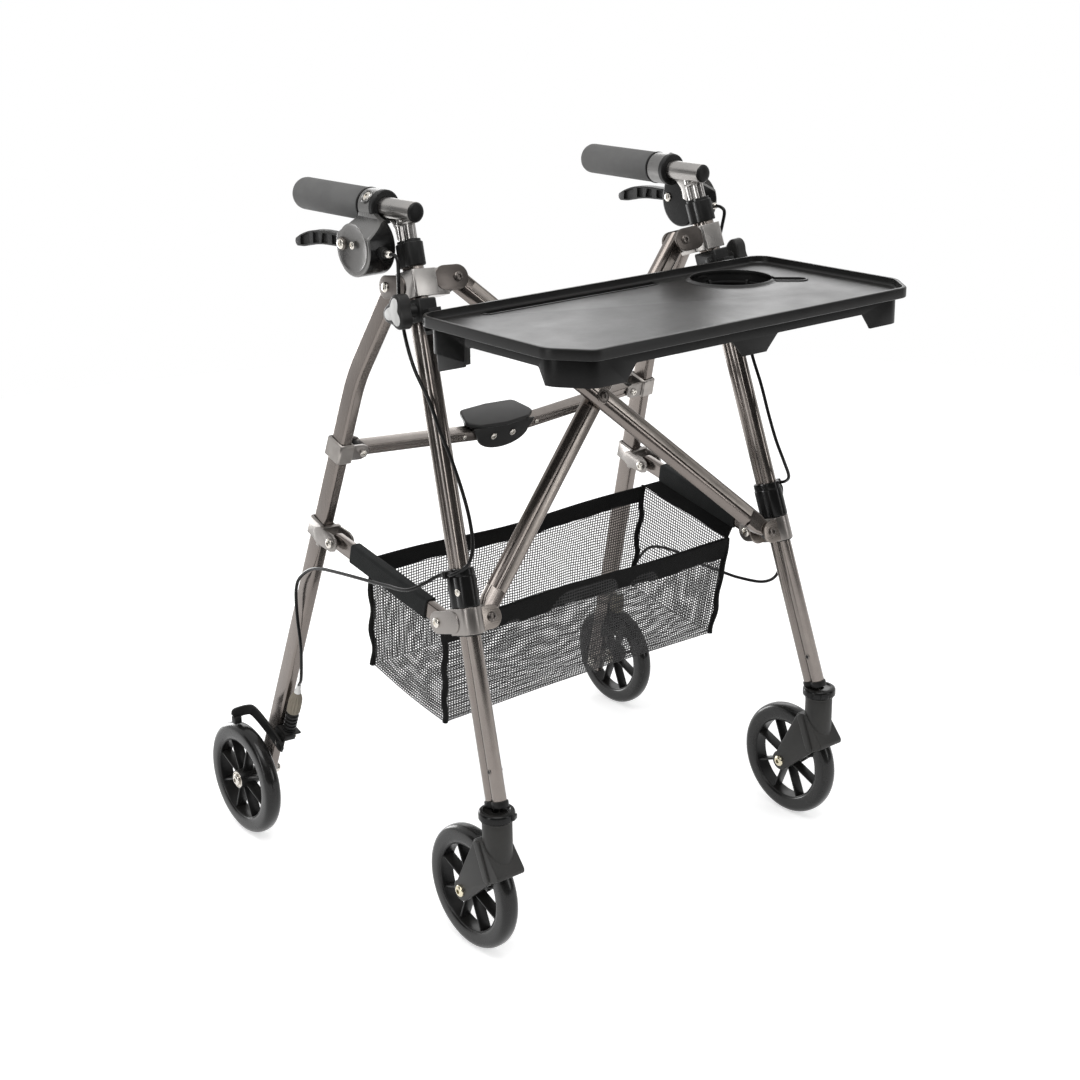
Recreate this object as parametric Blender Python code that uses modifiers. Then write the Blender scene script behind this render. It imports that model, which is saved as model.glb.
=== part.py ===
"""Indoor rollator with a lift-off tray, a mesh basket and a side-folding frame.

Metres, +Z up. The user stands at +Y and walks towards -Y, so the user's right is at -X.
The origin is on the floor, under the middle of the object's box.
Every paired piece is modelled on the right and mirrored across X = 0 to the left.
"""
import bpy
import bmesh
from math import asin, atan, cos, pi, radians, sin, sqrt
from mathutils import Matrix, Vector

# Clearances
GAP = 0.0003             # between faces of pieces that touch
RUNNING_GAP = 0.0003     # radial, around shafts and pins
LEG_GAP = 0.0006         # between the sliding bracket and the leg, front and back
BITE = 0.0005            # how far two joined shapes of one piece run into each other

# Wheels
WHEEL_RADIUS = 0.0715
TYRE_WIDTH = 0.021
TYRE_INNER_RADIUS = 0.0565
RIM_INNER_RADIUS = 0.0505
HUB_RADIUS = 0.0120
HUB_WIDTH = 0.025
WHEEL_SIDES = 24
SPOKE_COUNT = 8
SPOKE_THICKNESS = 0.0026
SPOKE_WIDTH = 0.014
AXLE_RADIUS = 0.0040
FRONT_WHEEL_X = 0.2494
FRONT_WHEEL_Y = -0.1465
REAR_WHEEL_X = 0.3047
REAR_WHEEL_Y = 0.2555

# Front legs: one raked plane holds both, and each leans outwards in it
LEG_TOP_X = 0.2091       # on the leg's axis at LEG_TOP_Z
LEG_TOP_Y = -0.0149
LEG_TOP_Z = 0.748
RAKE_SLOPE = 0.3085      # backward shift for each metre up
LEAN_SLOPE = 0.0627      # inward shift for each metre up in the raked plane
LOBE_RADIUS = 0.0080     # the leg tube is two joined round lobes
LOBE_SPACING = 0.0130
NECK_HALF = 0.0055
LEG_WALL = 0.0017
LEG_ABOVE_BRACKET = 0.040
LEG_BELOW_BRACKET = 0.560

# Cross brace
BRACE_TOP_X = 0.1644     # pivot in the top bracket
BRACE_TOP_HEIGHT = 0.7529    # heights are measured up the raked plane
BRACE_LOW_X = 0.2116     # pivot in the sliding bracket
BRACE_LOW_HEIGHT = 0.3927
BRACE_WIDTH = 0.024
BRACE_THICKNESS = 0.0098
BRACE_LOW_END_RADIUS = 0.0080
BRACE_TAPER = 0.020

# Brackets on the front legs
EAR_INNER = 0.0106       # half the gap between two ears
EAR_OUTER = 0.0131
BRACKET_HEIGHT = 0.029
BRACKET_DEPTH = 0.0360
EAR_END_RADIUS = 0.0125
PIN_RADIUS = 0.0030
PIN_HEAD_RADIUS = 0.0058
PIN_HEAD_HEIGHT = 0.0026
PIN_SIDES = 8
PIN_SEAT = 0.0006        # how far a head is let into the face it holds
REAR_PIVOT_BACK = 0.0382     # rear leg pivot, behind the raked plane
REAR_PIVOT_UP = 0.0040       # above the brace's top pivot
LINK_PIVOT_BACK = 0.0417     # side link pivot, behind the raked plane
LINK_PIVOT_DOWN = 0.3592     # below the brace's top pivot, along the leg

# Collars
TOP_COLLAR_LOW = 0.0185
TOP_COLLAR_HEIGHT = 0.028
MID_COLLAR_HEIGHT = 0.034
CLIP_HEIGHT = 0.008
CLIP_OUT = 0.0185            # the cable's place in the clip, outwards from the leg's axis
CLIP_HALF = 0.0060
COLLAR_WALL = 0.0030
FOOT_RING_RADIUS = 0.0200
FOOT_RING_HEIGHT = 0.0105
FOOT_SLEEVE_HEIGHT = 0.013

# Rear legs
REAR_LEG_DEPTH = 0.0240
REAR_LEG_WIDTH = 0.0140
REAR_LEAN_SLOPE = 0.0962
REAR_BEND_Y = 0.0720
REAR_BEND_Z = 0.6395
REAR_BEND_RADIUS = 0.110
BEND_POINTS = 5
REAR_LOW_SLOPE = 0.3290
REAR_LEG_FOOT = 0.014        # tube below the rear axle
CROSSBAR_CLAMP_Z = 0.513
LINK_CLAMP_Z = 0.412
CLAMP_WALL = 0.0030
CLAMP_HEIGHT = 0.025
LINK_END_OUT = 0.0116        # side link's far pivot, in the right leg's frame
LINK_END_BACK = 0.2200
LINK_END_DOWN = 0.2628
LINK_END_PLAY = 0.0021       # sideways, each side, at the open far pivot

# Crossbar and its hub
BAR_PIVOT_IN = 0.0236        # inwards from the rear leg's axis
BAR_SPAN = 0.1932            # from its leg pivot to its hub pivot, along X
BAR_SAG = 0.0186
BAR_HEIGHT = 0.0130
BAR_DEPTH = 0.0165
TONGUE_LENGTH = 0.028
HUB_PIVOT_X = 0.0144
HUB_TOP_HALF = 0.0515
HUB_TOP_FRONT = 0.0146
HUB_TOP_BACK = 0.0315
HUB_TOP_HEIGHT = 0.0190
HUB_TOP_THICKNESS = 0.0050
HUB_CHEEK_INNER = 0.0101
HUB_CHEEK_OUTER = 0.0128
HUB_CHEEK_HALF = 0.0460
HUB_CHEEK_DROP = 0.0180

# Side links, with the basket's sleeves over them
LINK_WIDTH = 0.0200
LINK_THICKNESS = 0.0098
SLEEVE_WALL = 0.0018
SLEEVE_START = 0.030
SLEEVE_END = 0.030

# Casters
STEM_Y = -0.1925
STEM_RADIUS = 0.0165
STEM_TOP_Z = 0.1725
SPIGOT_RADIUS = 0.0050
SPIGOT_HEIGHT = 0.0060
FORK_WIDTH = 0.0370
FORK_SLOT_CLEARANCE = 0.0020

# Handles
HANDLE_Z = 0.794
HANDLE_X = 0.2063            # at Y = 0
HANDLE_TOE = 1.46            # degrees, outwards to the rear
TUBE_RADIUS = 0.0110
TUBE_WALL = 0.0018
TUBE_FRONT = -0.0215
TUBE_BACK = 0.1860
TUBE_PLUG = 0.006
TUBE_SIDES = 16
GRIP_FRONT = 0.0712
GRIP_BACK = 0.1930
GRIP_RADIUS = 0.0180
POST_DEPTH = 0.200           # below the brace's top pivot, along the leg
HEIGHT_STEP = 0.0254
HEIGHT_STEPS = 5
BUTTON_DOWN = 0.052
BUTTON_RADIUS = 0.0035
BUTTON_TRAVEL = 0.0020

# Brake levers and their housings, from the handle tube's axis
HOUSING_OUT = 0.0452
HOUSING_IN = 0.0102
HOUSING_Y = 0.0322
HOUSING_DOWN = 0.0390
HOUSING_RADIUS = 0.0320
CLAMP_FRONT = 0.0368
CLAMP_BACK = 0.0708
CLAMP_RADIUS = 0.0180
LEVER_PIVOT_Y = 0.0517
LEVER_PIVOT_DOWN = 0.0357
LEVER_WIDTH = 0.0140
LEVER_CENTRE_OUT = 0.0277
FERRULE_OUT = 0.0287
FERRULE_DOWN = 0.0416
FERRULE_RADIUS = 0.0038
FERRULE_TIP = -0.0145
FERRULE_SHOWS = 0.0100       # length of the ferrule ahead of its port
PORT_RADIUS = 0.0062
SCREW_Y = 0.0350             # second screw in the housing's outer face
SCREW_DOWN = 0.0360
SCREW_RADIUS = 0.0045
CABLE_RADIUS = 0.0020

# Rear brakes, from the rear leg's axis at the brake
BRAKE_DOWN = 0.399           # below the crossbar clamp, along the leg
BRAKE_BRACKET_REACH = 0.034
BRAKE_BRACKET_HALF = 0.0120
BRAKE_PLATE = 0.0025
BRAKE_BRACKET_HEIGHT = 0.026
STRAP_WIDTH = 0.0120
STRAP_THICKNESS = 0.0030
SHOE_CLEARANCE = 0.0026
BOOT_RIBS = 5
BOOT_START = 0.019           # above the bracket's shelf
BRAKE_FERRULE = 0.061
BRAKE_CABLE_Y = -0.0243

# Tray
TRAY_HALF = 0.2492
TRAY_FRONT = -0.3270
TRAY_BACK = -0.0745
TRAY_TOP_Z = 0.7010
TRAY_LIP_HEIGHT = 0.0085
TRAY_PLATE = 0.0030
TRAY_LIP = 0.0034
TRAY_CHAMFER_X = 0.030
TRAY_CHAMFER_Y = 0.040
TRAY_CORNER_RADIUS = 0.022
SKIRT_INSET = 0.0100
SKIRT_WALL = 0.0026
SKIRT_SHALLOW_Z = 0.6780
SKIRT_DEEP_Z = 0.6610
CUP_X = 0.145
CUP_Y = -0.133
CUP_RADIUS = 0.0460
CUP_FLOOR_RADIUS = 0.0400
CUP_DEPTH = 0.045
CUP_WALL = 0.0025
CUP_RING = 0.0060
CUP_SIDES = 20
MUG_SLOT_WIDTH = 0.016
MUG_SLOT_REACH = 0.079
SLOT_X_FROM = -0.171
SLOT_X_TO = 0.067
SLOT_Y = -0.0915
SLOT_WIDTH = 0.011
SLOT_DEPTH = 0.010
FLANGE_FRONT = 0.0322        # ahead of the raked plane, clear of the knobs
FLANGE_BACK = 0.0292
FLANGE_HALF = 0.232
FLANGE_DROP = 0.012
SHELF_THICKNESS = 0.0025
CORNER_BLOCK_Z = 0.6430      # underside of the blocks at the rear corners

# Tray clamps on the front legs
CLAMP_FACE = 0.0185          # ahead of the raked plane
KNOB_DOWN = 0.0286
KNOB_AHEAD = 0.0079
CLAMP_BODY_HEIGHT = 0.024
CLAMP_BOSS_RADIUS = 0.0070
CLAMP_BOSS_END = 0.0215
KNOB_FROM = 0.0235
KNOB_THICKNESS = 0.0150
KNOB_RADIUS = 0.0168
KNOB_LOBE = 0.0034
KNOB_SIDES = 21
STUD_RADIUS = 0.0030
HOOK_HALF = 0.0080
HOOK_WALL = 0.0028
HOOK_LIP = 0.0066

# Basket
BASKET_TOP_FRONT = (0.2165, -0.0620, 0.3400)
BASKET_TOP_BACK = (0.2120, 0.0890, 0.3850)
BASKET_LOW_FRONT = (0.2080, -0.0430, 0.2200)
BASKET_LOW_BACK = (0.2050, 0.1040, 0.2440)
BASKET_WALL = 0.0020

# Brake cables on the right: chosen route points between their fixed ends
UPPER_CABLE = [(-0.2352, -0.0285, 0.7470), (-0.2338, -0.0262, 0.7300), (-0.2318, -0.0228, 0.7100),
               (-0.2312, -0.0245, 0.6900), (-0.2318, -0.0330, 0.6620), (-0.2340, -0.0500, 0.6350),
               (-0.2315, -0.0750, 0.6050), (-0.2290, -0.0900, 0.5780), (-0.2255, -0.1090, 0.5500),
               (-0.2225, -0.1260, 0.5180), (-0.2235, -0.1375, 0.4880), (-0.2290, -0.1440, 0.4620),
               (-0.2390, -0.1405, 0.4430)]
LOWER_CABLE = [(-0.2600, -0.0760, 0.4210), (-0.2640, -0.0450, 0.4225), (-0.2660, 0.0000, 0.4260),
               (-0.2670, 0.0480, 0.4330), (-0.2690, 0.0900, 0.4360), (-0.2730, 0.1180, 0.4260),
               (-0.2745, 0.1290, 0.4050), (-0.2725, 0.1350, 0.3750), (-0.2700, 0.1400, 0.3400),
               (-0.2670, 0.1480, 0.3000), (-0.2640, 0.1600, 0.2600)]
CABLE_LEAD = 0.007           # straight run at each fixed end

# Derived frames
RAKE = atan(RAKE_SLOPE)
LEAN = atan(LEAN_SLOPE)
ACROSS = Vector((1, 0, 0))
BEHIND = Vector((0, cos(RAKE), -sin(RAKE)))
UP_RAKE = Vector((0, sin(RAKE), cos(RAKE)))
PLANE_FOOT = Vector((0, LEG_TOP_Y - RAKE_SLOPE * LEG_TOP_Z, 0))
LEG_TOP_HEIGHT = LEG_TOP_Z / cos(RAKE)
LEG_X_AT_BRACE = LEG_TOP_X + LEAN_SLOPE * (LEG_TOP_HEIGHT - BRACE_TOP_HEIGHT)


def frame_of(x_axis, y_axis, z_axis, origin):
    """Matrix that takes local coordinates to the world."""
    rows = [[x_axis[i], y_axis[i], z_axis[i], origin[i]] for i in range(3)]
    return Matrix(rows + [[0, 0, 0, 1]])


# The raked plane: X across, Y backwards out of it, Z up it, from the floor
RAKED = frame_of(ACROSS, BEHIND, UP_RAKE, PLANE_FOOT)

# The right leg: X inwards, Y backwards, Z up the tube, at the brace's top pivot height
LEG = RAKED @ Matrix.Translation((-LEG_X_AT_BRACE, 0, BRACE_TOP_HEIGHT)) @ Matrix.Rotation(LEAN, 4, "Y")

BRACE_TOP_R = Vector((-BRACE_TOP_X, 0, BRACE_TOP_HEIGHT))
BRACE_TOP_L = Vector((BRACE_TOP_X, 0, BRACE_TOP_HEIGHT))
BRACE_LOW_R = Vector((-BRACE_LOW_X, 0, BRACE_LOW_HEIGHT))
BRACE_LOW_L = Vector((BRACE_LOW_X, 0, BRACE_LOW_HEIGHT))
BRACE_CROSSING = BRACE_TOP_R.lerp(BRACE_LOW_L, BRACE_TOP_X / (BRACE_TOP_X + BRACE_LOW_X))

LEG_INVERSE = LEG.inverted()
TOP_PIVOT = LEG_INVERSE @ RAKED @ BRACE_TOP_R      # brace pivots in the leg's frame
LOW_PIVOT = LEG_INVERSE @ RAKED @ BRACE_LOW_R
REAR_PIVOT = Vector((0, REAR_PIVOT_BACK, REAR_PIVOT_UP))
LINK_PIVOT = Vector((0, LINK_PIVOT_BACK, -LINK_PIVOT_DOWN))
LINK_END = Vector((-LINK_END_OUT, LINK_END_BACK, -LINK_END_DOWN))

# The rear leg's plane leans outwards: X inwards, Y backwards, Z up it, at the rear pivot
REAR_LEAN = atan(REAR_LEAN_SLOPE)
REAR_PIVOT_WORLD = LEG @ REAR_PIVOT
REAR = Matrix.Translation(REAR_PIVOT_WORLD) @ Matrix.Rotation(REAR_LEAN, 4, "Y")


def rear_leg_point(z):
    """World point on the axis of the rear leg's straight lower part at height z."""
    x = REAR_PIVOT_WORLD.x - REAR_LEAN_SLOPE * (REAR_PIVOT_WORLD.z - z)
    return Vector((x, REAR_BEND_Y + REAR_LOW_SLOPE * (REAR_BEND_Z - z), z))


# The rear leg's lower part: X inwards, Y backwards, Z up the tube, at the crossbar clamp
LOW_UP = (rear_leg_point(CROSSBAR_CLAMP_Z) - rear_leg_point(CROSSBAR_CLAMP_Z - 0.1)).normalized()
REAR_NORMAL = Vector((0, 1, REAR_LOW_SLOPE)).normalized()
LOW = frame_of(REAR_NORMAL.cross(LOW_UP), REAR_NORMAL, LOW_UP, rear_leg_point(CROSSBAR_CLAMP_Z))
BAR_PIVOT = LOW @ Vector((BAR_PIVOT_IN, 0, 0))
CROSS_UP = ACROSS.cross(REAR_NORMAL)

# The crossbar's plane: X across, Y backwards, Z up, midway between the two hub pivots
HUB_CENTRE = BAR_PIVOT - BAR_SAG * CROSS_UP
HUB_CENTRE.x = 0
CROSS = frame_of(ACROSS, REAR_NORMAL, CROSS_UP, HUB_CENTRE)
BAR_SPAN_NOW = -BAR_PIVOT.x - HUB_PIVOT_X

# The right handle: X inwards, Y backwards along the grip, Z up, on the tube's axis
HANDLE = Matrix.Translation((-HANDLE_X, 0, HANDLE_Z)) @ Matrix.Rotation(radians(HANDLE_TOE), 4, "Z")

# The rear brake: the lower leg's frame, moved down to the brake
BRAKE = LOW @ Matrix.Translation((0, 0, -BRAKE_DOWN))


def clear_scene():
    """Remove what a new file holds."""
    for thing in list(bpy.data.objects):
        bpy.data.objects.remove(thing)


clear_scene()
PARTS = bpy.data.collections.new("indoor_rollator")
CUTTERS = bpy.data.collections.new("cutters")
for group in (PARTS, CUTTERS):
    bpy.context.scene.collection.children.link(group)


def make_material(name, colour, roughness, metallic):
    """A Principled material with the piece's colour, roughness and metallic value."""
    material = bpy.data.materials.new(name)
    material.use_nodes = True
    shader = material.node_tree.nodes["Principled BSDF"]
    shader.inputs["Base Color"].default_value = (*colour, 1)
    shader.inputs["Roughness"].default_value = roughness
    shader.inputs["Metallic"].default_value = metallic
    material.diffuse_color = (*colour, 1)
    return material


GRAPHITE = ("graphite", (0.16, 0.14, 0.13), 0.35, 0.9)
BARE_METAL = ("bare_metal", (0.42, 0.40, 0.38), 0.3, 0.9)
DARK_CHROME = ("dark_chrome", (0.30, 0.29, 0.28), 0.2, 1.0)
CHARCOAL = ("charcoal_plastic", (0.045, 0.045, 0.045), 0.45, 0.0)
BLACK = ("black_plastic", (0.02, 0.02, 0.02), 0.5, 0.0)
TYRE = ("tyre", (0.03, 0.03, 0.03), 0.35, 0.0)
FOAM = ("foam", (0.10, 0.10, 0.10), 0.9, 0.0)
STEEL = ("steel", (0.55, 0.53, 0.50), 0.3, 1.0)
FABRIC = ("fabric", (0.015, 0.015, 0.015), 0.9, 0.0)


def evaluated_mesh(thing):
    """The object's mesh with its modifiers, as data of its own."""
    bpy.context.view_layer.update()
    return bpy.data.meshes.new_from_object(thing.evaluated_get(bpy.context.evaluated_depsgraph_get()))


def temporary(data):
    """An object that holds data only while it is worked on."""
    thing = bpy.data.objects.new("working", data)
    CUTTERS.objects.link(thing)
    thing.hide_render = True
    thing.display_type = "WIRE"
    return thing


def tidy_mesh(mesh):
    """Weld loose caps and turn every face outwards."""
    shape = bmesh.new()
    shape.from_mesh(mesh)
    bmesh.ops.remove_doubles(shape, verts=shape.verts, dist=0.00002)
    bmesh.ops.recalc_face_normals(shape, faces=shape.faces)
    shape.to_mesh(mesh)
    shape.free()
    return mesh


def baked(thing):
    """Turn a working object into its finished mesh."""
    mesh = evaluated_mesh(thing)
    bpy.data.objects.remove(thing)
    return tidy_mesh(mesh)


def moved(mesh, matrix):
    """The same mesh, moved."""
    mesh.transform(matrix)
    return mesh


def box(low, high, bevel=0.0, segments=1):
    """A box between two corners."""
    shape = bmesh.new()
    bmesh.ops.create_cube(shape, size=1)
    size = [high[i] - low[i] for i in range(3)]
    centre = [(high[i] + low[i]) / 2 for i in range(3)]
    bmesh.ops.scale(shape, vec=size, verts=shape.verts)
    bmesh.ops.translate(shape, vec=centre, verts=shape.verts)
    if bevel:
        bmesh.ops.bevel(shape, geom=shape.edges, offset=bevel, segments=segments, affect="EDGES")
    mesh = bpy.data.meshes.new("box")
    shape.to_mesh(mesh)
    shape.free()
    return mesh


def rod(start, end, radius, sides=12, end_radius=None):
    """A round bar, or a cone, between two points."""
    start, end = Vector(start), Vector(end)
    shape = bmesh.new()
    last = radius if end_radius is None else end_radius
    bmesh.ops.create_cone(shape, cap_ends=True, segments=sides, radius1=radius, radius2=last,
                          depth=(end - start).length)
    mesh = bpy.data.meshes.new("rod")
    shape.to_mesh(mesh)
    shape.free()
    turn = Vector((0, 0, 1)).rotation_difference(end - start).to_matrix().to_4x4()
    return moved(mesh, Matrix.Translation((start + end) / 2) @ turn)


def plate(loops, low, high, bevel=0.0, segments=1):
    """Flat outlines in XY, filled and extruded from z = low to z = high."""
    curve = bpy.data.curves.new("outline", "CURVE")
    curve.dimensions = "2D"
    curve.fill_mode = "BOTH"
    curve.extrude = (high - low) / 2
    for points in loops:
        spline = curve.splines.new("POLY")
        spline.points.add(len(points) - 1)
        for point, place in zip(spline.points, points):
            point.co = (place[0], place[1], 0, 1)
        spline.use_cyclic_u = True
    mesh = baked(temporary(curve))
    if bevel:
        thing = temporary(mesh)
        edge = thing.modifiers.new("edges", "BEVEL")
        edge.width = bevel
        edge.segments = segments
        edge.limit_method = "ANGLE"
        edge.angle_limit = radians(50)
        mesh = baked(thing)
    return moved(mesh, Matrix.Translation((0, 0, (high + low) / 2)))


# A plate is drawn in XY: these turn it to lie in another plane
SIDE_ON = Matrix(((0, 0, 1, 0), (1, 0, 0, 0), (0, 1, 0, 0), (0, 0, 0, 1)))     # drawn x, y, depth: Y, Z, X
FACE_ON = Matrix(((1, 0, 0, 0), (0, 0, -1, 0), (0, 1, 0, 0), (0, 0, 0, 1)))    # drawn x, y, depth: X, Z, -Y


def side_plate(points, x_from, x_to, bevel=0.0, segments=1):
    """An outline in Y and Z, extruded along X."""
    return moved(plate([points], x_from, x_to, bevel, segments), SIDE_ON)


def face_plate(points, y_from, y_to, bevel=0.0, segments=1):
    """An outline in X and Z, extruded along Y."""
    return moved(plate([points], -y_to, -y_from, bevel, segments), FACE_ON)


def turned(profile, steps, axis="Z", closed=False):
    """A profile of (radius, height) points turned around an axis."""
    mesh = bpy.data.meshes.new("profile")
    count = len(profile)
    edges = [(i, i + 1) for i in range(count - 1)]
    if closed:
        edges.append((count - 1, 0))
    mesh.from_pydata([(radius, 0, height) for radius, height in profile], edges, [])
    thing = temporary(mesh)
    screw = thing.modifiers.new("turn", "SCREW")
    screw.steps = steps
    screw.render_steps = steps
    screw.use_merge_vertices = True
    screw.merge_threshold = 0.00001
    screw.use_normal_calculate = True
    mesh = baked(thing)
    if axis == "X":
        mesh.transform(Matrix.Rotation(pi / 2, 4, "Y"))
    if axis == "Y":
        mesh.transform(Matrix.Rotation(-pi / 2, 4, "X"))
    return mesh


def tube(points, radius, resolution=2):
    """A round cord through chosen points, along a smooth curve."""
    places = [Vector(p) for p in points]
    padded = [2 * places[0] - places[1]] + places + [2 * places[-1] - places[-2]]
    route = []
    for i in range(1, len(padded) - 2):
        before, start, end, after = padded[i - 1:i + 3]
        samples = max(1, round((end - start).length / (radius * 6)))
        for step in range(samples):
            t = step / samples
            route.append(0.5 * (2 * start + (end - before) * t
                                + (2 * before - 5 * start + 4 * end - after) * t * t
                                + (3 * start - before - 3 * end + after) * t ** 3))
    route.append(places[-1])
    curve = bpy.data.curves.new("cord", "CURVE")
    curve.dimensions = "3D"
    curve.bevel_depth = radius
    curve.bevel_resolution = resolution
    curve.use_fill_caps = True
    spline = curve.splines.new("POLY")
    spline.points.add(len(route) - 1)
    for point, place in zip(spline.points, route):
        point.co = (*place, 1)
    return baked(temporary(curve))


def combined(adds, cuts=()):
    """One mesh: the shapes in adds joined, less those in cuts."""
    base = temporary(adds[0])
    helpers = []
    for operation, meshes in (("UNION", adds[1:]), ("DIFFERENCE", cuts)):
        for mesh in meshes:
            helper = temporary(mesh)
            helpers.append(helper)
            step = base.modifiers.new("shape", "BOOLEAN")
            step.operation = operation
            step.solver = "EXACT"
            step.object = helper
    mesh = evaluated_mesh(base)
    for thing in helpers + [base]:
        bpy.data.objects.remove(thing)
    return mesh


def place(name, mesh, look, frame=Matrix.Identity(4), origin=(0, 0, 0)):
    """Make a named piece. The mesh is in frame's coordinates, and origin is its joint there."""
    mesh.transform(Matrix.Translation(-Vector(origin)))
    mesh.name = name
    piece = bpy.data.objects.new(name, mesh)
    PARTS.objects.link(piece)
    piece.matrix_world = frame @ Matrix.Translation(Vector(origin))
    mesh.materials.clear()
    mesh.materials.append(make_material(name + "_" + look[0], *look[1:]))
    mesh.shade_smooth()
    mesh.set_sharp_from_angle(angle=radians(35))
    return piece


MIRROR = Matrix.Diagonal((-1, 1, 1, 1))


def place_pair(name, mesh, look, frame=Matrix.Identity(4), origin=(0, 0, 0)):
    """Make a piece on the right and its mirror image on the left."""
    right = place(name + "_right", mesh, look, frame, origin)
    other = right.data.copy()
    other.transform(MIRROR)
    other.flip_normals()
    left = place(name + "_left", other, look)
    left.matrix_world = MIRROR @ right.matrix_world @ MIRROR


def arc(centre, radius, start, end, count):
    """Points on an arc, angles in degrees."""
    steps = [radians(start + (end - start) * i / (count - 1)) for i in range(count)]
    return [(centre[0] + radius * cos(a), centre[1] + radius * sin(a)) for a in steps]


def two_lobes(grow=0.0, count=6):
    """Outline of the leg tube's section, grown or shrunk by an offset."""
    radius = LOBE_RADIUS + grow
    half = LOBE_SPACING / 2
    neck = max(NECK_HALF + grow, sqrt(max(radius ** 2 - half ** 2, 0)) + 0.0002)
    open_angle = 90 - asin(neck / radius) * 180 / pi
    back = arc((0, half), radius, -open_angle, 180 + open_angle, count)
    front = arc((0, -half), radius, 180 - open_angle, 360 + open_angle, count)
    return back + front


def stadium(start, end, radius, count=5):
    """Outline around a straight line between two 2D points, with round ends."""
    dx, dy = end[0] - start[0], end[1] - start[1]
    heading = Vector((1, 0)).angle_signed(Vector((dx, dy))) * -180 / pi
    return (arc(end, radius, heading - 90, heading + 90, count)
            + arc(start, radius, heading + 90, heading + 270, count))


def rounded(points, radius, count=4):
    """Round the corners of a polygon."""
    outline = []
    total = len(points)
    for i, here in enumerate(points):
        corner = Vector(here)
        back = (Vector(points[i - 1]) - corner)
        ahead = (Vector(points[(i + 1) % total]) - corner)
        half = back.angle(ahead) / 2
        reach = min(radius / max(sin(half), 0.01) * cos(half), back.length * 0.49, ahead.length * 0.49)
        start = corner + back.normalized() * reach
        end = corner + ahead.normalized() * reach
        for step in range(count):
            t = step / (count - 1)
            outline.append(tuple((1 - t) ** 2 * start + 2 * t * (1 - t) * corner + t * t * end))
    return outline


def pin(start, end, axis, head_radius=PIN_HEAD_RADIUS, end_seat=PIN_SEAT):
    """A pivot pin with a head at both ends. Start and end are the outer faces that it holds."""
    profile = [(0, end + PIN_HEAD_HEIGHT), (head_radius, end + PIN_HEAD_HEIGHT),
               (head_radius, end - end_seat), (PIN_RADIUS, end - end_seat),
               (PIN_RADIUS, start + PIN_SEAT), (head_radius, start + PIN_SEAT),
               (head_radius, start - PIN_HEAD_HEIGHT), (0, start - PIN_HEAD_HEIGHT)]
    return turned(profile, PIN_SIDES, axis)


HOLE_RADIUS = PIN_RADIUS + RUNNING_GAP
TRAY_UNDER_Z = TRAY_TOP_Z - TRAY_LIP_HEIGHT - TRAY_PLATE
FLANGE_TOP = (TRAY_UNDER_Z + BITE) / cos(RAKE) - FLANGE_BACK * sin(RAKE) / cos(RAKE)
CLIP_Z = LOW_PIVOT.z + BRACKET_HEIGHT / 2 + GAP + MID_COLLAR_HEIGHT - BITE
HALF_BRACKET = BRACKET_HEIGHT / 2
LEG_HALF_DEPTH = LOBE_SPACING / 2 + LOBE_RADIUS


def make_front_leg():
    """Raked two-lobe tube that takes the handle post."""
    tube_shape = plate([two_lobes(), two_lobes(-LEG_WALL)], -LEG_BELOW_BRACKET, LEG_ABOVE_BRACKET)
    button_hole = rod((0, 0.006, -BUTTON_DOWN), (0, LEG_HALF_DEPTH + 0.004, -BUTTON_DOWN),
                      BUTTON_RADIUS + RUNNING_GAP, 12)
    place_pair("front_leg", combined([tube_shape], [button_hole]), GRAPHITE, LEG)


def make_top_bracket():
    """Fixed bracket with ears for the brace in front and for the rear leg behind."""
    half_depth = BRACKET_DEPTH / 2
    sleeve = box((-EAR_OUTER, -half_depth, -HALF_BRACKET), (EAR_OUTER, half_depth, HALF_BRACKET))
    block_end = TOP_PIVOT.x - BRACE_WIDTH / 2 - 0.001
    block = box((0, -EAR_OUTER, -HALF_BRACKET), (block_end, EAR_OUTER, HALF_BRACKET))
    inner = stadium((EAR_OUTER, TOP_PIVOT.z), (TOP_PIVOT.x, TOP_PIVOT.z), EAR_END_RADIUS + 0.001)
    ears = [face_plate(inner, -EAR_OUTER, -EAR_INNER), face_plate(inner, EAR_INNER, EAR_OUTER)]
    rear = stadium((half_depth - 0.004, 0), (REAR_PIVOT.y, REAR_PIVOT.z), EAR_END_RADIUS)
    ears += [side_plate(rear, -EAR_OUTER, -EAR_INNER), side_plate(rear, EAR_INNER, EAR_OUTER)]
    leg_hole = plate([two_lobes(GAP)], -0.03, 0.03)
    gap = box((-EAR_INNER, half_depth - 0.0005, -0.03), (EAR_INNER, 0.08, 0.03))
    pins = [moved(pin(-EAR_OUTER, EAR_OUTER, "Y"), Matrix.Translation(TOP_PIVOT)),
            moved(pin(-EAR_OUTER, EAR_OUTER, "X"), Matrix.Translation(REAR_PIVOT))]
    bracket = combined([combined([sleeve, block] + ears, [leg_hole, gap])] + pins)
    place_pair("top_bracket", bracket, GRAPHITE, LEG)


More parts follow.
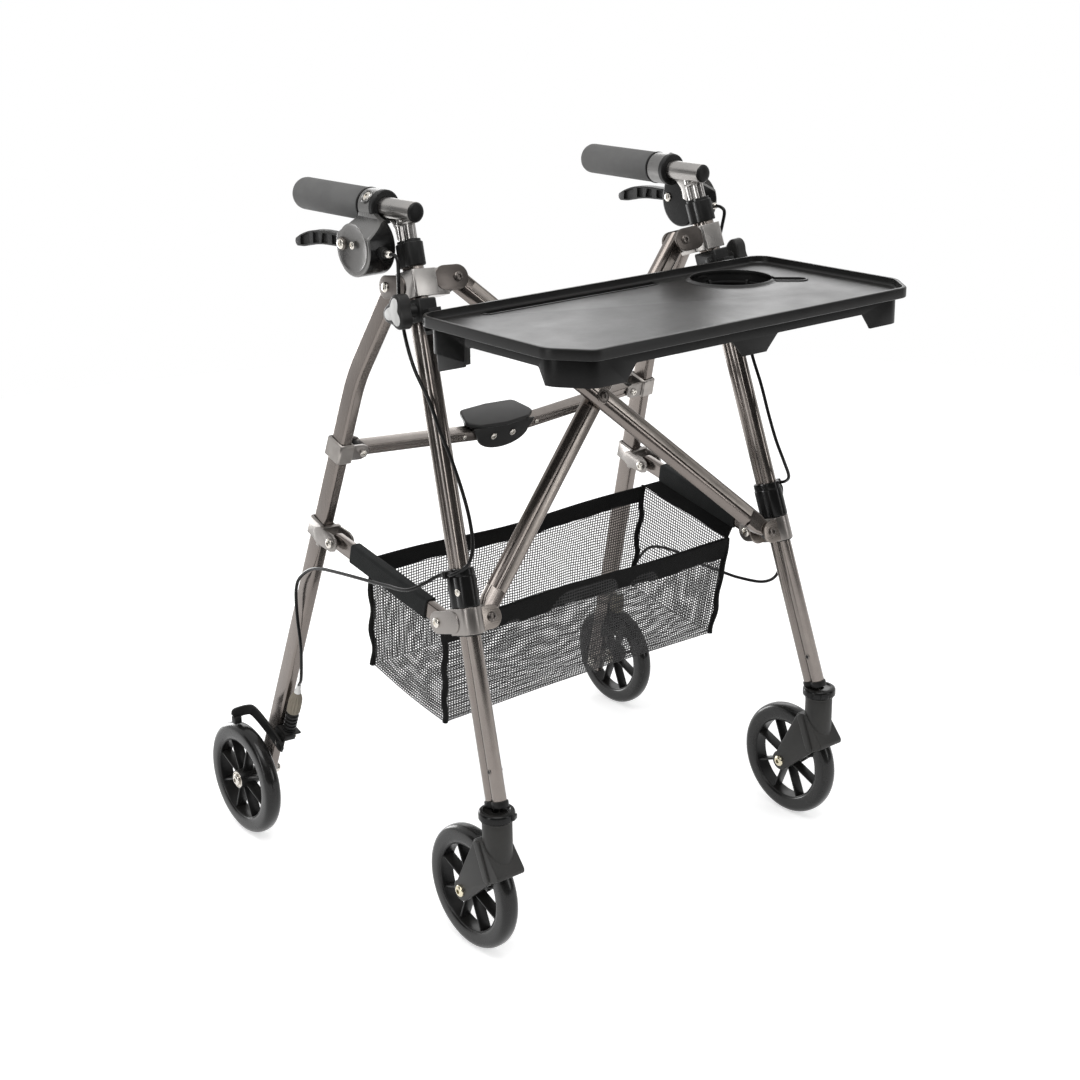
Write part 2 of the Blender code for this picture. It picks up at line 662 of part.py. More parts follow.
def make_leg_collars():
    """Black collars at the leg's top, above the sliding bracket and at the caster."""
    low = TOP_COLLAR_LOW
    top = combined([plate([two_lobes(COLLAR_WALL)], low, low + TOP_COLLAR_HEIGHT)],
                   [plate([two_lobes(GAP)], low - 0.01, LEG_ABOVE_BRACKET + GAP),
                    plate([two_lobes(-LEG_WALL)], low, low + 0.06)])
    place_pair("collar_top", top, BLACK, LEG)
    start = LOW_PIVOT.z + HALF_BRACKET + GAP
    middle = plate([two_lobes(COLLAR_WALL + 0.0012)], start, start + MID_COLLAR_HEIGHT)
    clip = plate([two_lobes(COLLAR_WALL)], start + MID_COLLAR_HEIGHT - 0.001,
                 start + MID_COLLAR_HEIGHT + CLIP_HEIGHT)
    holder = box((-CLIP_OUT - 0.0040, -CLIP_HALF, CLIP_Z), (-LOBE_RADIUS, CLIP_HALF, CLIP_Z + CLIP_HEIGHT))
    screw = rod((-0.0145, -0.0040, start + 0.016), (-0.0090, -0.0040, start + 0.016), 0.0042, 8)
    middle = combined([middle, clip, holder, screw],
                      [plate([two_lobes(GAP)], start - 0.01, start + MID_COLLAR_HEIGHT + 0.02)])
    place_pair("collar_middle", middle, BLACK, LEG)
    ring = moved(turned([(0, FOOT_RING_HEIGHT), (FOOT_RING_RADIUS - 0.002, FOOT_RING_HEIGHT),
                         (FOOT_RING_RADIUS, FOOT_RING_HEIGHT - 0.002), (FOOT_RING_RADIUS, 0), (0, 0)], 16),
                 LEG_INVERSE @ Matrix.Translation((-FRONT_WHEEL_X, STEM_Y, STEM_TOP_Z + GAP)))
    sleeve = plate([two_lobes(COLLAR_WALL)], -LEG_BELOW_BRACKET - 0.006,
                   -LEG_BELOW_BRACKET + FOOT_SLEEVE_HEIGHT)
    stem_hole = moved(rod((0, 0, -0.01), (0, 0, SPIGOT_HEIGHT + 2 * GAP), SPIGOT_RADIUS + RUNNING_GAP),
                      LEG_INVERSE @ Matrix.Translation((-FRONT_WHEEL_X, STEM_Y, STEM_TOP_Z)))
    under = moved(box((-0.05, -0.05, -0.05), (0.05, 0.05, 0)),
                  LEG_INVERSE @ Matrix.Translation((-FRONT_WHEEL_X, STEM_Y, STEM_TOP_Z + GAP)))
    foot = combined([ring, sleeve], [plate([two_lobes(GAP)], -LEG_BELOW_BRACKET - GAP, 0), under, stem_hole])
    place_pair("collar_foot", foot, BLACK, LEG)


def make_tray_clamp():
    """Ring on the leg with a boss for the knob and a hook that holds the tray's flange."""
    low, high = -KNOB_DOWN - CLAMP_BODY_HEIGHT / 2, -KNOB_DOWN + CLAMP_BODY_HEIGHT / 2
    front = CLAMP_FACE
    body = box((-0.0118, -front, low), (0.0112, 0.0172, high), 0.0015)
    boss = rod((-0.008, -KNOB_AHEAD, -KNOB_DOWN), (-CLAMP_BOSS_END, -KNOB_AHEAD, -KNOB_DOWN),
               CLAMP_BOSS_RADIUS)
    nut = rod((0.010, -KNOB_AHEAD, -KNOB_DOWN), (0.0145, -KNOB_AHEAD, -KNOB_DOWN), 0.0048, 6)
    clamp = moved(combined([body, boss, nut]), LEG)
    knob_axis = RAKED.inverted() @ LEG @ Vector((0, 0, -KNOB_DOWN))
    inner, outer = knob_axis.x - HOOK_HALF, knob_axis.x + HOOK_HALF
    floor = FLANGE_TOP - FLANGE_DROP - GAP
    lip = FLANGE_FRONT + GAP
    block = box((inner, -FLANGE_BACK + GAP, floor - HOOK_WALL), (outer, -front + 0.004, knob_axis.z))
    base = box((inner, -lip - HOOK_WALL, floor - HOOK_WALL), (outer, -front, floor))
    lip_wall = box((inner, -lip - HOOK_WALL, floor - HOOK_WALL), (outer, -lip, floor + HOOK_LIP))
    hook = combined([block, base, lip_wall])
    leg_hole = moved(plate([two_lobes(GAP)], -0.07, 0.0), LEG)
    stud_hole = moved(rod((-0.05, -KNOB_AHEAD, -KNOB_DOWN), (-0.0125, -KNOB_AHEAD, -KNOB_DOWN),
                          STUD_RADIUS + RUNNING_GAP, 12), LEG)
    mesh = combined([clamp, moved(hook, RAKED)], [leg_hole, stud_hole])
    place_pair("tray_clamp", moved(mesh, LEG_INVERSE), BLACK, LEG)


def make_knob():
    """Three-lobed hand knob on its stud."""
    outline = []
    for i in range(KNOB_SIDES):
        angle = 2 * pi * i / KNOB_SIDES
        reach = KNOB_RADIUS + KNOB_LOBE * cos(3 * angle)
        outline.append((reach * cos(angle), reach * sin(angle)))
    head = side_plate(outline, -KNOB_FROM - KNOB_THICKNESS, -KNOB_FROM, 0.0015)
    neck = rod((-CLAMP_BOSS_END - GAP, 0, 0), (-KNOB_FROM - 0.002, 0, 0), 0.0062)
    stud = rod((-0.0128, 0, 0), (-KNOB_FROM - 0.002, 0, 0), STUD_RADIUS, 12)
    origin = (0, -KNOB_AHEAD, -KNOB_DOWN)
    mesh = moved(combined([head, neck, stud]), Matrix.Translation(origin))
    place_pair("knob", mesh, CHARCOAL, LEG, origin)


def make_height_button():
    """Push button that lets the handle post slide."""
    y = LEG_HALF_DEPTH
    profile = [(0, y + 0.0032), (BUTTON_RADIUS - 0.001, y + 0.0032), (BUTTON_RADIUS, y + 0.0022),
               (BUTTON_RADIUS, y - LEG_WALL), (0, y - LEG_WALL)]
    mesh = moved(turned(profile, 12, "Y"), Matrix.Translation((0, 0, -BUTTON_DOWN)))
    place_pair("height_button", mesh, STEEL, LEG, (0, y, -BUTTON_DOWN))


def make_handle_post():
    """Post that slides in the leg, welded to the tube that carries the grip."""
    tube_shape = rod((0, TUBE_FRONT, 0), (0, TUBE_BACK, 0), TUBE_RADIUS, TUBE_SIDES)
    bore = rod((0, TUBE_FRONT + TUBE_PLUG, 0), (0, TUBE_BACK + 0.01, 0), TUBE_RADIUS - TUBE_WALL, TUBE_SIDES)
    handle_height = (LEG_INVERSE @ Vector((-HANDLE_X, 0, HANDLE_Z))).z
    post = plate([two_lobes(-LEG_WALL - GAP)], -POST_DEPTH, handle_height + 0.001)
    holes = []
    for i in range(HEIGHT_STEPS + 1):
        z = -BUTTON_DOWN - i * HEIGHT_STEP
        holes.append(rod((0, LEG_HALF_DEPTH - 0.006, z), (0, LEG_HALF_DEPTH + 0.01, z),
                         BUTTON_RADIUS + RUNNING_GAP, 8))
    post = moved(combined([post], holes), LEG)
    mesh = combined([moved(tube_shape, HANDLE), post], [moved(bore, HANDLE)])
    place_pair("handle_post", moved(mesh, LEG_INVERSE), DARK_CHROME, LEG)


def make_grip():
    """Foam grip over the rear of the handle tube."""
    bore = TUBE_RADIUS + GAP
    end = GRIP_BACK
    profile = [(0, end), (GRIP_RADIUS - 0.009, end), (GRIP_RADIUS - 0.003, end - 0.003),
               (GRIP_RADIUS, end - 0.009), (GRIP_RADIUS, GRIP_FRONT + 0.002),
               (GRIP_RADIUS - 0.002, GRIP_FRONT), (bore, GRIP_FRONT), (bore, TUBE_BACK + GAP),
               (0, TUBE_BACK + GAP)]
    place_pair("grip", turned(profile, TUBE_SIDES, "Y"), FOAM, HANDLE)


def make_brake_housing():
    """Housing that hangs from the handle tube, with the lever's slot, pivot and cable ferrule."""
    disc = arc((HOUSING_Y, -HOUSING_DOWN), HOUSING_RADIUS, 118, 378, 14)
    outline = disc + [(CLAMP_BACK - 0.001, -0.012), (CLAMP_BACK - 0.001, -0.002),
                      (CLAMP_FRONT + 0.001, -0.002)]
    body = side_plate(outline, -HOUSING_OUT, -HOUSING_IN, 0.003)
    clamp = rod((0, CLAMP_FRONT, 0), (0, CLAMP_BACK, 0), CLAMP_RADIUS, TUBE_SIDES)
    tube_hole = rod((0, -0.05, 0), (0, 0.12, 0), TUBE_RADIUS + GAP, TUBE_SIDES)
    slot_half = LEVER_WIDTH / 2 + 0.0004
    slot = box((-LEVER_CENTRE_OUT - slot_half, LEVER_PIVOT_Y - 0.0090, -LEVER_PIVOT_DOWN - 0.0155),
               (-LEVER_CENTRE_OUT + slot_half, 0.10, -LEVER_PIVOT_DOWN + 0.0135))
    cable_root = (-FERRULE_OUT, HOUSING_Y - HOUSING_RADIUS + 0.007, -FERRULE_DOWN)
    ferrule = rod(cable_root, (-FERRULE_OUT, FERRULE_TIP, -FERRULE_DOWN), FERRULE_RADIUS)
    port = rod(cable_root, (-FERRULE_OUT, FERRULE_TIP + FERRULE_SHOWS, -FERRULE_DOWN), PORT_RADIUS)
    second = rod((-HOUSING_OUT - 0.0012, SCREW_Y, -SCREW_DOWN), (-HOUSING_OUT + 0.002, SCREW_Y, -SCREW_DOWN),
                 SCREW_RADIUS)
    tilt = Matrix.Rotation(radians(-50), 4, "Y")
    tilt = tilt @ Matrix.Translation((0, (CLAMP_FRONT + CLAMP_BACK) / 2, 0))
    clamp_screw = moved(rod((0, 0, TUBE_RADIUS + 0.003), (0, 0, CLAMP_RADIUS + 0.0016), SCREW_RADIUS), tilt)
    pivot = moved(pin(-HOUSING_OUT, -HOUSING_IN, "X"),
                  Matrix.Translation((0, LEVER_PIVOT_Y, -LEVER_PIVOT_DOWN)))
    body = combined([combined([body, clamp, ferrule, port, second, clamp_screw], [tube_hole, slot]), pivot])
    place_pair("brake_housing", body, CHARCOAL, HANDLE)


LEVER_TOP = [(0.012, 0.0062), (0.030, 0.0062), (0.056, 0.0060), (0.078, 0.0036), (0.096, -0.0020),
             (0.107, -0.0075)]
LEVER_UNDER = [(0.104, -0.0140), (0.090, -0.0125), (0.078, -0.0100), (0.055, -0.0072), (0.030, -0.0068),
               (0.010, -0.0072)]


def make_brake_lever():
    """Curved finger lever. Its outline is measured from its pivot."""
    boss = arc((0, 0), 0.0072, 90, 270, 9)
    outline = boss + LEVER_UNDER[::-1] + LEVER_TOP[::-1]
    half = LEVER_WIDTH / 2
    lever = side_plate(outline, -LEVER_CENTRE_OUT - half, -LEVER_CENTRE_OUT + half, 0.0018)
    hole = rod((-0.06, 0, 0), (0.01, 0, 0), HOLE_RADIUS, 10)
    origin = (-LEVER_CENTRE_OUT, LEVER_PIVOT_Y, -LEVER_PIVOT_DOWN)
    mesh = moved(combined([lever], [hole]), Matrix.Translation((0, LEVER_PIVOT_Y, -LEVER_PIVOT_DOWN)))
    place_pair("brake_lever", mesh, CHARCOAL, HANDLE, origin)


def make_cables():
    """Brake cable from the lever to the leg's clip, and from there to the rear brake."""
    leave_lever = [HANDLE @ Vector((-FERRULE_OUT, FERRULE_TIP - step, -FERRULE_DOWN))
                   for step in (GAP, CABLE_LEAD)]
    middle = CLIP_Z + CLIP_HEIGHT / 2
    reach_clip = [LEG @ Vector((-CLIP_OUT, -CLIP_HALF - step, middle)) for step in (CABLE_LEAD, GAP)]
    leave_clip = [LEG @ Vector((-CLIP_OUT, CLIP_HALF + step, middle)) for step in (GAP, CABLE_LEAD)]
    ferrule = BRAKE_BRACKET_HEIGHT / 2 + BRAKE_FERRULE
    reach_brake = [BRAKE @ Vector((0, BRAKE_CABLE_Y, ferrule + step)) for step in (CABLE_LEAD, GAP)]
    place_pair("cable_upper", tube(leave_lever + UPPER_CABLE + reach_clip, CABLE_RADIUS), BLACK)
    place_pair("cable_lower", tube(leave_clip + LOWER_CABLE + reach_brake, CABLE_RADIUS), BLACK)


def brace_arm(top, low, y_from, y_to, joints):
    """Arm of the cross brace, with its lower end narrowed to fit the sliding bracket's ears."""
    along = (low - top).normalized()
    taper_top = low - along * BRACE_TAPER
    wide = stadium((top.x, top.z), (taper_top.x, taper_top.z), BRACE_WIDTH / 2)
    narrow = stadium((taper_top.x, taper_top.z), (low.x, low.z), BRACE_LOW_END_RADIUS)
    shapes = [face_plate(wide, y_from, y_to, 0.0022), face_plate(narrow, y_from, y_to)]
    holes = [rod((p.x, -0.03, p.z), (p.x, 0.03, p.z), HOLE_RADIUS, 10) for p in joints]
    return combined(shapes, holes)


def make_brace():
    """The two arms that cross between the front legs, and the pin where they cross."""
    near = EAR_INNER - GAP
    front = brace_arm(BRACE_TOP_R, BRACE_LOW_L, -near, -near + BRACE_THICKNESS, (BRACE_TOP_R, BRACE_LOW_L))
    middle = moved(pin(-near, near + GAP, "Y", end_seat=0), Matrix.Translation(BRACE_CROSSING))
    place("brace_arm_front", combined([front, middle]), GRAPHITE, RAKED, BRACE_TOP_R)
    rear = brace_arm(BRACE_TOP_L, BRACE_LOW_R, near - BRACE_THICKNESS, near,
                     (BRACE_TOP_L, BRACE_LOW_R, BRACE_CROSSING))
    place("brace_arm_rear", rear, GRAPHITE, RAKED, BRACE_CROSSING)


def make_slider():
    """Bracket that slides down the leg as the frame folds."""
    half_depth = LEG_HALF_DEPTH + LEG_GAP + 0.0032
    middle = LOW_PIVOT.z
    sleeve = box((-EAR_OUTER, -half_depth, middle - HALF_BRACKET),
                 (EAR_OUTER, half_depth, middle + HALF_BRACKET))
    inner = stadium((EAR_OUTER - 0.004, middle), (LOW_PIVOT.x, middle), EAR_END_RADIUS)
    ears = [face_plate(inner, -EAR_OUTER, -EAR_INNER), face_plate(inner, EAR_INNER, EAR_OUTER)]
    rear = stadium((half_depth - 0.006, middle), (LINK_PIVOT.y, LINK_PIVOT.z), EAR_END_RADIUS)
    ears += [side_plate(rear, -EAR_OUTER, -EAR_INNER), side_plate(rear, EAR_INNER, EAR_OUTER)]
    run = LEG_HALF_DEPTH + LEG_GAP
    bore = box((-EAR_INNER, -run, middle - 0.03), (EAR_INNER, run, middle + 0.03))
    gap = box((-EAR_INNER, half_depth - 0.0005, middle - 0.03), (EAR_INNER, 0.08, middle + 0.03))
    pins = [moved(pin(-EAR_OUTER, EAR_OUTER, "Y"), Matrix.Translation(LOW_PIVOT)),
            moved(pin(-EAR_OUTER, EAR_OUTER, "X"), Matrix.Translation(LINK_PIVOT))]
    bracket = combined([combined([sleeve] + ears, [bore, gap])] + pins)
    place_pair("slider_bracket", bracket, GRAPHITE, LEG, (LOW_PIVOT.x, 0, middle))


LINK_RUN = (LINK_END - LINK_PIVOT)
LINK_AXIS = LINK_RUN.normalized()
LINK_SIDE = Vector((1, 0, 0)) - LINK_AXIS * LINK_AXIS.x
LINK_SIDE.normalize()
LINK_FRAME = LEG @ frame_of(LINK_SIDE, LINK_AXIS, LINK_SIDE.cross(LINK_AXIS), LINK_PIVOT)


def make_side_link():
    """Flat bar from the sliding bracket back to the rear leg's clamp."""
    half = LINK_THICKNESS / 2
    length = LINK_RUN.length
    bar = side_plate(stadium((0, 0), (length, 0), LINK_WIDTH / 2), -half, half, 0.002)
    hole = moved(rod((-0.03, 0, 0), (0.03, 0, 0), HOLE_RADIUS, 10),
                 LINK_FRAME.inverted() @ LEG @ Matrix.Translation(LINK_PIVOT))
    place_pair("side_link", combined([bar], [hole]), GRAPHITE, LINK_FRAME)


def link_sleeve():
    """The basket's sleeve around the right side link, in the link's frame."""
    wide, high = LINK_THICKNESS / 2 + GAP, LINK_WIDTH / 2 + GAP
    wall = SLEEVE_WALL
    outer = rounded([(-wide - wall, -high - wall), (wide + wall, -high - wall),
                     (wide + wall, high + wall), (-wide - wall, high + wall)], 0.004, 4)
    inner = [(-wide, -high), (wide, -high), (wide, high), (-wide, high)]
    return moved(plate([outer, inner], -(LINK_RUN.length - SLEEVE_END), -SLEEVE_START), FACE_ON)


def rear_leg_outline():
    """Centre line of the rear leg in its own plane, from the pivot, offset to both sides."""
    to_plane = REAR.inverted()
    bend = to_plane @ Vector((REAR_PIVOT_WORLD.x - REAR_LEAN_SLOPE * (REAR_PIVOT_WORLD.z - REAR_BEND_Z),
                              REAR_BEND_Y, REAR_BEND_Z))
    foot = to_plane @ rear_leg_point(WHEEL_RADIUS - REAR_LEG_FOOT)
    corner = Vector((bend.y, bend.z))
    top_run = (Vector((0, 0)) - corner).normalized()
    low_run = (Vector((foot.y, foot.z)) - corner).normalized()
    half_turn = (pi - top_run.angle(low_run)) / 2
    reach = REAR_BEND_RADIUS * sin(half_turn) / cos(half_turn)
    path = [Vector((0, 0))]
    for i in range(BEND_POINTS):
        t = i / (BEND_POINTS - 1)
        path.append((1 - t) ** 2 * (corner + top_run * reach) + 2 * t * (1 - t) * corner
                    + t * t * (corner + low_run * reach))
    path.append(Vector((foot.y, foot.z)))
    half = REAR_LEG_DEPTH / 2
    left, right = [], []
    for i, spot in enumerate(path):
        run = (path[min(i + 1, len(path) - 1)] - path[max(i - 1, 0)]).normalized()
        side = Vector((-run.y, run.x)) * half
        left.append(tuple(spot + side))
        right.append(tuple(spot - side))
    first = (path[1] - path[0]).normalized()
    heading = Vector((1, 0)).angle_signed(first) * -180 / pi
    cap = arc((0, 0), half, heading + 90, heading + 270, 7)
    return cap[1:-1] + right[:] + left[::-1]


def make_rear_leg():
    """Bent rear leg that swings on the top bracket."""
    half = REAR_LEG_WIDTH / 2
    leg = moved(side_plate(rear_leg_outline(), -half, half, 0.0025), REAR)
    pivot_hole = moved(rod((-0.03, *REAR_PIVOT.yz), (0.03, *REAR_PIVOT.yz), HOLE_RADIUS, 10), LEG)
    leg = combined([leg], [pivot_hole])
    mesh = moved(combined([leg, rear_axle()]), LEG_INVERSE)
    place_pair("rear_leg", mesh, GRAPHITE, LEG, REAR_PIVOT)


def rear_axle():
    """Axle bolt through the rear leg's foot, with its spacer, head and nut, in the world's frame."""
    leg_x = -rear_leg_point(WHEEL_RADIUS).x
    outer = REAR_WHEEL_X + HUB_WIDTH / 2 + GAP
    inner = REAR_WHEEL_X - HUB_WIDTH / 2 - GAP
    nut = leg_x - REAR_LEG_WIDTH / 2
    profile = [(0, nut - 0.0075), (0.0066, nut - 0.0075), (0.0066, nut + 0.002), (0.0070, nut + 0.002),
               (0.0070, inner), (AXLE_RADIUS, inner), (AXLE_RADIUS, outer), (0.0066, outer),
               (0.0066, outer + 0.0045), (0.0050, outer + 0.0060), (0, outer + 0.0060)]
    return moved(turned([(radius, -x) for radius, x in profile], 12, "X"),
                 Matrix.Translation((0, REAR_WHEEL_Y, WHEEL_RADIUS)))


def make_rear_leg_clamps():
    """Clamps on the rear leg: one hinges the crossbar, one holds the side link's end."""
    half_w, half_d = REAR_LEG_WIDTH / 2, REAR_LEG_DEPTH / 2
    side = (REAR.to_3x3() @ Vector((1, 0, 0))).normalized()
    along_leg = LOW.inverted() @ frame_of(side, LOW_UP.cross(side), LOW_UP, rear_leg_point(CROSSBAR_CLAMP_Z))
    leg_hole = box((-half_w - GAP, -half_d - GAP, -0.30), (half_w + GAP, half_d + GAP, 0.10))
    leg_hole = moved(leg_hole, along_leg)
    outer = (half_w + CLAMP_WALL, half_d + CLAMP_WALL)
    half_h = CLAMP_HEIGHT / 2
    body = box((-outer[0], -outer[1], -half_h), (outer[0], outer[1], half_h), 0.002)
    ear_in = BAR_DEPTH / 2 + GAP
    ear = stadium((0, 0), (BAR_PIVOT_IN, 0), 0.0095)
    ear_out = ear_in + CLAMP_WALL
    ears = [face_plate(ear, -ear_out, -ear_in), face_plate(ear, ear_in, ear_out)]
    ear_space = box((outer[0] + GAP, -ear_in, -0.02), (0.05, ear_in, 0.02))
    hinge = moved(pin(-ear_out, ear_out, "Y", 0.0045), Matrix.Translation((BAR_PIVOT_IN, 0, 0)))
    upper = combined([combined([body] + ears, [leg_hole, ear_space]), hinge])
    place_pair("crossbar_clamp", upper, GRAPHITE, LOW)
    to_low = LOW.inverted()
    end = to_low @ LEG @ LINK_END
    drop = (to_low @ rear_leg_point(LINK_CLAMP_Z)).z
    body = box((-outer[0], -outer[1], drop - half_h), (outer[0], outer[1], drop + half_h), 0.002)
    link_ear = stadium((-half_d, drop), (end.y, end.z), 0.0105)
    pieces = [body]
    for low, high in ((-EAR_OUTER, -EAR_INNER), (EAR_INNER, EAR_OUTER)):
        pieces.append(side_plate(link_ear, low, high))
    bridge = box((-EAR_OUTER, -outer[1] - 0.0025, drop - half_h),
                 (EAR_OUTER, -outer[1] + CLAMP_WALL, drop + half_h))
    stub = LINK_THICKNESS / 2 + LINK_END_PLAY
    stubs = [rod((-EAR_OUTER - 0.0026, end.y, end.z), (-stub, end.y, end.z), PIN_HEAD_RADIUS, 12),
             rod((stub, end.y, end.z), (EAR_OUTER + 0.0026, end.y, end.z), PIN_HEAD_RADIUS, 12)]
    lower = combined([combined(pieces + [bridge], [leg_hole])] + stubs)
    place_pair("link_clamp", lower, GRAPHITE, LOW)


def make_wheels(name, x, y):
    """Tyre and spoked rim of one pair of wheels."""
    centre = (-x, y, WHEEL_RADIUS)
    at_centre = Matrix.Translation(centre)
    half = TYRE_WIDTH / 2
    shoulder, crown = WHEEL_RADIUS - 0.0090, WHEEL_RADIUS - 0.0020
    tyre = [(TYRE_INNER_RADIUS, -half + 0.0010), (shoulder, -half), (crown, -half + 0.0032),
            (WHEEL_RADIUS, 0), (crown, half - 0.0032), (shoulder, half), (TYRE_INNER_RADIUS, half - 0.0010)]
    tyre_shape = turned(tyre, WHEEL_SIDES, "X", closed=True)
    place_pair(name + "_tyre", moved(tyre_shape, at_centre), TYRE, origin=centre)
    seat = TYRE_INNER_RADIUS - GAP
    ring = turned([(RIM_INNER_RADIUS, -half + 0.002), (seat, -half + 0.002), (seat, half - 0.002),
                   (RIM_INNER_RADIUS, half - 0.002)], WHEEL_SIDES, "X", closed=True)
    hub = rod((-HUB_WIDTH / 2, 0, 0), (HUB_WIDTH / 2, 0, 0), HUB_RADIUS, 12)
    spokes = []
    for i in range(SPOKE_COUNT // 2):
        blade = box((-SPOKE_WIDTH / 2, -SPOKE_THICKNESS / 2, -RIM_INNER_RADIUS - 0.002),
                    (SPOKE_WIDTH / 2, SPOKE_THICKNESS / 2, RIM_INNER_RADIUS + 0.002))
        spokes.append(moved(blade, Matrix.Rotation((i + 0.5) * 2 * pi / SPOKE_COUNT, 4, "X")))
    bore = rod((-0.03, 0, 0), (0.03, 0, 0), AXLE_RADIUS + RUNNING_GAP, 10)
    rim = combined([ring, hub] + spokes, [bore])
    place_pair(name + "_rim", moved(rim, at_centre), BLACK, origin=centre)


def make_caster_fork():
    """Swivel fork with its stem housing, visor and axle. Drawn from the wheel's centre."""
    stem = STEM_Y - FRONT_WHEEL_Y
    stem_top = STEM_TOP_Z - WHEEL_RADIUS
    half = FORK_WIDTH / 2
    boss = arc((0, 0), 0.0125, -125, 60, 9)
    outline = boss + [(-0.0290, 0.0760), (-0.0420, 0.0760), (-0.0690, 0.0440), (-0.0690, 0.0390),
                      (-0.0520, 0.0290)]
    cheeks = side_plate(outline, -half, half, 0.002)
    housing = rod((0, stem, 0.040), (0, stem, stem_top), STEM_RADIUS, 16)
    spigot = rod((0, stem, stem_top - 0.01), (0, stem, stem_top + SPIGOT_HEIGHT), SPIGOT_RADIUS, 10)
    slot = TYRE_WIDTH / 2 + FORK_SLOT_CLEARANCE
    well = rod((-slot, 0, 0), (slot, 0, 0), WHEEL_RADIUS + FORK_SLOT_CLEARANCE, WHEEL_SIDES)
    head = half - 0.0005
    tip = half + 0.0035
    profile = [(0, tip), (0.0055, tip), (0.0068, tip - 0.0015), (0.0068, head), (AXLE_RADIUS, head),
               (AXLE_RADIUS, -head), (0.0068, -head), (0.0068, -tip + 0.0015), (0.0055, -tip), (0, -tip)]
    fork = combined([combined([cheeks, housing, spigot], [well]), turned(profile, 12, "X")])
    mesh = moved(fork, Matrix.Translation((-FRONT_WHEEL_X, FRONT_WHEEL_Y, WHEEL_RADIUS)))
    place_pair("caster_fork", mesh, CHARCOAL, origin=(-FRONT_WHEEL_X, STEM_Y, STEM_TOP_Z))


def bar_between(start, end, width_axis, width, thickness):
    """A flat bar between two points, with its width along the given axis."""
    start, end = Vector(start), Vector(end)
    along = (end - start).normalized()
    across = (Vector(width_axis) - along * along.dot(Vector(width_axis))).normalized()
    frame = frame_of(across, along, across.cross(along), start)
    half_w, half_t = width / 2, thickness / 2
    return moved(box((-half_w, -half_t, -half_t), (half_w, (end - start).length + half_t, half_t)), frame)


def make_rear_brake():
    """Bracket, cable stop and ribbed boot on the rear leg, and the arm that presses the tyre."""
    half_d = REAR_LEG_DEPTH / 2
    front = -half_d - GAP
    half_h = BRAKE_BRACKET_HEIGHT / 2
    outer = BRAKE_BRACKET_HALF
    back_plate = box((-outer, front - BRAKE_PLATE, -half_h), (outer, front, half_h))
    shelf_back = front - BRAKE_BRACKET_REACH + half_d
    cheek = box((-outer, shelf_back, -half_h), (-outer + BRAKE_PLATE, front, half_h))
    shelf = box((-outer, shelf_back, half_h - BRAKE_PLATE), (outer, front, half_h))
    boot_z = half_h + BOOT_START
    adjuster = rod((0, BRAKE_CABLE_Y, half_h - 0.001), (0, BRAKE_CABLE_Y, boot_z + 0.002), 0.0048, 10)
    boot = [(0, 0.0330), (0.0034, 0.0330)]
    for i in range(BOOT_RIBS):
        boot += [(0.0062, 0.0320 - i * 0.0045), (0.0050, 0.0300 - i * 0.0045)]
    boot += [(0.0060, 0.0100), (0.0060, 0.0), (0, 0.0)]
    boot_shape = moved(turned(boot, 10), Matrix.Translation((0, BRAKE_CABLE_Y, boot_z)))
    ferrule_top = (0, BRAKE_CABLE_Y, half_h + BRAKE_FERRULE)
    ferrule = rod((0, BRAKE_CABLE_Y, boot_z + 0.032), ferrule_top, 0.0032, 10)
    pivot_y = front - 0.015
    stub_end = -outer - STRAP_THICKNESS - 2 * GAP
    stub = rod((stub_end - 0.003, pivot_y, 0), (-outer + 0.001, pivot_y, 0), PIN_RADIUS)
    head = rod((stub_end - 0.003, pivot_y, 0), (stub_end - 0.0005, pivot_y, 0), 0.0052)
    bracket = combined([back_plate, cheek, shelf, adjuster, boot_shape, ferrule, stub, head])
    place_pair("brake_bracket", bracket, BLACK, BRAKE)
    pivot = BRAKE @ Vector((-outer - GAP - STRAP_THICKNESS / 2, pivot_y, 0))
    side_x = pivot.x - 0.0005
    knee = Vector((side_x - 0.004, REAR_WHEEL_Y - 0.010, 0.150))
    peak = Vector((-REAR_WHEEL_X + 0.012, REAR_WHEEL_Y - 0.002, WHEEL_RADIUS * 2 + 0.022))
    over = Vector((-REAR_WHEEL_X, REAR_WHEEL_Y + 0.0185, WHEEL_RADIUS * 2 + 0.0115))
    reach = WHEEL_RADIUS + SHOE_CLEARANCE
    shoe_z = WHEEL_RADIUS + sqrt(reach ** 2 - 0.0185 ** 2)
    eye = side_plate(arc((0, 0), 0.0065, 0, 330, 12), -STRAP_THICKNESS / 2, STRAP_THICKNESS / 2)
    eye.transform(Matrix.Translation(pivot) @ BRAKE.to_3x3().to_4x4())
    run = bar_between(pivot, knee, (0, 0, 1), 0.010, STRAP_THICKNESS)
    rise = bar_between(knee, peak, (0, 1, 0), STRAP_WIDTH, STRAP_THICKNESS)
    cross = bar_between(peak, over, (0, 1, 0), STRAP_WIDTH, STRAP_THICKNESS)
    shoe = box((over.x - STRAP_WIDTH / 2, over.y - 0.0045, shoe_z + 0.0008),
               (over.x + STRAP_WIDTH / 2, over.y + 0.0045, over.z))
    hole = moved(rod((-0.05, pivot_y, 0), (0.0, pivot_y, 0), HOLE_RADIUS, 10), BRAKE)
    arm = combined([run, eye, rise, cross, shoe], [hole])
    place_pair("brake_arm", arm, BLACK, origin=pivot)


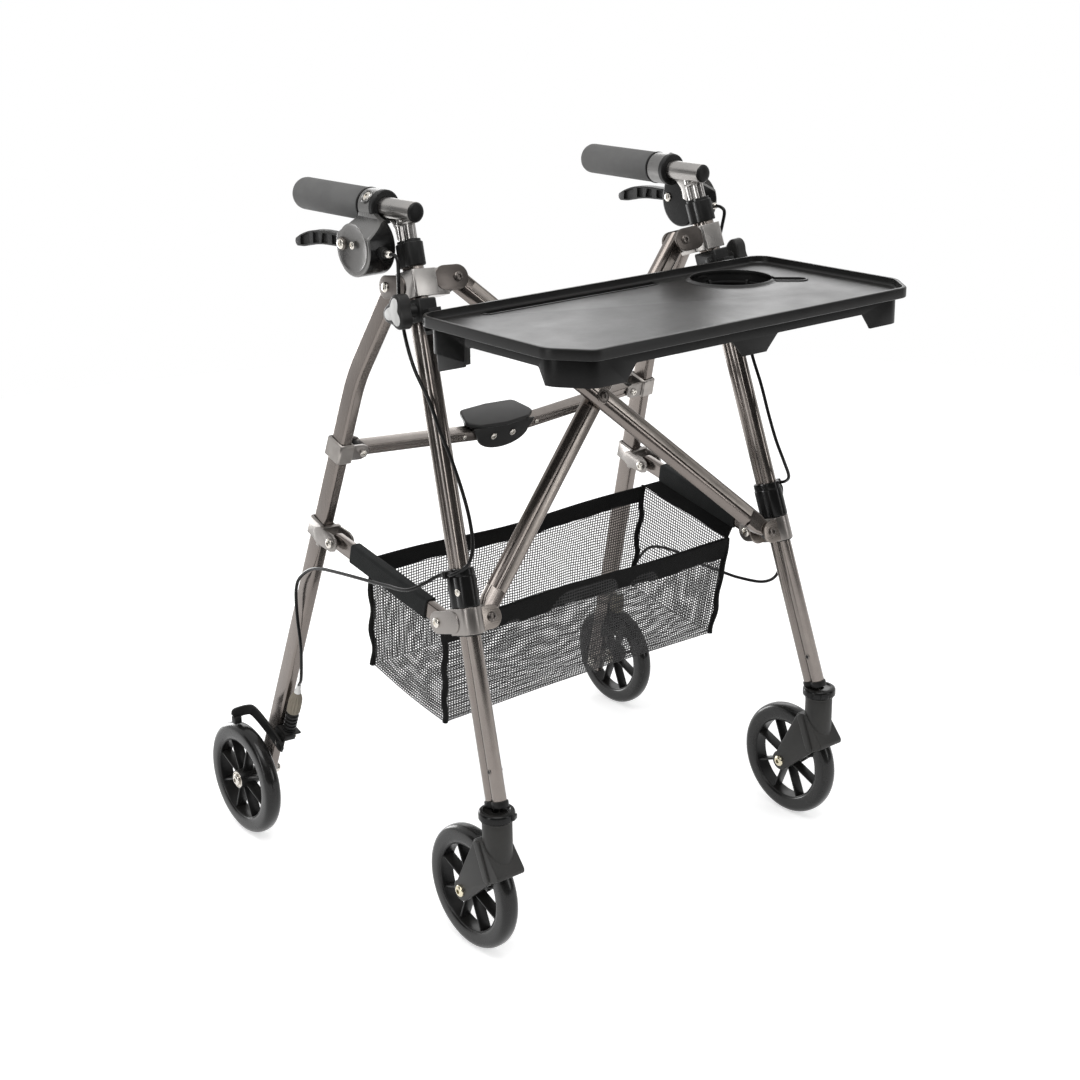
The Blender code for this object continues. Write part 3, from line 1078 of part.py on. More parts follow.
def make_crossbar():
    """Two bars that hinge on the rear legs and lap inside the hub."""
    half_d, half_h = BAR_DEPTH / 2, BAR_HEIGHT / 2
    inner_layer = (0.0005, half_d + 0.0002)
    for side, name in ((-1, "crossbar_right"), (1, "crossbar_left")):
        outer_end = Vector((side * (HUB_PIVOT_X + BAR_SPAN_NOW), BAR_SAG))
        hub_end = Vector((side * HUB_PIVOT_X, 0))
        run = (outer_end - hub_end).normalized()
        root = hub_end + run * TONGUE_LENGTH
        stem = stadium(root + run * half_h, outer_end, half_h)
        tongue = stadium(hub_end, root + run * 0.012, half_h - 0.0004)
        layer = (-inner_layer[1], -inner_layer[0]) if side < 0 else inner_layer
        shapes = [face_plate(stem, -half_d, half_d, 0.0012), face_plate(tongue, *layer)]
        holes = [rod((outer_end.x, -0.03, outer_end.y), (outer_end.x, 0.03, outer_end.y), HOLE_RADIUS, 10)]
        if side < 0:
            holes.append(rod((hub_end.x, -0.03, 0), (hub_end.x, 0.03, 0), HOLE_RADIUS, 10))
        origin = (outer_end.x, 0, outer_end.y)
        place(name, combined(shapes, holes), GRAPHITE, CROSS, origin)


def make_hub():
    """Pull-up cover over the crossbar's joint, with a stub pin for the right bar."""
    top = rounded([(-HUB_TOP_HALF, -0.002), (-0.036, -HUB_TOP_FRONT + 0.002), (0, -HUB_TOP_FRONT - 0.002),
                   (0.036, -HUB_TOP_FRONT + 0.002), (HUB_TOP_HALF, -0.002), (0.040, HUB_TOP_BACK - 0.003),
                   (0, HUB_TOP_BACK), (-0.040, HUB_TOP_BACK - 0.003)], 0.006, 3)
    lid = plate([top], HUB_TOP_HEIGHT - HUB_TOP_THICKNESS, HUB_TOP_HEIGHT, 0.0012)
    base = HUB_TOP_HEIGHT - HUB_TOP_THICKNESS + 0.001
    cheek = [(-HUB_CHEEK_HALF, base), (-HUB_CHEEK_HALF + 0.004, 0.006)]
    for i in range(7):
        angle = pi + pi * i / 6
        cheek.append((0.036 * cos(angle), 0.002 + (HUB_CHEEK_DROP + 0.002) * sin(angle)))
    cheek += [(HUB_CHEEK_HALF - 0.004, 0.006), (HUB_CHEEK_HALF, base)]
    front = face_plate(cheek, -HUB_CHEEK_OUTER, -HUB_CHEEK_INNER)
    back = face_plate(cheek, HUB_CHEEK_INNER, HUB_CHEEK_OUTER)
    stub = rod((-HUB_PIVOT_X, -HUB_CHEEK_INNER - 0.001, 0), (-HUB_PIVOT_X, -0.0006, 0), PIN_RADIUS, 12)
    heads = [rod((x, -HUB_CHEEK_OUTER - 0.0014, 0), (x, -HUB_CHEEK_OUTER + 0.001, 0), 0.0042, 12)
             for x in (-HUB_PIVOT_X, HUB_PIVOT_X)]
    mesh = combined([lid, front, back, stub] + heads)
    place("crossbar_hub", mesh, CHARCOAL, CROSS, (-HUB_PIVOT_X, 0, 0))


def tray_outline(inset):
    """Plan of the tray: cut front corners and round rear corners, drawn inwards by inset."""
    side, front, back = TRAY_HALF - inset, TRAY_FRONT + inset, TRAY_BACK - inset
    cut_x = TRAY_CHAMFER_X - inset * 0.45
    cut_y = TRAY_CHAMFER_Y - inset * 0.55
    radius = max(TRAY_CORNER_RADIUS - inset, 0.006)
    corners = [(-side, front + cut_y), (-side + cut_x, front), (side - cut_x, front), (side, front + cut_y)]
    left = arc((side - radius, back - radius), radius, 0, 90, 5)
    right = arc((-side + radius, back - radius), radius, 90, 180, 5)
    return rounded_front(corners) + left + right


def rounded_front(corners):
    """Ease the four corners of the tray's front."""
    eased = []
    for i, here in enumerate(corners):
        corner = Vector(here)
        before = Vector(corners[i - 1]) if i else corner + Vector((0, 0.05))
        after = Vector(corners[i + 1]) if i < len(corners) - 1 else corner + Vector((0, 0.05))
        start = corner + (before - corner).normalized() * 0.009
        end = corner + (after - corner).normalized() * 0.009
        eased += [tuple(start), tuple((start + 2 * corner + end) / 4), tuple(end)]
    return eased


def make_tray():
    """Tray with a raised lip, a skirt, a cup well, a book slot and a flange that hooks on the clamps."""
    surface = TRAY_TOP_Z - TRAY_LIP_HEIGHT
    under = surface - TRAY_PLATE
    sheet = plate([tray_outline(0.0)], under, surface)
    lip = plate([tray_outline(0.0), tray_outline(TRAY_LIP)], under + BITE, TRAY_TOP_Z)
    skirt = plate([tray_outline(SKIRT_INSET), tray_outline(SKIRT_INSET + SKIRT_WALL)],
                  SKIRT_DEEP_Z, under + 0.001)
    edge = TRAY_HALF - SKIRT_INSET
    windows = []
    skirt_end = SKIRT_DEEP_Z - 0.004
    for sign in (-1, 1):
        side_window = [(TRAY_FRONT + 0.075, skirt_end), (TRAY_FRONT + 0.060, SKIRT_SHALLOW_Z),
                       (TRAY_BACK - 0.076, SKIRT_SHALLOW_Z), (TRAY_BACK - 0.072, skirt_end)]
        near, far = sorted((sign * (edge - 0.02), sign * (edge + 0.03)))
        windows.append(side_plate(side_window, near, far))
        inner, outer = sign * 0.026, sign * (TRAY_HALF - 0.089)
        front_window = [(inner - sign * 0.014, skirt_end), (inner + sign * 0.006, SKIRT_SHALLOW_Z),
                        (outer, SKIRT_SHALLOW_Z), (outer + sign * 0.016, skirt_end)]
        windows.append(face_plate(front_window, TRAY_FRONT - 0.01, TRAY_FRONT + 0.030))
    rear_half = TRAY_HALF - 0.049
    windows.append(box((-rear_half, TRAY_BACK - 0.030, SKIRT_DEEP_Z - 0.01),
                       (rear_half, TRAY_BACK + 0.01, SKIRT_SHALLOW_Z)))
    cup = turned([(0, surface + 0.0014), (CUP_RADIUS + CUP_RING, surface + 0.0014),
                  (CUP_RADIUS + CUP_RING, under + 0.0005), (CUP_RADIUS + CUP_WALL, under + 0.0005),
                  (CUP_FLOOR_RADIUS + CUP_WALL, surface - CUP_DEPTH), (0, surface - CUP_DEPTH)], CUP_SIDES)
    cup_floor = surface - CUP_DEPTH + CUP_WALL
    cup_space = turned([(0, surface + 0.01), (CUP_RADIUS, surface + 0.01), (CUP_RADIUS, surface),
                        (CUP_FLOOR_RADIUS, cup_floor), (0, cup_floor)], CUP_SIDES)
    at_cup = Matrix.Translation((CUP_X, CUP_Y, 0))
    cup.transform(at_cup)
    cup_space.transform(at_cup)
    mug_slot = moved(box((CUP_RADIUS - 0.006, -MUG_SLOT_WIDTH / 2, under - 0.030),
                         (MUG_SLOT_REACH, MUG_SLOT_WIDTH / 2, surface + 0.01)),
                     at_cup @ Matrix.Rotation(radians(-45), 4, "Z"))
    trough = box((SLOT_X_FROM - 0.003, SLOT_Y - SLOT_WIDTH / 2 - 0.0025, surface - SLOT_DEPTH - 0.002),
                 (SLOT_X_TO + 0.003, SLOT_Y + SLOT_WIDTH / 2 + 0.0025, under + 0.001))
    slot_space = box((SLOT_X_FROM, SLOT_Y - SLOT_WIDTH / 2, surface - SLOT_DEPTH),
                     (SLOT_X_TO, SLOT_Y + SLOT_WIDTH / 2, surface + 0.01))
    flange = box((-FLANGE_HALF, -FLANGE_FRONT, FLANGE_TOP - FLANGE_DROP),
                 (FLANGE_HALF, -FLANGE_BACK, FLANGE_TOP))
    flange = moved(flange, RAKED)
    shelf_back = (RAKED @ Vector((0, -FLANGE_BACK, FLANGE_TOP))).y
    shelf = box((-FLANGE_HALF, TRAY_BACK - 0.013, under - SHELF_THICKNESS),
                (FLANGE_HALF, shelf_back - 0.0010, under + BITE))
    blocks = []
    for sign in (-1, 1):
        low, high = sorted((sign * (edge - 0.0026), sign * edge))
        cheek = [(TRAY_BACK - 0.021, under + BITE), (TRAY_BACK - 0.025, CORNER_BLOCK_Z),
                 (TRAY_BACK - 0.071, CORNER_BLOCK_Z + 0.013), (TRAY_BACK - 0.074, under + BITE)]
        blocks.append(side_plate(cheek, low, high))
        low, high = sorted((sign * (edge - 0.040), sign * (edge - 0.0006)))
        blocks.append(box((low, TRAY_BACK - 0.0275, CORNER_BLOCK_Z + 0.002),
                          (high, TRAY_BACK - 0.0245, under + BITE)))
    mesh = combined([sheet, lip, combined([skirt], windows), cup, trough, flange, shelf] + blocks,
                    [cup_space, mug_slot, slot_space])
    place("tray", mesh, CHARCOAL)


def block(corners):
    """A solid with eight given corners: X low then high, within that Y, within that Z."""
    shape = bmesh.new()
    bmesh.ops.create_cube(shape, size=2)
    for vert in shape.verts:
        index = 4 * (vert.co.x > 0) + 2 * (vert.co.y > 0) + (vert.co.z > 0)
        vert.co = corners[index]
    mesh = bpy.data.meshes.new("block")
    shape.to_mesh(mesh)
    shape.free()
    return mesh


def hopper(grow, rise):
    """The basket's space, grown outwards, with its top raised."""
    corners = []
    for side in (-1, 1):
        for (x, y, z), lift in ((BASKET_LOW_FRONT, -grow), (BASKET_TOP_FRONT, rise),
                                (BASKET_LOW_BACK, -grow), (BASKET_TOP_BACK, rise)):
            out = grow if y > 0 else -grow
            corners.append((side * (x + grow), y + out, z + lift))
    return block(corners)


def make_basket():
    """Open basket that hangs between two sleeves on the side links."""
    sleeves = []
    for mirror in (Matrix.Identity(4), MIRROR):
        sleeve = moved(moved(link_sleeve(), LINK_FRAME), mirror)
        drop = LINK_WIDTH / 2 + GAP + SLEEVE_WALL - 0.0003
        corners = []
        for x_step in (-BASKET_WALL / 2, BASKET_WALL / 2):
            for along, corner in ((SLEEVE_START + 0.001, BASKET_TOP_FRONT),
                                  (LINK_RUN.length - SLEEVE_END - 0.001, BASKET_TOP_BACK)):
                corners.append(Vector((-corner[0] + x_step, corner[1], corner[2] - 0.004)))
                corners.append(LINK_FRAME @ Vector((0.0035 + x_step, along, -drop)))
        flap = moved(block(corners), mirror)
        sleeves += [tidy_mesh(sleeve), tidy_mesh(flap)]
    place("basket", combined([combined([hopper(0, 0)], [hopper(-BASKET_WALL, 0.02)])] + sleeves), FABRIC)


make_front_leg()
make_top_bracket()
make_leg_collars()
make_tray_clamp()
make_knob()
make_height_button()
make_handle_post()
make_grip()
make_brake_housing()
make_brake_lever()
make_cables()
make_brace()
make_slider()
make_side_link()
make_rear_leg()
make_rear_leg_clamps()
make_wheels("front", FRONT_WHEEL_X, FRONT_WHEEL_Y)
make_wheels("rear", REAR_WHEEL_X, REAR_WHEEL_Y)
make_caster_fork()
make_rear_brake()
make_crossbar()
make_hub()
make_tray()
make_basket()
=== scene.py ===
from math import asin, atan, atan2, cos, degrees, pi, radians, sin, sqrt

import bpy
from mathutils import Matrix, Vector


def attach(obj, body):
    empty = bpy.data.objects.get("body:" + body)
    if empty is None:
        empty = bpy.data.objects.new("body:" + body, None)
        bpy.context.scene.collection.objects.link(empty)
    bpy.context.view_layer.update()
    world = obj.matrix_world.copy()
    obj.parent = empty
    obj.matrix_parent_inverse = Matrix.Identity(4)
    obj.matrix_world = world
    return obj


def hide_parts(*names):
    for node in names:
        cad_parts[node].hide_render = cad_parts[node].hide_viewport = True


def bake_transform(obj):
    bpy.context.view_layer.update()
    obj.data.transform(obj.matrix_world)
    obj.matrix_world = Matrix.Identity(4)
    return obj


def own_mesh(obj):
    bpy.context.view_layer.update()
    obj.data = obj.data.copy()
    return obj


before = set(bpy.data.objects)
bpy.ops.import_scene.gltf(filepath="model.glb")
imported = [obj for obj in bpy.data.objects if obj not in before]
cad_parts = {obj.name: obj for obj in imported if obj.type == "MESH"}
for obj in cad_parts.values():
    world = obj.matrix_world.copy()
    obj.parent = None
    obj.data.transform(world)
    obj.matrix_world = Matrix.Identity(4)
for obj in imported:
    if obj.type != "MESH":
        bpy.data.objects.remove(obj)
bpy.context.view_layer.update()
print("stage: frame loaded")


# where the tubes run, in metres, the same places as on the solid parts
layout = {
    "legTop": (0.2091, -0.0149, 0.748), "rake": 0.3085, "lean": 0.0627,
    "braceTop": (0.1644, 0.7529), "braceLow": (0.2116, 0.3927),
    "rearPivot": (0.0, 0.0382, 0.0040), "linkPivot": (0.0, 0.0417, -0.3592),
    "linkEnd": (-0.0116, 0.2200, -0.2628),
    "rearLean": 0.0962, "rearBend": (0.0720, 0.6395), "rearSlope": 0.3290,
    "crossbarClampZ": 0.513, "barPivotIn": 0.0236, "barSag": 0.0186, "brakeDown": 0.399,
    "handle": (-0.2063, 0.794), "toe": 1.46,
    "frontWheel": (-0.2494, -0.1465, 0.0715), "rearWheel": (-0.3047, 0.2555, 0.0715),
    "stemY": -0.1925, "stemTop": 0.1725,
}


def axesAt(xAxis, yAxis, zAxis, spot):
    return Matrix([[xAxis[i], yAxis[i], zAxis[i], spot[i]] for i in range(3)] + [[0, 0, 0, 1]])


def shift(x, y, z):
    return Matrix.Translation((x, y, z))


rake = atan(layout["rake"])
raked = axesAt((1, 0, 0), (0, cos(rake), -sin(rake)), (0, sin(rake), cos(rake)),
               (0, layout["legTop"][1] - layout["rake"] * layout["legTop"][2], 0))
topX, topZ = layout["braceTop"]
lowX, lowZ = layout["braceLow"]
legX = layout["legTop"][0] + layout["lean"] * (layout["legTop"][2] / cos(rake) - topZ)
leg = raked @ shift(-legX, 0, topZ) @ Matrix.Rotation(atan(layout["lean"]), 4, "Y")
legBack = leg.inverted()
braceTopR, braceTopL = Vector((-topX, 0, topZ)), Vector((topX, 0, topZ))
braceLowR, braceLowL = Vector((-lowX, 0, lowZ)), Vector((lowX, 0, lowZ))
braceMiddle = braceTopR.lerp(braceLowL, topX / (topX + lowX))
topPivot = legBack @ raked @ braceTopR
lowPivot = legBack @ raked @ braceLowR
rearPivot, linkPivot, linkEnd = [Vector(layout[key]) for key in ("rearPivot", "linkPivot", "linkEnd")]
rearPivotWorld = leg @ rearPivot
rear = Matrix.Translation(rearPivotWorld) @ Matrix.Rotation(atan(layout["rearLean"]), 4, "Y")


def rearLegAt(z):
    x = rearPivotWorld.x - layout["rearLean"] * (rearPivotWorld.z - z)
    return Vector((x, layout["rearBend"][0] + layout["rearSlope"] * (layout["rearBend"][1] - z), z))


clampSpot = rearLegAt(layout["crossbarClampZ"])
lowUp = (clampSpot - rearLegAt(layout["crossbarClampZ"] - 0.1)).normalized()
rearNormal = Vector((0, 1, layout["rearSlope"])).normalized()
low = axesAt(rearNormal.cross(lowUp), rearNormal, lowUp, clampSpot)
barPivot = low @ Vector((layout["barPivotIn"], 0, 0))
crossUp = Vector((1, 0, 0)).cross(rearNormal)
hubSpot = barPivot - layout["barSag"] * crossUp
hubSpot.x = 0
cross = axesAt((1, 0, 0), rearNormal, crossUp, hubSpot)
handle = shift(layout["handle"][0], 0, layout["handle"][1]) @ Matrix.Rotation(radians(layout["toe"]), 4, "Z")
brake = low @ shift(0, 0, -layout["brakeDown"])
linkRun = linkEnd - linkPivot
linkAxis = linkRun.normalized()
linkSide = (Vector((1, 0, 0)) - linkAxis * linkAxis.x).normalized()
link = leg @ axesAt(linkSide, linkAxis, linkSide.cross(linkAxis), linkPivot)

# a drawn outline's x, y and depth are laid along Y, Z, X by the first and along X, Z, -Y by the second
sideOn = Matrix(((0, 0, 1, 0), (1, 0, 0, 0), (0, 1, 0, 0), (0, 0, 0, 1)))
faceOn = Matrix(((1, 0, 0, 0), (0, 0, -1, 0), (0, 1, 0, 0), (0, 0, 0, 1)))
# a turned shape's Z is laid along X or Y, and a screw's head looks to one side
alongX = Matrix.Rotation(pi / 2, 4, "Y")
alongY = Matrix.Rotation(-pi / 2, 4, "X")
towardFront = Matrix.Rotation(pi / 2, 4, "X")
towardBack = Matrix.Rotation(-pi / 2, 4, "X")
towardOut = Matrix.Rotation(-pi / 2, 4, "Y")
towardIn = Matrix.Rotation(pi / 2, 4, "Y")
toLeft = Matrix.Diagonal((-1, 1, 1, 1))
noMove = Matrix.Identity(4)


# modelling steps, the way they are done by hand
def pickNone():
    if bpy.context.object and bpy.context.object.mode != "OBJECT":
        bpy.ops.object.mode_set(mode="OBJECT")
    bpy.ops.object.select_all(action="DESELECT")


def pick(piece):
    pickNone()
    piece.select_set(True)
    bpy.context.view_layer.objects.active = piece


def edit():
    bpy.ops.object.mode_set(mode="EDIT")


def editAll():
    edit()
    bpy.ops.mesh.select_all(action="SELECT")


def leaveEdit():
    bpy.ops.object.mode_set(mode="OBJECT")


def drawLoop(name, spots):
    pickNone()
    bpy.ops.mesh.primitive_circle_add(vertices=len(spots), radius=0.01)
    piece = bpy.context.object
    piece.name = name
    for vert, spot in zip(piece.data.vertices, spots):
        vert.co = Vector(spot)
    return piece


def applied(piece, kind, **settings):
    pick(piece)
    step = piece.modifiers.new(kind.lower(), kind)
    for name, value in settings.items():
        setattr(step, name, value)
    bpy.ops.object.modifier_apply(modifier=step.name)
    return piece


def roundEdges(piece, width, segments=3, angle=40):
    return applied(piece, "BEVEL", width=width, segments=segments, limit_method="ANGLE",
                   angle_limit=radians(angle))


def extrudeOutline(name, outline, start, end, edge=0.0, segments=3, angle=40):
    piece = drawLoop(name, [(x, y, start) for x, y in outline])
    editAll()
    bpy.ops.mesh.edge_face_add()
    bpy.ops.mesh.extrude_region_move(TRANSFORM_OT_translate={"value": (0, 0, end - start)})
    bpy.ops.mesh.select_all(action="SELECT")
    bpy.ops.mesh.normals_make_consistent(inside=False)
    leaveEdit()
    return roundEdges(piece, edge, segments, angle) if edge else piece


def spinProfile(name, profile, steps=40, closed=False):
    # an open profile starts and ends on the axis, so the edge that closes the drawn loop is taken out
    piece = drawLoop(name, [(radius, 0, height) for radius, height in profile])
    edit()
    bpy.ops.mesh.select_all(action="DESELECT")
    if not closed:
        bpy.ops.mesh.select_mode(type="EDGE")
        leaveEdit()
        for edge in piece.data.edges:
            edge.select = set(edge.vertices) == {0, len(profile) - 1}
        edit()
        bpy.ops.mesh.delete(type="EDGE")
        bpy.ops.mesh.select_mode(type="VERT")
    bpy.ops.mesh.select_all(action="SELECT")
    bpy.ops.mesh.spin(steps=steps, angle=2 * pi, center=(0, 0, 0), axis=(0, 0, 1))
    bpy.ops.mesh.select_all(action="SELECT")
    bpy.ops.mesh.remove_doubles(threshold=0.00001)
    bpy.ops.mesh.normals_make_consistent(inside=False)
    leaveEdit()
    return piece


def cubeBetween(name, corner, opposite, edge=0.0, segments=2):
    pickNone()
    middle = [(a + b) / 2 for a, b in zip(corner, opposite)]
    bpy.ops.mesh.primitive_cube_add(size=1, location=middle)
    piece = bpy.context.object
    piece.name = name
    piece.scale = [abs(b - a) for a, b in zip(corner, opposite)]
    bpy.ops.object.transform_apply(location=True, rotation=True, scale=True)
    return roundEdges(piece, edge, segments) if edge else piece


def rodBetween(name, start, end, radius, sides=32, edge=0.0):
    start, end = Vector(start), Vector(end)
    pickNone()
    bpy.ops.mesh.primitive_cylinder_add(vertices=sides, radius=radius, depth=(end - start).length)
    piece = bpy.context.object
    piece.name = name
    if edge:
        roundEdges(piece, edge, 2, 60)
    return put(piece, Matrix.Translation((start + end) / 2) @ turnTo(end - start))


def turnTo(heading):
    return Vector((0, 0, 1)).rotation_difference(Vector(heading)).to_matrix().to_4x4()


def put(piece, place):
    pick(piece)
    piece.matrix_world = place @ piece.matrix_world
    bpy.ops.object.transform_apply(location=True, rotation=True, scale=True)
    if place.determinant() < 0:
        piece.data.flip_normals()
    return piece


def joined(name, *pieces):
    pickNone()
    for piece in pieces:
        piece.select_set(True)
    bpy.context.view_layer.objects.active = pieces[0]
    if len(pieces) > 1:
        bpy.ops.object.join()
    pieces[0].name = name
    return pieces[0]


def merged(base, *others, cut=False):
    for other in others:
        applied(base, "BOOLEAN", object=other, operation="DIFFERENCE" if cut else "UNION", solver="EXACT")
        bpy.data.objects.remove(other)
    return base


def cutAway(base, *others):
    return merged(base, *others, cut=True)


def copied(piece, name):
    twin = piece.copy()
    twin.data = piece.data.copy()
    twin.name = name
    bpy.context.scene.collection.objects.link(twin)
    return twin


def keepDrawn(piece, along="Z"):
    # the drawn shape's own coordinates carry the grain, with its length on Z
    turn = {"X": (2, 1, 0), "Y": (0, 2, 1), "Z": (0, 1, 2)}[along]
    grain = piece.data.attributes.get("drawn") or piece.data.attributes.new("drawn", "FLOAT_VECTOR", "POINT")
    for value, vert in zip(grain.data, piece.data.vertices):
        value.vector = [vert.co[i] for i in turn]
    return piece


def smoothed(piece, angle=38):
    pick(piece)
    bpy.ops.object.shade_smooth_by_angle(angle=radians(angle))
    return piece


def finished(piece, look, angle=38):
    smoothed(piece, angle)
    piece.data.materials.clear()
    piece.data.materials.append(looks[look][0])
    return piece


def dressed(piece, look, body, nodes=(), place=noMove, along="Z", angle=38):
    keepDrawn(piece, along)
    put(piece, place)
    finished(piece, look, angle)
    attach(piece, body)
    if nodes:
        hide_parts(*nodes)
    return piece


def dressedPair(piece, look, body, nodes=(), place=noMove, along="Z", angle=38):
    # body and nodes are named without their side: the piece is made on the right and mirrored to the left
    base = piece.name
    piece.name = base + "_right"
    twin = copied(piece, base + "_left")
    dressed(piece, look, body + "_right", [node + "_right" for node in nodes], place, along, angle)
    dressed(twin, look, body + "_left", [node + "_left" for node in nodes], place, along, angle)
    twin.parent = None
    twin.data.transform(toLeft)
    twin.data.flip_normals()
    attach(twin, body + "_left")
    return piece, twin


def fromNode(name, node, place=noMove, edge=0.0006):
    piece = bpy.data.objects.new(name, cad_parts[node].data.copy())
    bpy.context.scene.collection.objects.link(piece)
    pick(piece)
    editAll()
    bpy.ops.mesh.remove_doubles(threshold=0.00001)
    bpy.ops.mesh.dissolve_limited(angle_limit=radians(1))
    leaveEdit()
    put(piece, place.inverted())
    return roundEdges(piece, edge, 2, 50) if edge else piece


# drawn outlines
def arc(middle, radius, start, end, count=9):
    turns = [radians(start + (end - start) * i / (count - 1)) for i in range(count)]
    return [(middle[0] + radius * cos(a), middle[1] + radius * sin(a)) for a in turns]


lobes = {"radius": 0.0080, "half": 0.0065, "neck": 0.0055}


def twoLobes(grow=0.0, count=15):
    # the legs' section: two round lobes one behind the other, with a neck between them
    radius, half = lobes["radius"] + grow, lobes["half"]
    neck = max(lobes["neck"] + grow, sqrt(max(radius ** 2 - half ** 2, 0)) + 0.0002)
    opening = 90 - degrees(asin(neck / radius))
    return (arc((0, half), radius, -opening, 180 + opening, count)
            + arc((0, -half), radius, 180 - opening, 360 + opening, count))


def roundBar(start, end, radius, count=13):
    heading = degrees(atan2(end[1] - start[1], end[0] - start[0]))
    return (arc(end, radius, heading - 90, heading + 90, count)
            + arc(start, radius, heading + 90, heading + 270, count))


def bent(start, corner, end, t):
    return (1 - t) ** 2 * start + 2 * t * (1 - t) * corner + t * t * end


def softened(points, radius, count=5):
    outline = []
    for i, here in enumerate(points):
        corner = Vector(here)
        before = Vector(points[i - 1]) - corner
        after = Vector(points[(i + 1) % len(points)]) - corner
        half = before.angle(after) / 2
        reach = min(radius / max(sin(half), 0.01) * cos(half), before.length * 0.49, after.length * 0.49)
        start, end = corner + before.normalized() * reach, corner + after.normalized() * reach
        outline += [tuple(bent(start, corner, end, step / (count - 1))) for step in range(count)]
    return outline


def screwHead(name, radius, height, socket, dome=0.6):
    # a button head with its hex socket, standing on z = 0
    rim = height * (1 - dome)
    profile = [(0, height)] + [(radius * sin(radians(a)), rim + (height - rim) * cos(radians(a)))
                               for a in (25, 45, 65, 80, 90)]
    profile += [(radius, 0.0), (0, 0.0)]
    head = spinProfile(name, profile, 24)
    pickNone()
    bpy.ops.mesh.primitive_cylinder_add(vertices=6, radius=socket, depth=height, location=(0, 0, height))
    return cutAway(head, bpy.context.object)


print("stage: modelling steps ready")


# shader nodes and groups that several finishes share
def makeGroup(name, inputs, outputs):
    # an input without a value is a vector and one with four values a colour, the others are numbers
    tree = bpy.data.node_groups.new(name, "ShaderNodeTree")
    for label, value in inputs.items():
        kind = "Vector" if value is None else "Color" if isinstance(value, tuple) else "Float"
        socket = tree.interface.new_socket(label, in_out="INPUT", socket_type="NodeSocket" + kind)
        if value is not None:
            socket.default_value = value
    for label in outputs:
        kind = "Color" if label == "Colour" else "Float"
        tree.interface.new_socket(label, in_out="OUTPUT", socket_type="NodeSocket" + kind)
    start, end = tree.nodes.new("NodeGroupInput"), tree.nodes.new("NodeGroupOutput")
    return tree, start.outputs, end


def setInputs(tree, node, values):
    for socket, value in values.items():
        if isinstance(value, bpy.types.NodeSocket):
            tree.links.new(value, node.inputs[socket])
        else:
            node.inputs[socket].default_value = value


def addNode(tree, kind, values=None, **settings):
    node = tree.nodes.new(kind)
    for name, value in settings.items():
        setattr(node, name, value)
    setInputs(tree, node, values or {})
    return node


def addMath(tree, operation, first, second=None):
    values = {0: first} if second is None else {0: first, 1: second}
    return addNode(tree, "ShaderNodeMath", values, operation=operation).outputs["Value"]


def addRange(tree, value, fromLow=0.0, fromHigh=1.0, toLow=0.0, toHigh=1.0):
    values = {"Value": value, "From Min": fromLow, "From Max": fromHigh, "To Min": toLow, "To Max": toHigh}
    return addNode(tree, "ShaderNodeMapRange", values).outputs["Result"]


def addNoise(tree, spot, scale, detail, roughness=0.5):
    return addNode(tree, "ShaderNodeTexNoise", {"Vector": spot, "Scale": scale, "Detail": detail,
                                                "Roughness": roughness}).outputs


def addBlend(tree, share, first, second):
    return addNode(tree, "ShaderNodeMix", {"Factor": share, 6: first, 7: second},
                   data_type="RGBA").outputs[2]


def addBump(tree, height, strength, distance):
    return addNode(tree, "ShaderNodeBump", {"Height": height, "Strength": strength,
                                            "Distance": distance}).outputs["Normal"]


def buildToneDrift():
    # slow changes of tone over a surface, from handling and from the mould
    tree, start, end = makeGroup("toneDrift", {"Vector": None, "Size": 12.0, "Base": (0.1, 0.1, 0.1, 1),
                                               "Other": (0.15, 0.15, 0.15, 1), "Rough Low": 0.3,
                                               "Rough High": 0.5}, ("Colour", "Roughness"))
    cloud = addNoise(tree, start["Vector"], start["Size"], 5.0, 0.6)["Fac"]
    tone = addBlend(tree, addRange(tree, cloud, 0.3, 0.7), start["Base"], start["Other"])
    rough = addRange(tree, cloud, 0.3, 0.7, start["Rough Low"], start["Rough High"])
    setInputs(tree, end, {"Colour": tone, "Roughness": rough})
    return tree


def buildFineGrain():
    # the pebbled skin of moulded plastic, foam or powder paint
    tree, start, end = makeGroup("fineGrain", {"Vector": None, "Size": 1500.0, "Cells": 0.5}, ("Height",))
    pebble = addNode(tree, "ShaderNodeTexVoronoi", {"Vector": start["Vector"], "Scale": start["Size"]},
                     feature="SMOOTH_F1")
    dots = addNoise(tree, start["Vector"], start["Size"], 2.0)["Fac"]
    height = addNode(tree, "ShaderNodeMix", {"Factor": start["Cells"], 2: dots,
                                             3: pebble.outputs["Distance"]}, data_type="FLOAT")
    setInputs(tree, end, {"Height": height.outputs[0]})
    return tree


def buildDrawnLines():
    # fine lines along a drawn tube: stretched noise, long on Z
    tree, start, end = makeGroup("drawnLines", {"Vector": None, "Across": 900.0, "Along": 9.0}, ("Lines",))
    factors = addNode(tree, "ShaderNodeCombineXYZ", {"X": start["Across"], "Y": start["Across"],
                                                     "Z": start["Along"]})
    stretched = addNode(tree, "ShaderNodeVectorMath", {0: start["Vector"], 1: factors.outputs["Vector"]},
                        operation="MULTIPLY")
    setInputs(tree, end, {"Lines": addNoise(tree, stretched.outputs["Vector"], 1.0, 3.0)["Fac"]})
    return tree


def blendBroken(tree, start, end, mask, size, detail, other):
    # lays another colour on where the mask shows it, broken up by a cloud
    cloud = addNoise(tree, start["Vector"], size, detail)["Fac"]
    share = addMath(tree, "MULTIPLY", addMath(tree, "MULTIPLY", mask, cloud), start["Amount"])
    setInputs(tree, end, {"Colour": addBlend(tree, share, start["Colour"], start[other])})
    return tree


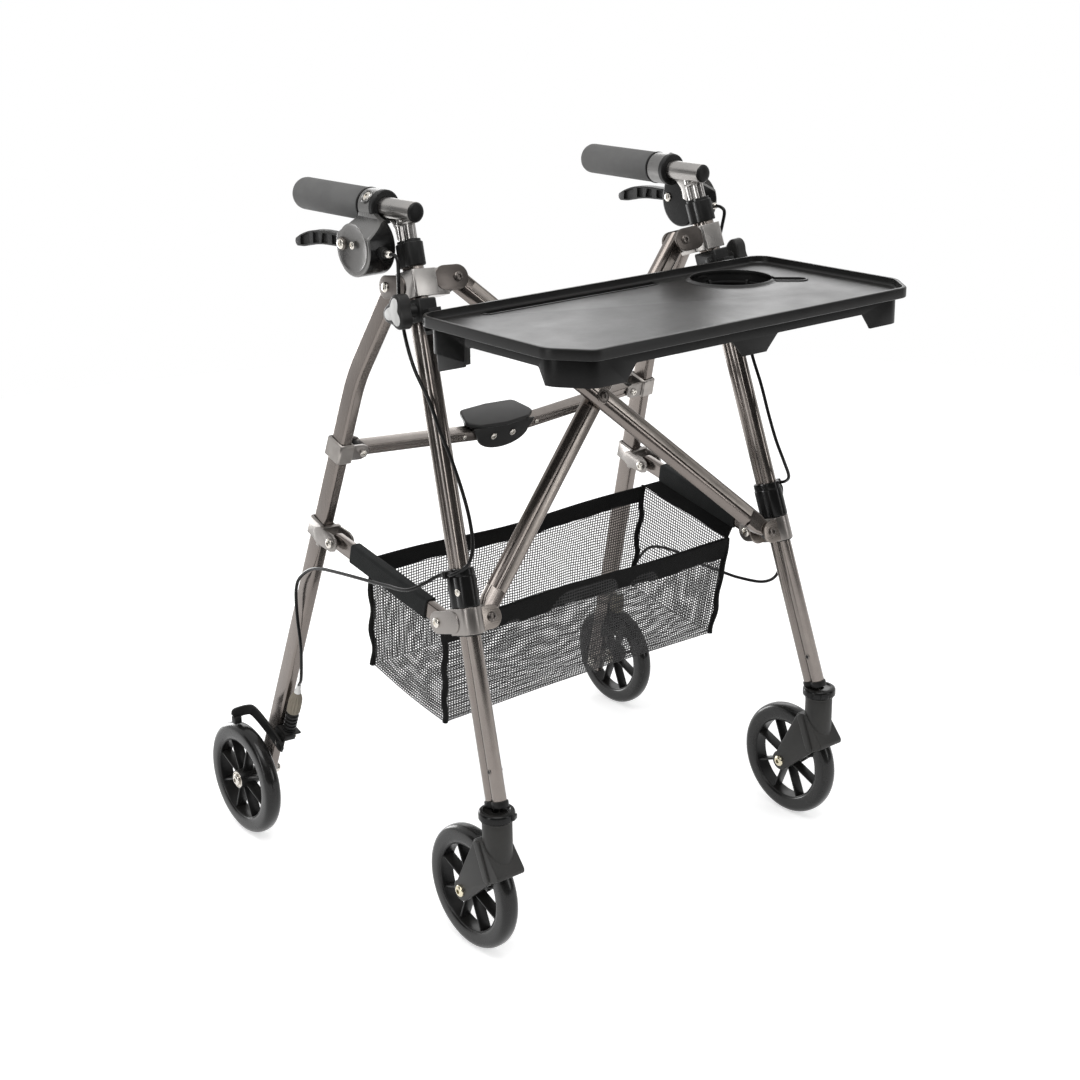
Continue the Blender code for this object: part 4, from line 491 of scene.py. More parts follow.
def buildTopDust():
    # a trace of dust where a surface faces up
    tree, start, end = makeGroup("topDust", {"Vector": None, "Colour": (0.1, 0.1, 0.1, 1),
                                             "Dust": (0.35, 0.33, 0.30, 1), "Amount": 0.06}, ("Colour",))
    facing = addNode(tree, "ShaderNodeNewGeometry")
    parts = addNode(tree, "ShaderNodeSeparateXYZ", {"Vector": facing.outputs["Normal"]})
    return blendBroken(tree, start, end, addRange(tree, parts.outputs["Z"], 0.5, 1.0), 60.0, 6.0, "Dust")


def buildEdgeRub():
    # where corners are rubbed paler
    tree, start, end = makeGroup("edgeRub", {"Vector": None, "Colour": (0.1, 0.1, 0.1, 1),
                                             "Rubbed": (0.4, 0.4, 0.4, 1), "Amount": 0.5}, ("Colour",))
    sharp = addNode(tree, "ShaderNodeNewGeometry").outputs["Pointiness"]
    return blendBroken(tree, start, end, addRange(tree, sharp, 0.53, 0.62), 90.0, 5.0, "Rubbed")


groups = {"toneDrift": buildToneDrift(), "fineGrain": buildFineGrain(), "drawnLines": buildDrawnLines(),
          "topDust": buildTopDust(), "edgeRub": buildEdgeRub()}


def useGroup(tree, name, values):
    return addNode(tree, "ShaderNodeGroup", values, node_tree=groups[name]).outputs


def startMaterial(name, base, other, rough, metallic, size, start=None):
    # base and other are a finish's two tones, rough its two roughnesses, size that of the tone's clouds
    material = bpy.data.materials.new(name)
    material.use_nodes = True
    material.diffuse_color = (*base, 1)
    tree = material.node_tree
    shader = tree.nodes["Principled BSDF"]
    setInputs(tree, shader, {"Metallic": metallic, "Roughness": start or rough[0]})
    spot = addNode(tree, "ShaderNodeAttribute", attribute_name="drawn").outputs["Vector"]
    tone = useGroup(tree, "toneDrift", {"Vector": spot, "Size": size, "Base": (*base, 1),
                                        "Other": (*other, 1), "Rough Low": rough[0],
                                        "Rough High": rough[1]})
    return material, tree, shader, spot, tone


def makeMetal(name, base, other, rough, lineDepth=0.02, metallic=0.9, rub=0.35):
    # drawn or painted metal
    material, tree, shader, spot, tone = startMaterial(name, base, other, rough, metallic, 14.0)
    edge = useGroup(tree, "edgeRub", {"Vector": spot, "Colour": tone["Colour"],
                                      "Rubbed": (0.62, 0.58, 0.54, 1), "Amount": rub})
    lines = useGroup(tree, "drawnLines", {"Vector": spot, "Across": 1100.0, "Along": 7.0})["Lines"]
    lift = addRange(tree, lines, 0.3, 0.7, -0.05, 0.05)
    setInputs(tree, shader, {"Base Color": edge["Colour"],
                             "Roughness": addMath(tree, "ADD", tone["Roughness"], lift),
                             "Normal": addBump(tree, lines, 0.25, lineDepth * 0.001)})
    return material


def makeMoulded(name, base, other, rough, grain=1500.0, depth=0.05, cells=0.5, dust=0.05, rub=0.2, coat=0.0,
                specular=0.2):
    # moulded plastic, rubber or foam with a pebbled skin
    material, tree, shader, spot, tone = startMaterial(name, base, other, rough, 0.0, 22.0)
    paler = tuple(min(1.0, c * 2.2 + 0.03) for c in other)
    edge = useGroup(tree, "edgeRub", {"Vector": spot, "Colour": tone["Colour"], "Rubbed": (*paler, 1),
                                      "Amount": rub})
    top = useGroup(tree, "topDust", {"Vector": spot, "Colour": edge["Colour"], "Amount": dust})
    skin = useGroup(tree, "fineGrain", {"Vector": spot, "Size": grain, "Cells": cells})
    setInputs(tree, shader, {"Base Color": top["Colour"], "Roughness": tone["Roughness"],
                             "Normal": addBump(tree, skin["Height"], 0.6, depth * 0.001),
                             "Coat Weight": coat, "Coat Roughness": 0.12, "Specular IOR Level": specular})
    return material


def makeTape(name, base, pitch=0.0011):
    # woven binding tape: two crossed waves on the piece's own coordinates
    other = tuple(c * 1.7 + 0.004 for c in base)
    material, tree, shader, spot, tone = startMaterial(name, base, other, (0.75, 0.95), 0.0, 40.0, 0.85)
    parts = addNode(tree, "ShaderNodeSeparateXYZ", {"Vector": spot}).outputs
    waves = [addMath(tree, "SINE", addMath(tree, "MULTIPLY", parts[way], 2 * pi / pitch)) for way in "XY"]
    setInputs(tree, shader, {"Base Color": tone["Colour"], "Roughness": tone["Roughness"],
                             "Normal": addBump(tree, addMath(tree, "MULTIPLY", *waves), 0.8, 0.0003),
                             "Sheen Weight": 0.02, "Specular IOR Level": 0.14})
    return material


def makeNet(name, base, pitch=0.0037, thread=0.33):
    # open net: threads both ways, with the holes cut by alpha
    other = tuple(c * 2 for c in base)
    material, tree, shader, spot, tone = startMaterial(name, base, other, (0.5, 0.8), 0.0, 30.0, 0.6)
    moved = addNode(tree, "ShaderNodeVectorMath", {0: addNoise(tree, spot, 45.0, 2.0)["Color"],
                                                   "Scale": 0.0016}, operation="SCALE")
    place = addNode(tree, "ShaderNodeVectorMath", {0: spot, 1: moved.outputs["Vector"]}, operation="ADD")
    parts = addNode(tree, "ShaderNodeSeparateXYZ", {"Vector": place.outputs["Vector"]}).outputs
    threads = []
    for way in "XY":
        share = addMath(tree, "FRACT", addMath(tree, "MULTIPLY", parts[way], 1 / pitch))
        off = addMath(tree, "ABSOLUTE", addMath(tree, "SUBTRACT", share, 0.5))
        threads.append(addRange(tree, off, thread / 2, thread / 2 + 0.05, 1.0, 0.0))
    solid = addMath(tree, "MAXIMUM", *threads)
    setInputs(tree, shader, {"Base Color": tone["Colour"], "Roughness": tone["Roughness"], "Alpha": solid,
                             "Normal": addBump(tree, solid, 0.6, 0.0004)})
    return material


looks = {     # finish name: material, and the record's slot that it stands for
    "graphite": (makeMetal("graphitePaint", (0.174, 0.154, 0.142), (0.203, 0.178, 0.162), (0.16, 0.26)),
                 "graphite_metal"),
    "graphiteDark": (makeMetal("graphiteDark", (0.105, 0.093, 0.086), (0.13, 0.115, 0.105), (0.26, 0.38)),
                     "graphite_metal"),
    "bare": (makeMetal("bareAluminium", (0.40, 0.385, 0.37), (0.46, 0.44, 0.42), (0.24, 0.36), 0.04, 1.0,
                       0.15), "bare_bracket"),
    "chrome": (makeMetal("darkChrome", (0.34, 0.33, 0.32), (0.40, 0.385, 0.37), (0.25, 0.36), 0.004, 1.0,
                         0.05), "dark_chrome"),
    # a paler copy of the graphite paint: painted sheen for flat faces that look to the light
    "litGraphite": (makeMetal("litGraphiteFace", (0.265, 0.236, 0.213), (0.300, 0.266, 0.240), (0.26, 0.36)),
              "graphite_metal"),
    "bracket": (makeMetal("greyBracket", (0.235, 0.220, 0.208), (0.270, 0.250, 0.235), (0.26, 0.38)),
                "graphite_metal"),
    "brass": (makeMetal("yellowZinc", (0.62, 0.57, 0.42), (0.70, 0.64, 0.48), (0.2, 0.3), 0.01, 1.0),
              "steel"),
    "steel": (makeMetal("boltSteel", (0.60, 0.57, 0.52), (0.68, 0.65, 0.60), (0.18, 0.3), 0.01, 1.0),
              "steel"),
    "charcoal": (makeMoulded("charcoalPlastic", (0.017, 0.017, 0.017), (0.023, 0.0225, 0.022), (0.36, 0.48)),
                 "charcoal_plastic"),
    "tray": (makeMoulded("trayPlastic", (0.0065, 0.0064, 0.0062), (0.0095, 0.0093, 0.0090), (0.31, 0.39),
                         1300.0, dust=0.02, specular=0.26), "charcoal_plastic"),
    "housing": (makeMetal("brakeHousing", (0.150, 0.148, 0.145), (0.185, 0.182, 0.178), (0.27, 0.35), 0.0,
                          0.75, 0.05), "charcoal_plastic"),
    # a darker copy of the tray plastic: painted shade for the skirt and the blocks under the tray
    "shadedSkirt": (makeMoulded("shadedTraySkirt", (0.0035, 0.0034, 0.0034), (0.0055, 0.0054, 0.0053), (0.34, 0.42),
                          1300.0, dust=0.0, specular=0.17), "charcoal_plastic"),
    "trayInner": (makeMoulded("trayInner", (0.006, 0.006, 0.006), (0.009, 0.009, 0.0088), (0.36, 0.46),
                              1300.0, 0.06, dust=0.0), "charcoal_plastic"),
    "black": (makeMoulded("blackPlastic", (0.0075, 0.0075, 0.0075), (0.0110, 0.0110, 0.0108), (0.38, 0.5)),
              "black_plastic"),
    "gloss": (makeMoulded("glossyBlack", (0.0055, 0.0055, 0.0055), (0.0085, 0.0085, 0.0085), (0.16, 0.26),
                          700.0, 0.01), "black_plastic"),
    "fork": (makeMoulded("forkPlastic", (0.031, 0.031, 0.030), (0.039, 0.038, 0.036), (0.36, 0.46), 1200.0,
                         0.03), "charcoal_plastic"),
    "rim": (makeMoulded("rimBlack", (0.0070, 0.0070, 0.0070), (0.0105, 0.0105, 0.0105), (0.28, 0.40), 1200.0,
                        0.02), "black_plastic"),
    "tyre": (makeMoulded("tyreBlack", (0.0085, 0.0085, 0.0083), (0.0130, 0.0130, 0.0126), (0.2, 0.32), 500.0,
                         0.02, dust=0.02, coat=0.25), "tyre_black"),
    "foam": (makeMoulded("foamGrip", (0.120, 0.120, 0.119), (0.160, 0.160, 0.158), (0.8, 0.95), 1100.0, 0.22,
                         0.9, rub=0.1, specular=0.25), "foam_grey"),
    "insert": (makeMoulded("paleInsert", (0.55, 0.55, 0.54), (0.62, 0.62, 0.61), (0.4, 0.5)),
               "charcoal_plastic"),
    "boot": (makeMoulded("rubberBoot", (0.205, 0.182, 0.145), (0.26, 0.232, 0.187), (0.5, 0.65)),
             "black_plastic"),
    "whiteCap": (makeMoulded("whiteCap", (0.75, 0.75, 0.73), (0.8, 0.8, 0.78), (0.35, 0.5)),
                 "black_plastic"),
    "tape": (makeTape("bindingTape", (0.0040, 0.0040, 0.0040)), "mesh_fabric"),
    "sleeve": (makeTape("linkSleeve", (0.016, 0.017, 0.017), 0.0009), "mesh_fabric"),
    "net": (makeNet("basketNet", (0.0085, 0.0085, 0.0085)), "mesh_fabric"),
}
print("stage: finishes ready")


# screws that several pieces share, each copied where it sits
screwHeads = {"pivot": screwHead("pivotHead", 0.0056, 0.0026, 0.0026),
              "small": screwHead("smallHead", 0.0042, 0.0018, 0.0021),
              "rivet": screwHead("rivetHead", 0.0027, 0.0012, 0.0010),
              "axle": screwHead("axleHead", 0.0068, 0.0040, 0.0030)}


def screwPair(name, size, body, place, look="steel"):
    return dressedPair(copied(screwHeads[size], name), look, body, (), place)


def screwAt(name, size, body, place, look="steel"):
    return dressed(copied(screwHeads[size], name), look, body, (), place)


def makeEars(outline, ears, edge, look, body, place, along):
    for name, start, end in ears:
        dressedPair(extrudeOutline(name, outline, start, end, edge, 3), look, body, (), place, along)


# front legs with their brackets and collars
legShape = {"below": 0.560, "above": 0.040, "holeY": -0.0065, "holeZ": -0.522, "holeRadius": 0.0023}


def makeFrontLeg():
    tube = extrudeOutline("frontLeg", twoLobes(), -legShape["below"], legShape["above"], 0.0004, 2)
    dressedPair(tube, "graphite", "frame", ["front_leg"], leg)
    for label, face, turn in (("Outer", -1, towardOut), ("Inner", 1, towardIn)):
        y, z = legShape["holeY"], legShape["holeZ"]
        # a flush glossy black disc stands for each hole: painted shade in place of an opening
        hole = rodBetween("legHole" + label, (face * 0.005, y, z), (face * 0.00808, y, z),
                          legShape["holeRadius"], 20)
        dressedPair(hole, "gloss", "frame", (), leg)
        washer = spinProfile("legHoleEdge" + label, [(0.0022, 0.0), (0.0022, 0.0004), (0.0030, 0.0004),
                                                     (0.0034, 0.0)], 24, closed=True)
        dressedPair(washer, "graphiteDark", "frame", (), leg @ shift(face * 0.0078, y, z) @ turn)


bracket = {"half": 0.0145, "earInner": 0.0106, "earOuter": 0.0131, "earRadius": 0.0135, "rearRadius": 0.0125,
           "depth": 0.0180, "flat": 0.0172, "flatY": -0.0160}


def makeTopBracket():
    blockEnd = topPivot.x - bracket["earRadius"] + 0.0012
    side, deep = bracket["earOuter"], bracket["depth"]
    outline = arc((-0.0092, -0.0135), 0.0025, 180, 270, 8) + [
        (blockEnd - bracket["flat"], bracket["flatY"]), (blockEnd - 0.0160, -side - 0.0008),
        (blockEnd - 0.0148, -side), (blockEnd - 0.0012, -side), (blockEnd, -side + 0.0012),
        (blockEnd, side - 0.0012), (blockEnd - 0.0012, side), (side, side), (side, deep - 0.001),
        (side - 0.001, deep), (-0.0107, deep), (-0.0117, deep - 0.001)]
    block = extrudeOutline("bracketBlock", outline, -bracket["half"], bracket["half"], 0.0009, 3)
    dressedPair(block, "bare", "frame", ["top_bracket"], leg, "Y")
    ear = roundBar((blockEnd - 0.004, topPivot.z), (topPivot.x, topPivot.z), bracket["earRadius"], 17)
    makeEars(ear, (("braceEarFront", side + 0.0004, bracket["earInner"]),
                   ("braceEarBack", -bracket["earInner"], -side - 0.0004)), 0.0006, "graphiteDark", "frame",
             leg @ faceOn, "X")
    ear = roundBar((0.0140, 0), (rearPivot.y, rearPivot.z), bracket["rearRadius"], 17)
    makeEars(ear, (("legEarOuter", -side, -bracket["earInner"]), ("legEarInner", bracket["earInner"], side)),
             0.0006, "graphiteDark", "frame", leg @ sideOn, "Y")
    for name, y, turn in (("braceScrewFront", -side - 0.0004, towardFront),
                          ("braceScrewBack", side + 0.0004, towardBack)):
        screwPair(name, "pivot", "frame", leg @ shift(topPivot.x, y, topPivot.z) @ turn, "graphiteDark")
    screwPair("legScrewOuter", "pivot", "frame", leg @ shift(-side, rearPivot.y, rearPivot.z) @ towardOut)
    screwPair("legScrewInner", "pivot", "frame", leg @ shift(side, rearPivot.y, rearPivot.z) @ towardIn)


collar = {"wall": 0.0030, "topLow": 0.0185, "topHeight": 0.028, "middleUp": 0.0148, "middleHeight": 0.034,
          "clipHeight": 0.008, "clipOut": 0.0185, "lugRadius": 0.0046, "ringHeight": 0.0105}


def makeCollars():
    low = collar["topLow"]
    sleeve = extrudeOutline("collarTop", twoLobes(collar["wall"]), low, low + collar["topHeight"] - 0.003,
                            0.0012, 4)
    lip = extrudeOutline("collarTopLip", twoLobes(0.0012), low + 0.010, low + collar["topHeight"], 0.0008, 3)
    dressedPair(joined("collarTop", sleeve, lip), "black", "frame", ["collar_top"], leg)
    start = lowPivot.z + collar["middleUp"]
    middleTop = start + collar["middleHeight"]
    sleeve = extrudeOutline("collarMiddle", twoLobes(collar["wall"] + 0.0012), start, middleTop, 0.0014, 4)
    clip = extrudeOutline("collarClip", twoLobes(collar["wall"] + 0.0004), middleTop - 0.001,
                          middleTop + collar["clipHeight"], 0.0012, 3)
    lugLow = middleTop - 0.0005
    lug = extrudeOutline("collarLug", roundBar((-0.008, 0), (-collar["clipOut"], 0), collar["lugRadius"], 11),
                         lugLow, lugLow + collar["clipHeight"], 0.0010, 3)
    dressedPair(joined("collarMiddle", sleeve, clip, lug), "gloss", "frame", ["collar_middle"], leg)
    screwPair("collarRivet", "small", "frame", leg @ shift(-0.0118, -0.0065, start + 0.017) @ towardOut)
    top = collar["ringHeight"]
    ring = spinProfile("footRing", [(0.006, 0.0), (0.0188, 0.0), (0.0200, 0.0012), (0.0200, top - 0.0032),
                                    (0.0192, top - 0.0012), (0.0176, top - 0.0002), (0.0150, top),
                                    (0.0138, top - 0.0014), (0.0120, top - 0.0018), (0.006, top - 0.0018)],
                       56, closed=True)
    tab = cubeBetween("footTab", (-0.0045, -0.0222, 0.0018), (0.0045, -0.0180, top - 0.0028), 0.0010, 3)
    ringSpot = shift(layout["frontWheel"][0], layout["stemY"], layout["stemTop"] + 0.0003)
    dressedPair(joined("footRing", ring, put(tab, Matrix.Rotation(radians(28), 4, "Z"))), "gloss", "frame",
                ["collar_foot"], ringSpot)
    foot = extrudeOutline("footSleeve", twoLobes(0.0014), -legShape["below"] - 0.002,
                          -legShape["below"] + 0.005, 0.0008, 3)
    dressedPair(foot, "black", "frame", (), leg)


knob = {"down": 0.0286, "ahead": 0.0079, "from": 0.0235, "thick": 0.0150, "radius": 0.0168, "lobe": 0.0034,
        "faceRadius": 0.0122, "faceLobe": 0.0040, "points": 60}


def knobOutline(radius, lobe):
    turns = [2 * pi * i / knob["points"] for i in range(knob["points"])]
    reaches = [radius + lobe * cos(3 * turn) for turn in turns]
    return [(reach * cos(turn), reach * sin(turn)) for turn, reach in zip(turns, reaches)]


def makeKnob():
    outer = -knob["from"] - knob["thick"]
    head = extrudeOutline("knobHead", knobOutline(knob["radius"], knob["lobe"]), outer, -knob["from"], 0.0028,
                          5)
    neck = rodBetween("knobNeck", (0, 0, -0.0218), (0, 0, -knob["from"] - 0.002), 0.0062, 32, 0.0006)
    spot = leg @ shift(0, -knob["ahead"], -knob["down"])
    dressedPair(joined("knobHead", head, neck), "charcoal", "knob", ["knob"], spot @ sideOn)
    face = extrudeOutline("knobFace", knobOutline(knob["faceRadius"], knob["faceLobe"]), outer - 0.0004,
                          outer + 0.0012, 0.0004, 2)
    dressedPair(face, "insert", "knob", (), spot @ sideOn)


def makeTrayClamp():
    clamp = fromNode("trayClamp", "tray_clamp_right", leg, 0.0009)
    dressedPair(clamp, "black", "frame", ["tray_clamp"], leg)


post = {"down": 0.200, "wallGap": -0.0020, "buttonDown": 0.052, "buttonOut": 0.0145, "step": 0.0254,
        "steps": 6, "holeRadius": 0.0036}
handleTube = {"radius": 0.0110, "bore": 0.0113, "front": -0.0215, "back": 0.1860, "webHalf": 0.0028}


def makeHandlePost():
    top = (legBack @ Vector((layout["handle"][0], 0, layout["handle"][1]))).z
    rod = extrudeOutline("handlePost", twoLobes(post["wallGap"], 19), -post["down"], top - 0.002, 0.0003, 1)
    heights = [-post["buttonDown"] - i * post["step"] for i in range(post["steps"])]
    holes = [rodBetween("postHole", (0, 0.008, z), (0, 0.020, z), post["holeRadius"], 24) for z in heights]
    dressedPair(cutAway(rod, *holes), "chrome", "handle", ["handle_post"], leg)
    tube = rodBetween("handleTube", (0, handleTube["front"], 0), (0, handleTube["back"], 0),
                      handleTube["radius"], 56, 0.0006)
    dressedPair(tube, "chrome", "handle", (), handle, "Y")
    cap = spinProfile("tubeCap", [(0, 0.0030), (0.0048, 0.0028), (0.0082, 0.0021), (0.0100, 0.0010),
                                  (0.0104, 0.0), (0.0100, -0.002), (0, -0.002)], 48)
    dressedPair(cap, "black", "handle", (), handle @ shift(0, handleTube["front"], 0) @ towardFront)
    web = ([(0.0020, -0.0085), (0.0330, -0.0085)] + arc((0.0330, -0.0330), 0.0225, 90, 178)
           + [(0.0020, -0.0345)])
    plate = extrudeOutline("handleWeb", web, -handleTube["webHalf"], handleTube["webHalf"], 0.0008, 3)
    dressedPair(plate, "chrome", "handle", (), handle @ sideOn)
    weld = spinProfile("handleWeld", [(0.0085, 0.0), (0.0100, 0.0006), (0.0108, 0.0020), (0.0085, 0.0040)],
                       40, closed=True)
    dressedPair(weld, "chrome", "handle", (),
                leg @ shift(0, 0, top - 0.0160) @ Matrix.Diagonal((0.78, 1.42, 1.0, 1.0)))


def makeHeightButton():
    cap = spinProfile("heightButton", [(0, 0.0032), (0.0018, 0.0031), (0.0029, 0.0024), (0.0034, 0.0010),
                                       (0.0034, -0.0016), (0, -0.0016)], 28)
    dressedPair(cap, "steel", "height_button", ["height_button"],
                leg @ shift(0, post["buttonOut"], -post["buttonDown"]) @ towardBack)


grip = {"front": 0.0594, "back": 0.1930, "radius": 0.0180, "round": 0.0110, "hollowBack": 0.1866}


def makeGrip():
    radius, start, end, soft = grip["radius"], grip["front"], grip["back"], grip["round"]
    bore = handleTube["bore"]
    profile = [(bore, start + 0.0022), (radius - 0.0022, start + 0.0022), (radius - 0.0006, start + 0.0030),
               (radius, start + 0.0050), (radius, (start + end) / 2)]
    profile += [(radius - soft + soft * sin(radians(a)), end - soft + soft * cos(radians(a)))
                for a in (90, 75, 60, 45, 30, 15, 0)]
    profile += [(0, end), (0, grip["hollowBack"]), (bore, grip["hollowBack"])]
    foam = spinProfile("gripFoam", profile, 72, closed=True)
    dressedPair(foam, "foam", "handle", ["grip"], handle @ alongY)
    flange = spinProfile("gripFlange", [(bore, 0.0), (0.0182, 0.0), (0.0188, 0.0006), (0.0188, 0.0018),
                                        (0.0182, 0.0024), (bore, 0.0024)], 56, closed=True)
    dressedPair(flange, "black", "handle", (), handle @ shift(0, start - 0.0002, 0) @ alongY)


housing = {"out": 0.0452, "in": 0.0102, "y": 0.0322, "down": 0.0384, "radius": 0.0310, "clampFront": 0.0368,
           "clampBack": 0.0590, "clampRadius": 0.0180, "pivotY": 0.0517, "pivotDown": 0.0357,
           "leverOut": 0.0277, "slotHalf": 0.0074, "portOut": 0.0287, "portDown": 0.0416, "portTip": -0.0145,
           "dishRadius": 0.0252, "dishDepth": 0.0058, "dishY": -0.0015, "dishZ": 0.0005, "dishSteps": 8,
           "screwY": 0.0350, "screwDown": 0.0360, "bossTurn": -50,
           "neckSlope": [(-0.048, -0.0272), (-0.048, 0.006), (-0.0155, 0.006), (-0.0180, -0.0095),
                         (-0.0215, -0.0115)],
           "plateLine": [(-0.0428, -0.09), (-0.0428, -0.0275), (-0.0190, -0.0130), (-0.0120, -0.0110),
                         (-0.0090, 0.006)]}


def cutAcross(piece, name, outline):
    # cuts an outline of x and z right through, from the front to the back
    cutAway(piece, put(extrudeOutline(name, outline, -0.10, 0.02), faceOn))


def makeBrakeHousing():
    front, back, bore = housing["clampFront"], housing["clampBack"], handleTube["bore"]
    disc = arc((housing["y"], -housing["down"]), housing["radius"], 118, 378, 40)
    outline = disc + [(back - 0.001, -0.012), (back - 0.001, -0.002), (front + 0.001, -0.002)]
    shell = extrudeOutline("brakeShell", outline, -housing["out"], -housing["in"], 0.0026, 5, 25)
    put(shell, sideOn)
    cutAcross(shell, "neckSlope", housing["neckSlope"])
    roundEdges(shell, 0.0012, 3, 40)
    reach, depth = housing["dishRadius"], housing["dishDepth"]
    ball = (reach ** 2 + depth ** 2) / (2 * depth)
    widest = degrees(asin(min(reach * 1.15 / ball, 1)))

    def bowl(steps):
        turns = [radians(widest * i / steps) for i in range(steps + 1)]
        return [(ball * sin(turn), ball - depth - ball * cos(turn)) for turn in turns]

    inHandle = shift(-housing["out"], housing["y"] + housing["dishY"], -housing["down"] + housing["dishZ"])
    inHandle = inHandle @ towardOut
    lens = [(0, -depth)] + bowl(housing["dishSteps"])[1:] + [(0, 0.012)]
    dish = put(spinProfile("brakeDish", lens, 72), inHandle)
    slot = cubeBetween("leverSlot", (-housing["leverOut"] - housing["slotHalf"], housing["pivotY"] - 0.009,
                                     -housing["pivotDown"] - 0.0155),
                       (-housing["leverOut"] + housing["slotHalf"], 0.10, -housing["pivotDown"] + 0.0135))
    cutAway(shell, dish, slot)
    plate = copied(shell, "brakePlate")
    cutAcross(shell, "plateSide", housing["plateLine"] + [(-0.05, 0.006), (-0.05, -0.09)])
    cutAcross(plate, "bodySide", housing["plateLine"] + [(0.01, 0.006), (0.01, -0.09)])
    dressedPair(shell, "gloss", "handle", ["brake_housing"], handle, "Z", 30)
    dressedPair(plate, "housing", "handle", (), handle, "Z", 30)
    inside = bowl(housing["dishSteps"] + 1)[:-1]
    face = spinProfile("brakeDishFace", [(r, z + 0.00012) for r, z in inside]
                       + [(inside[-1][0], inside[-1][1] - 0.0005), (0, -depth - 0.0006)], 72)
    dressedPair(face, "housing", "handle", (), handle @ inHandle, "Z", 30)
    radius = housing["clampRadius"]
    ring = spinProfile("brakeRing", [(bore, front), (radius - 0.0012, front), (radius, front + 0.0012),
                                     (radius, back - 0.0012), (radius - 0.0012, back), (bore, back)],
                       72, closed=True)
    dressedPair(ring, "housing", "handle", (), handle @ alongY, "Z", 30)
    gasket = spinProfile("brakeGasket", [(bore, 0.0), (0.0172, 0.0), (0.0184, 0.0012), (0.0184, 0.0062),
                                         (bore, 0.0062)], 56, closed=True)
    dressedPair(gasket, "black", "handle", (), handle @ shift(0, front - 0.0058, 0) @ alongY)
    bossTurn = Matrix.Rotation(radians(housing["bossTurn"]), 4, "Y")
    tilted = handle @ shift(0, (front + back) / 2 - 0.002, 0) @ bossTurn
    boss = spinProfile("brakeBoss", [(0.0058, 0.0176), (0.0058, 0.0188), (0.0064, 0.0194), (0.0072, 0.0194),
                                     (0.0080, 0.0186), (0.0084, 0.0150), (0.0058, 0.0150)], 40, closed=True)
    dressedPair(boss, "housing", "handle", (), tilted)
    screwPair("clampScrew", "pivot", "handle", tilted @ shift(0, 0, 0.0172))
    washer = spinProfile("pivotWasher", [(0.0030, 0.0), (0.0030, 0.0010), (0.0064, 0.0010), (0.0070, 0.0004),
                                         (0.0070, -0.002), (0.0030, -0.002)], 40, closed=True)
    pivotSpot = handle @ shift(-housing["out"], housing["pivotY"], -housing["pivotDown"]) @ towardOut
    dressedPair(washer, "graphiteDark", "handle", (), pivotSpot)
    screwPair("leverScrewOuter", "pivot", "handle", pivotSpot @ shift(0, 0, 0.0008))
    screwPair("leverScrewInner", "pivot", "handle",
              handle @ shift(-housing["in"], housing["pivotY"], -housing["pivotDown"]) @ towardIn)
    screwPair("housingScrew", "small", "handle",
              handle @ shift(-housing["out"] + 0.0022, housing["screwY"], -housing["screwDown"]) @ towardOut)
    start = housing["y"] - housing["radius"] + 0.004
    profile = [(0.0, start), (0.0060, start)]
    for i in range(3):
        y = start - 0.0014 - i * 0.0028
        profile += [(0.0064, y), (0.0064, y - 0.0012), (0.0050, y - 0.0016), (0.0050, y - 0.0026)]
    profile += [(0.0044, profile[-1][1] - 0.0008), (0.0, profile[-1][1] - 0.0008)]
    place = handle @ shift(-housing["portOut"], 0, -housing["portDown"]) @ alongY
    dressedPair(spinProfile("cablePort", profile, 36), "black", "handle", (), place)
    tip = housing["portTip"]
    ferrule = [(0.0, tip), (0.0026, tip), (0.0030, tip + 0.0006), (0.0038, tip + 0.0022),
               (0.0038, tip + 0.0086), (0.0034, tip + 0.0092), (0.0, tip + 0.0092)]
    dressedPair(spinProfile("cableFerrule", ferrule, 36), "steel", "handle", (), place)


lever = {"top": [(0.012, 0.0062), (0.030, 0.0062), (0.056, 0.0060), (0.078, 0.0036), (0.096, -0.0020),
                 (0.107, -0.0075)],
         "under": [(0.104, -0.0160), (0.090, -0.0150), (0.078, -0.0122), (0.055, -0.0088), (0.030, -0.0076),
                   (0.010, -0.0072)],
         "half": 0.0070, "eye": 0.0072, "pocketDepth": 0.0026, "pocketEdge": 0.0020,
         "pockets": ((0.016, 0.036), (0.0385, 0.0555), (0.058, 0.0745), (0.077, 0.097))}


def smoothRun(points, count=6):
    run = []
    spots = [Vector(p) for p in points]
    padded = [2 * spots[0] - spots[1]] + spots + [2 * spots[-1] - spots[-2]]
    for i in range(1, len(padded) - 2):
        before, start, end, after = padded[i - 1:i + 3]
        for step in range(count):
            t = step / count
            run.append(0.5 * (2 * start + (end - before) * t
                              + (2 * before - 5 * start + 4 * end - after) * t * t
                              + (3 * start - before - 3 * end + after) * t ** 3))
    return run + [spots[-1]]


def makeBrakeLever():
    upper, under = smoothRun(lever["top"]), smoothRun(lever["under"])
    outline = arc((0, 0), lever["eye"], 90, 270, 15) + [tuple(p) for p in under[::-1]]
    outline += [(0.1072, -0.0140), (0.1082, -0.0108)] + [tuple(p) for p in upper[::-1]]
    out = housing["leverOut"]
    body = extrudeOutline("brakeLever", outline, -out - lever["half"], -out + lever["half"], 0.0012, 4, 50)
    cuts = []
    for start, end in lever["pockets"]:
        pocket = [(p.x, p.y - lever["pocketEdge"]) for p in upper if start < p.x < end]
        pocket += [(p.x, p.y + lever["pocketEdge"]) for p in under if start < p.x < end]
        for face in (-1, 1):
            outer = -out + face * (lever["half"] + 0.002)
            inner = -out + face * (lever["half"] - lever["pocketDepth"])
            cuts.append(extrudeOutline("leverPocket", pocket, min(outer, inner), max(outer, inner)))
    cutAway(body, *cuts)
    dressedPair(body, "charcoal", "lever", ["brake_lever"],
                handle @ shift(0, housing["pivotY"], -housing["pivotDown"]) @ sideOn, "Z", 30)


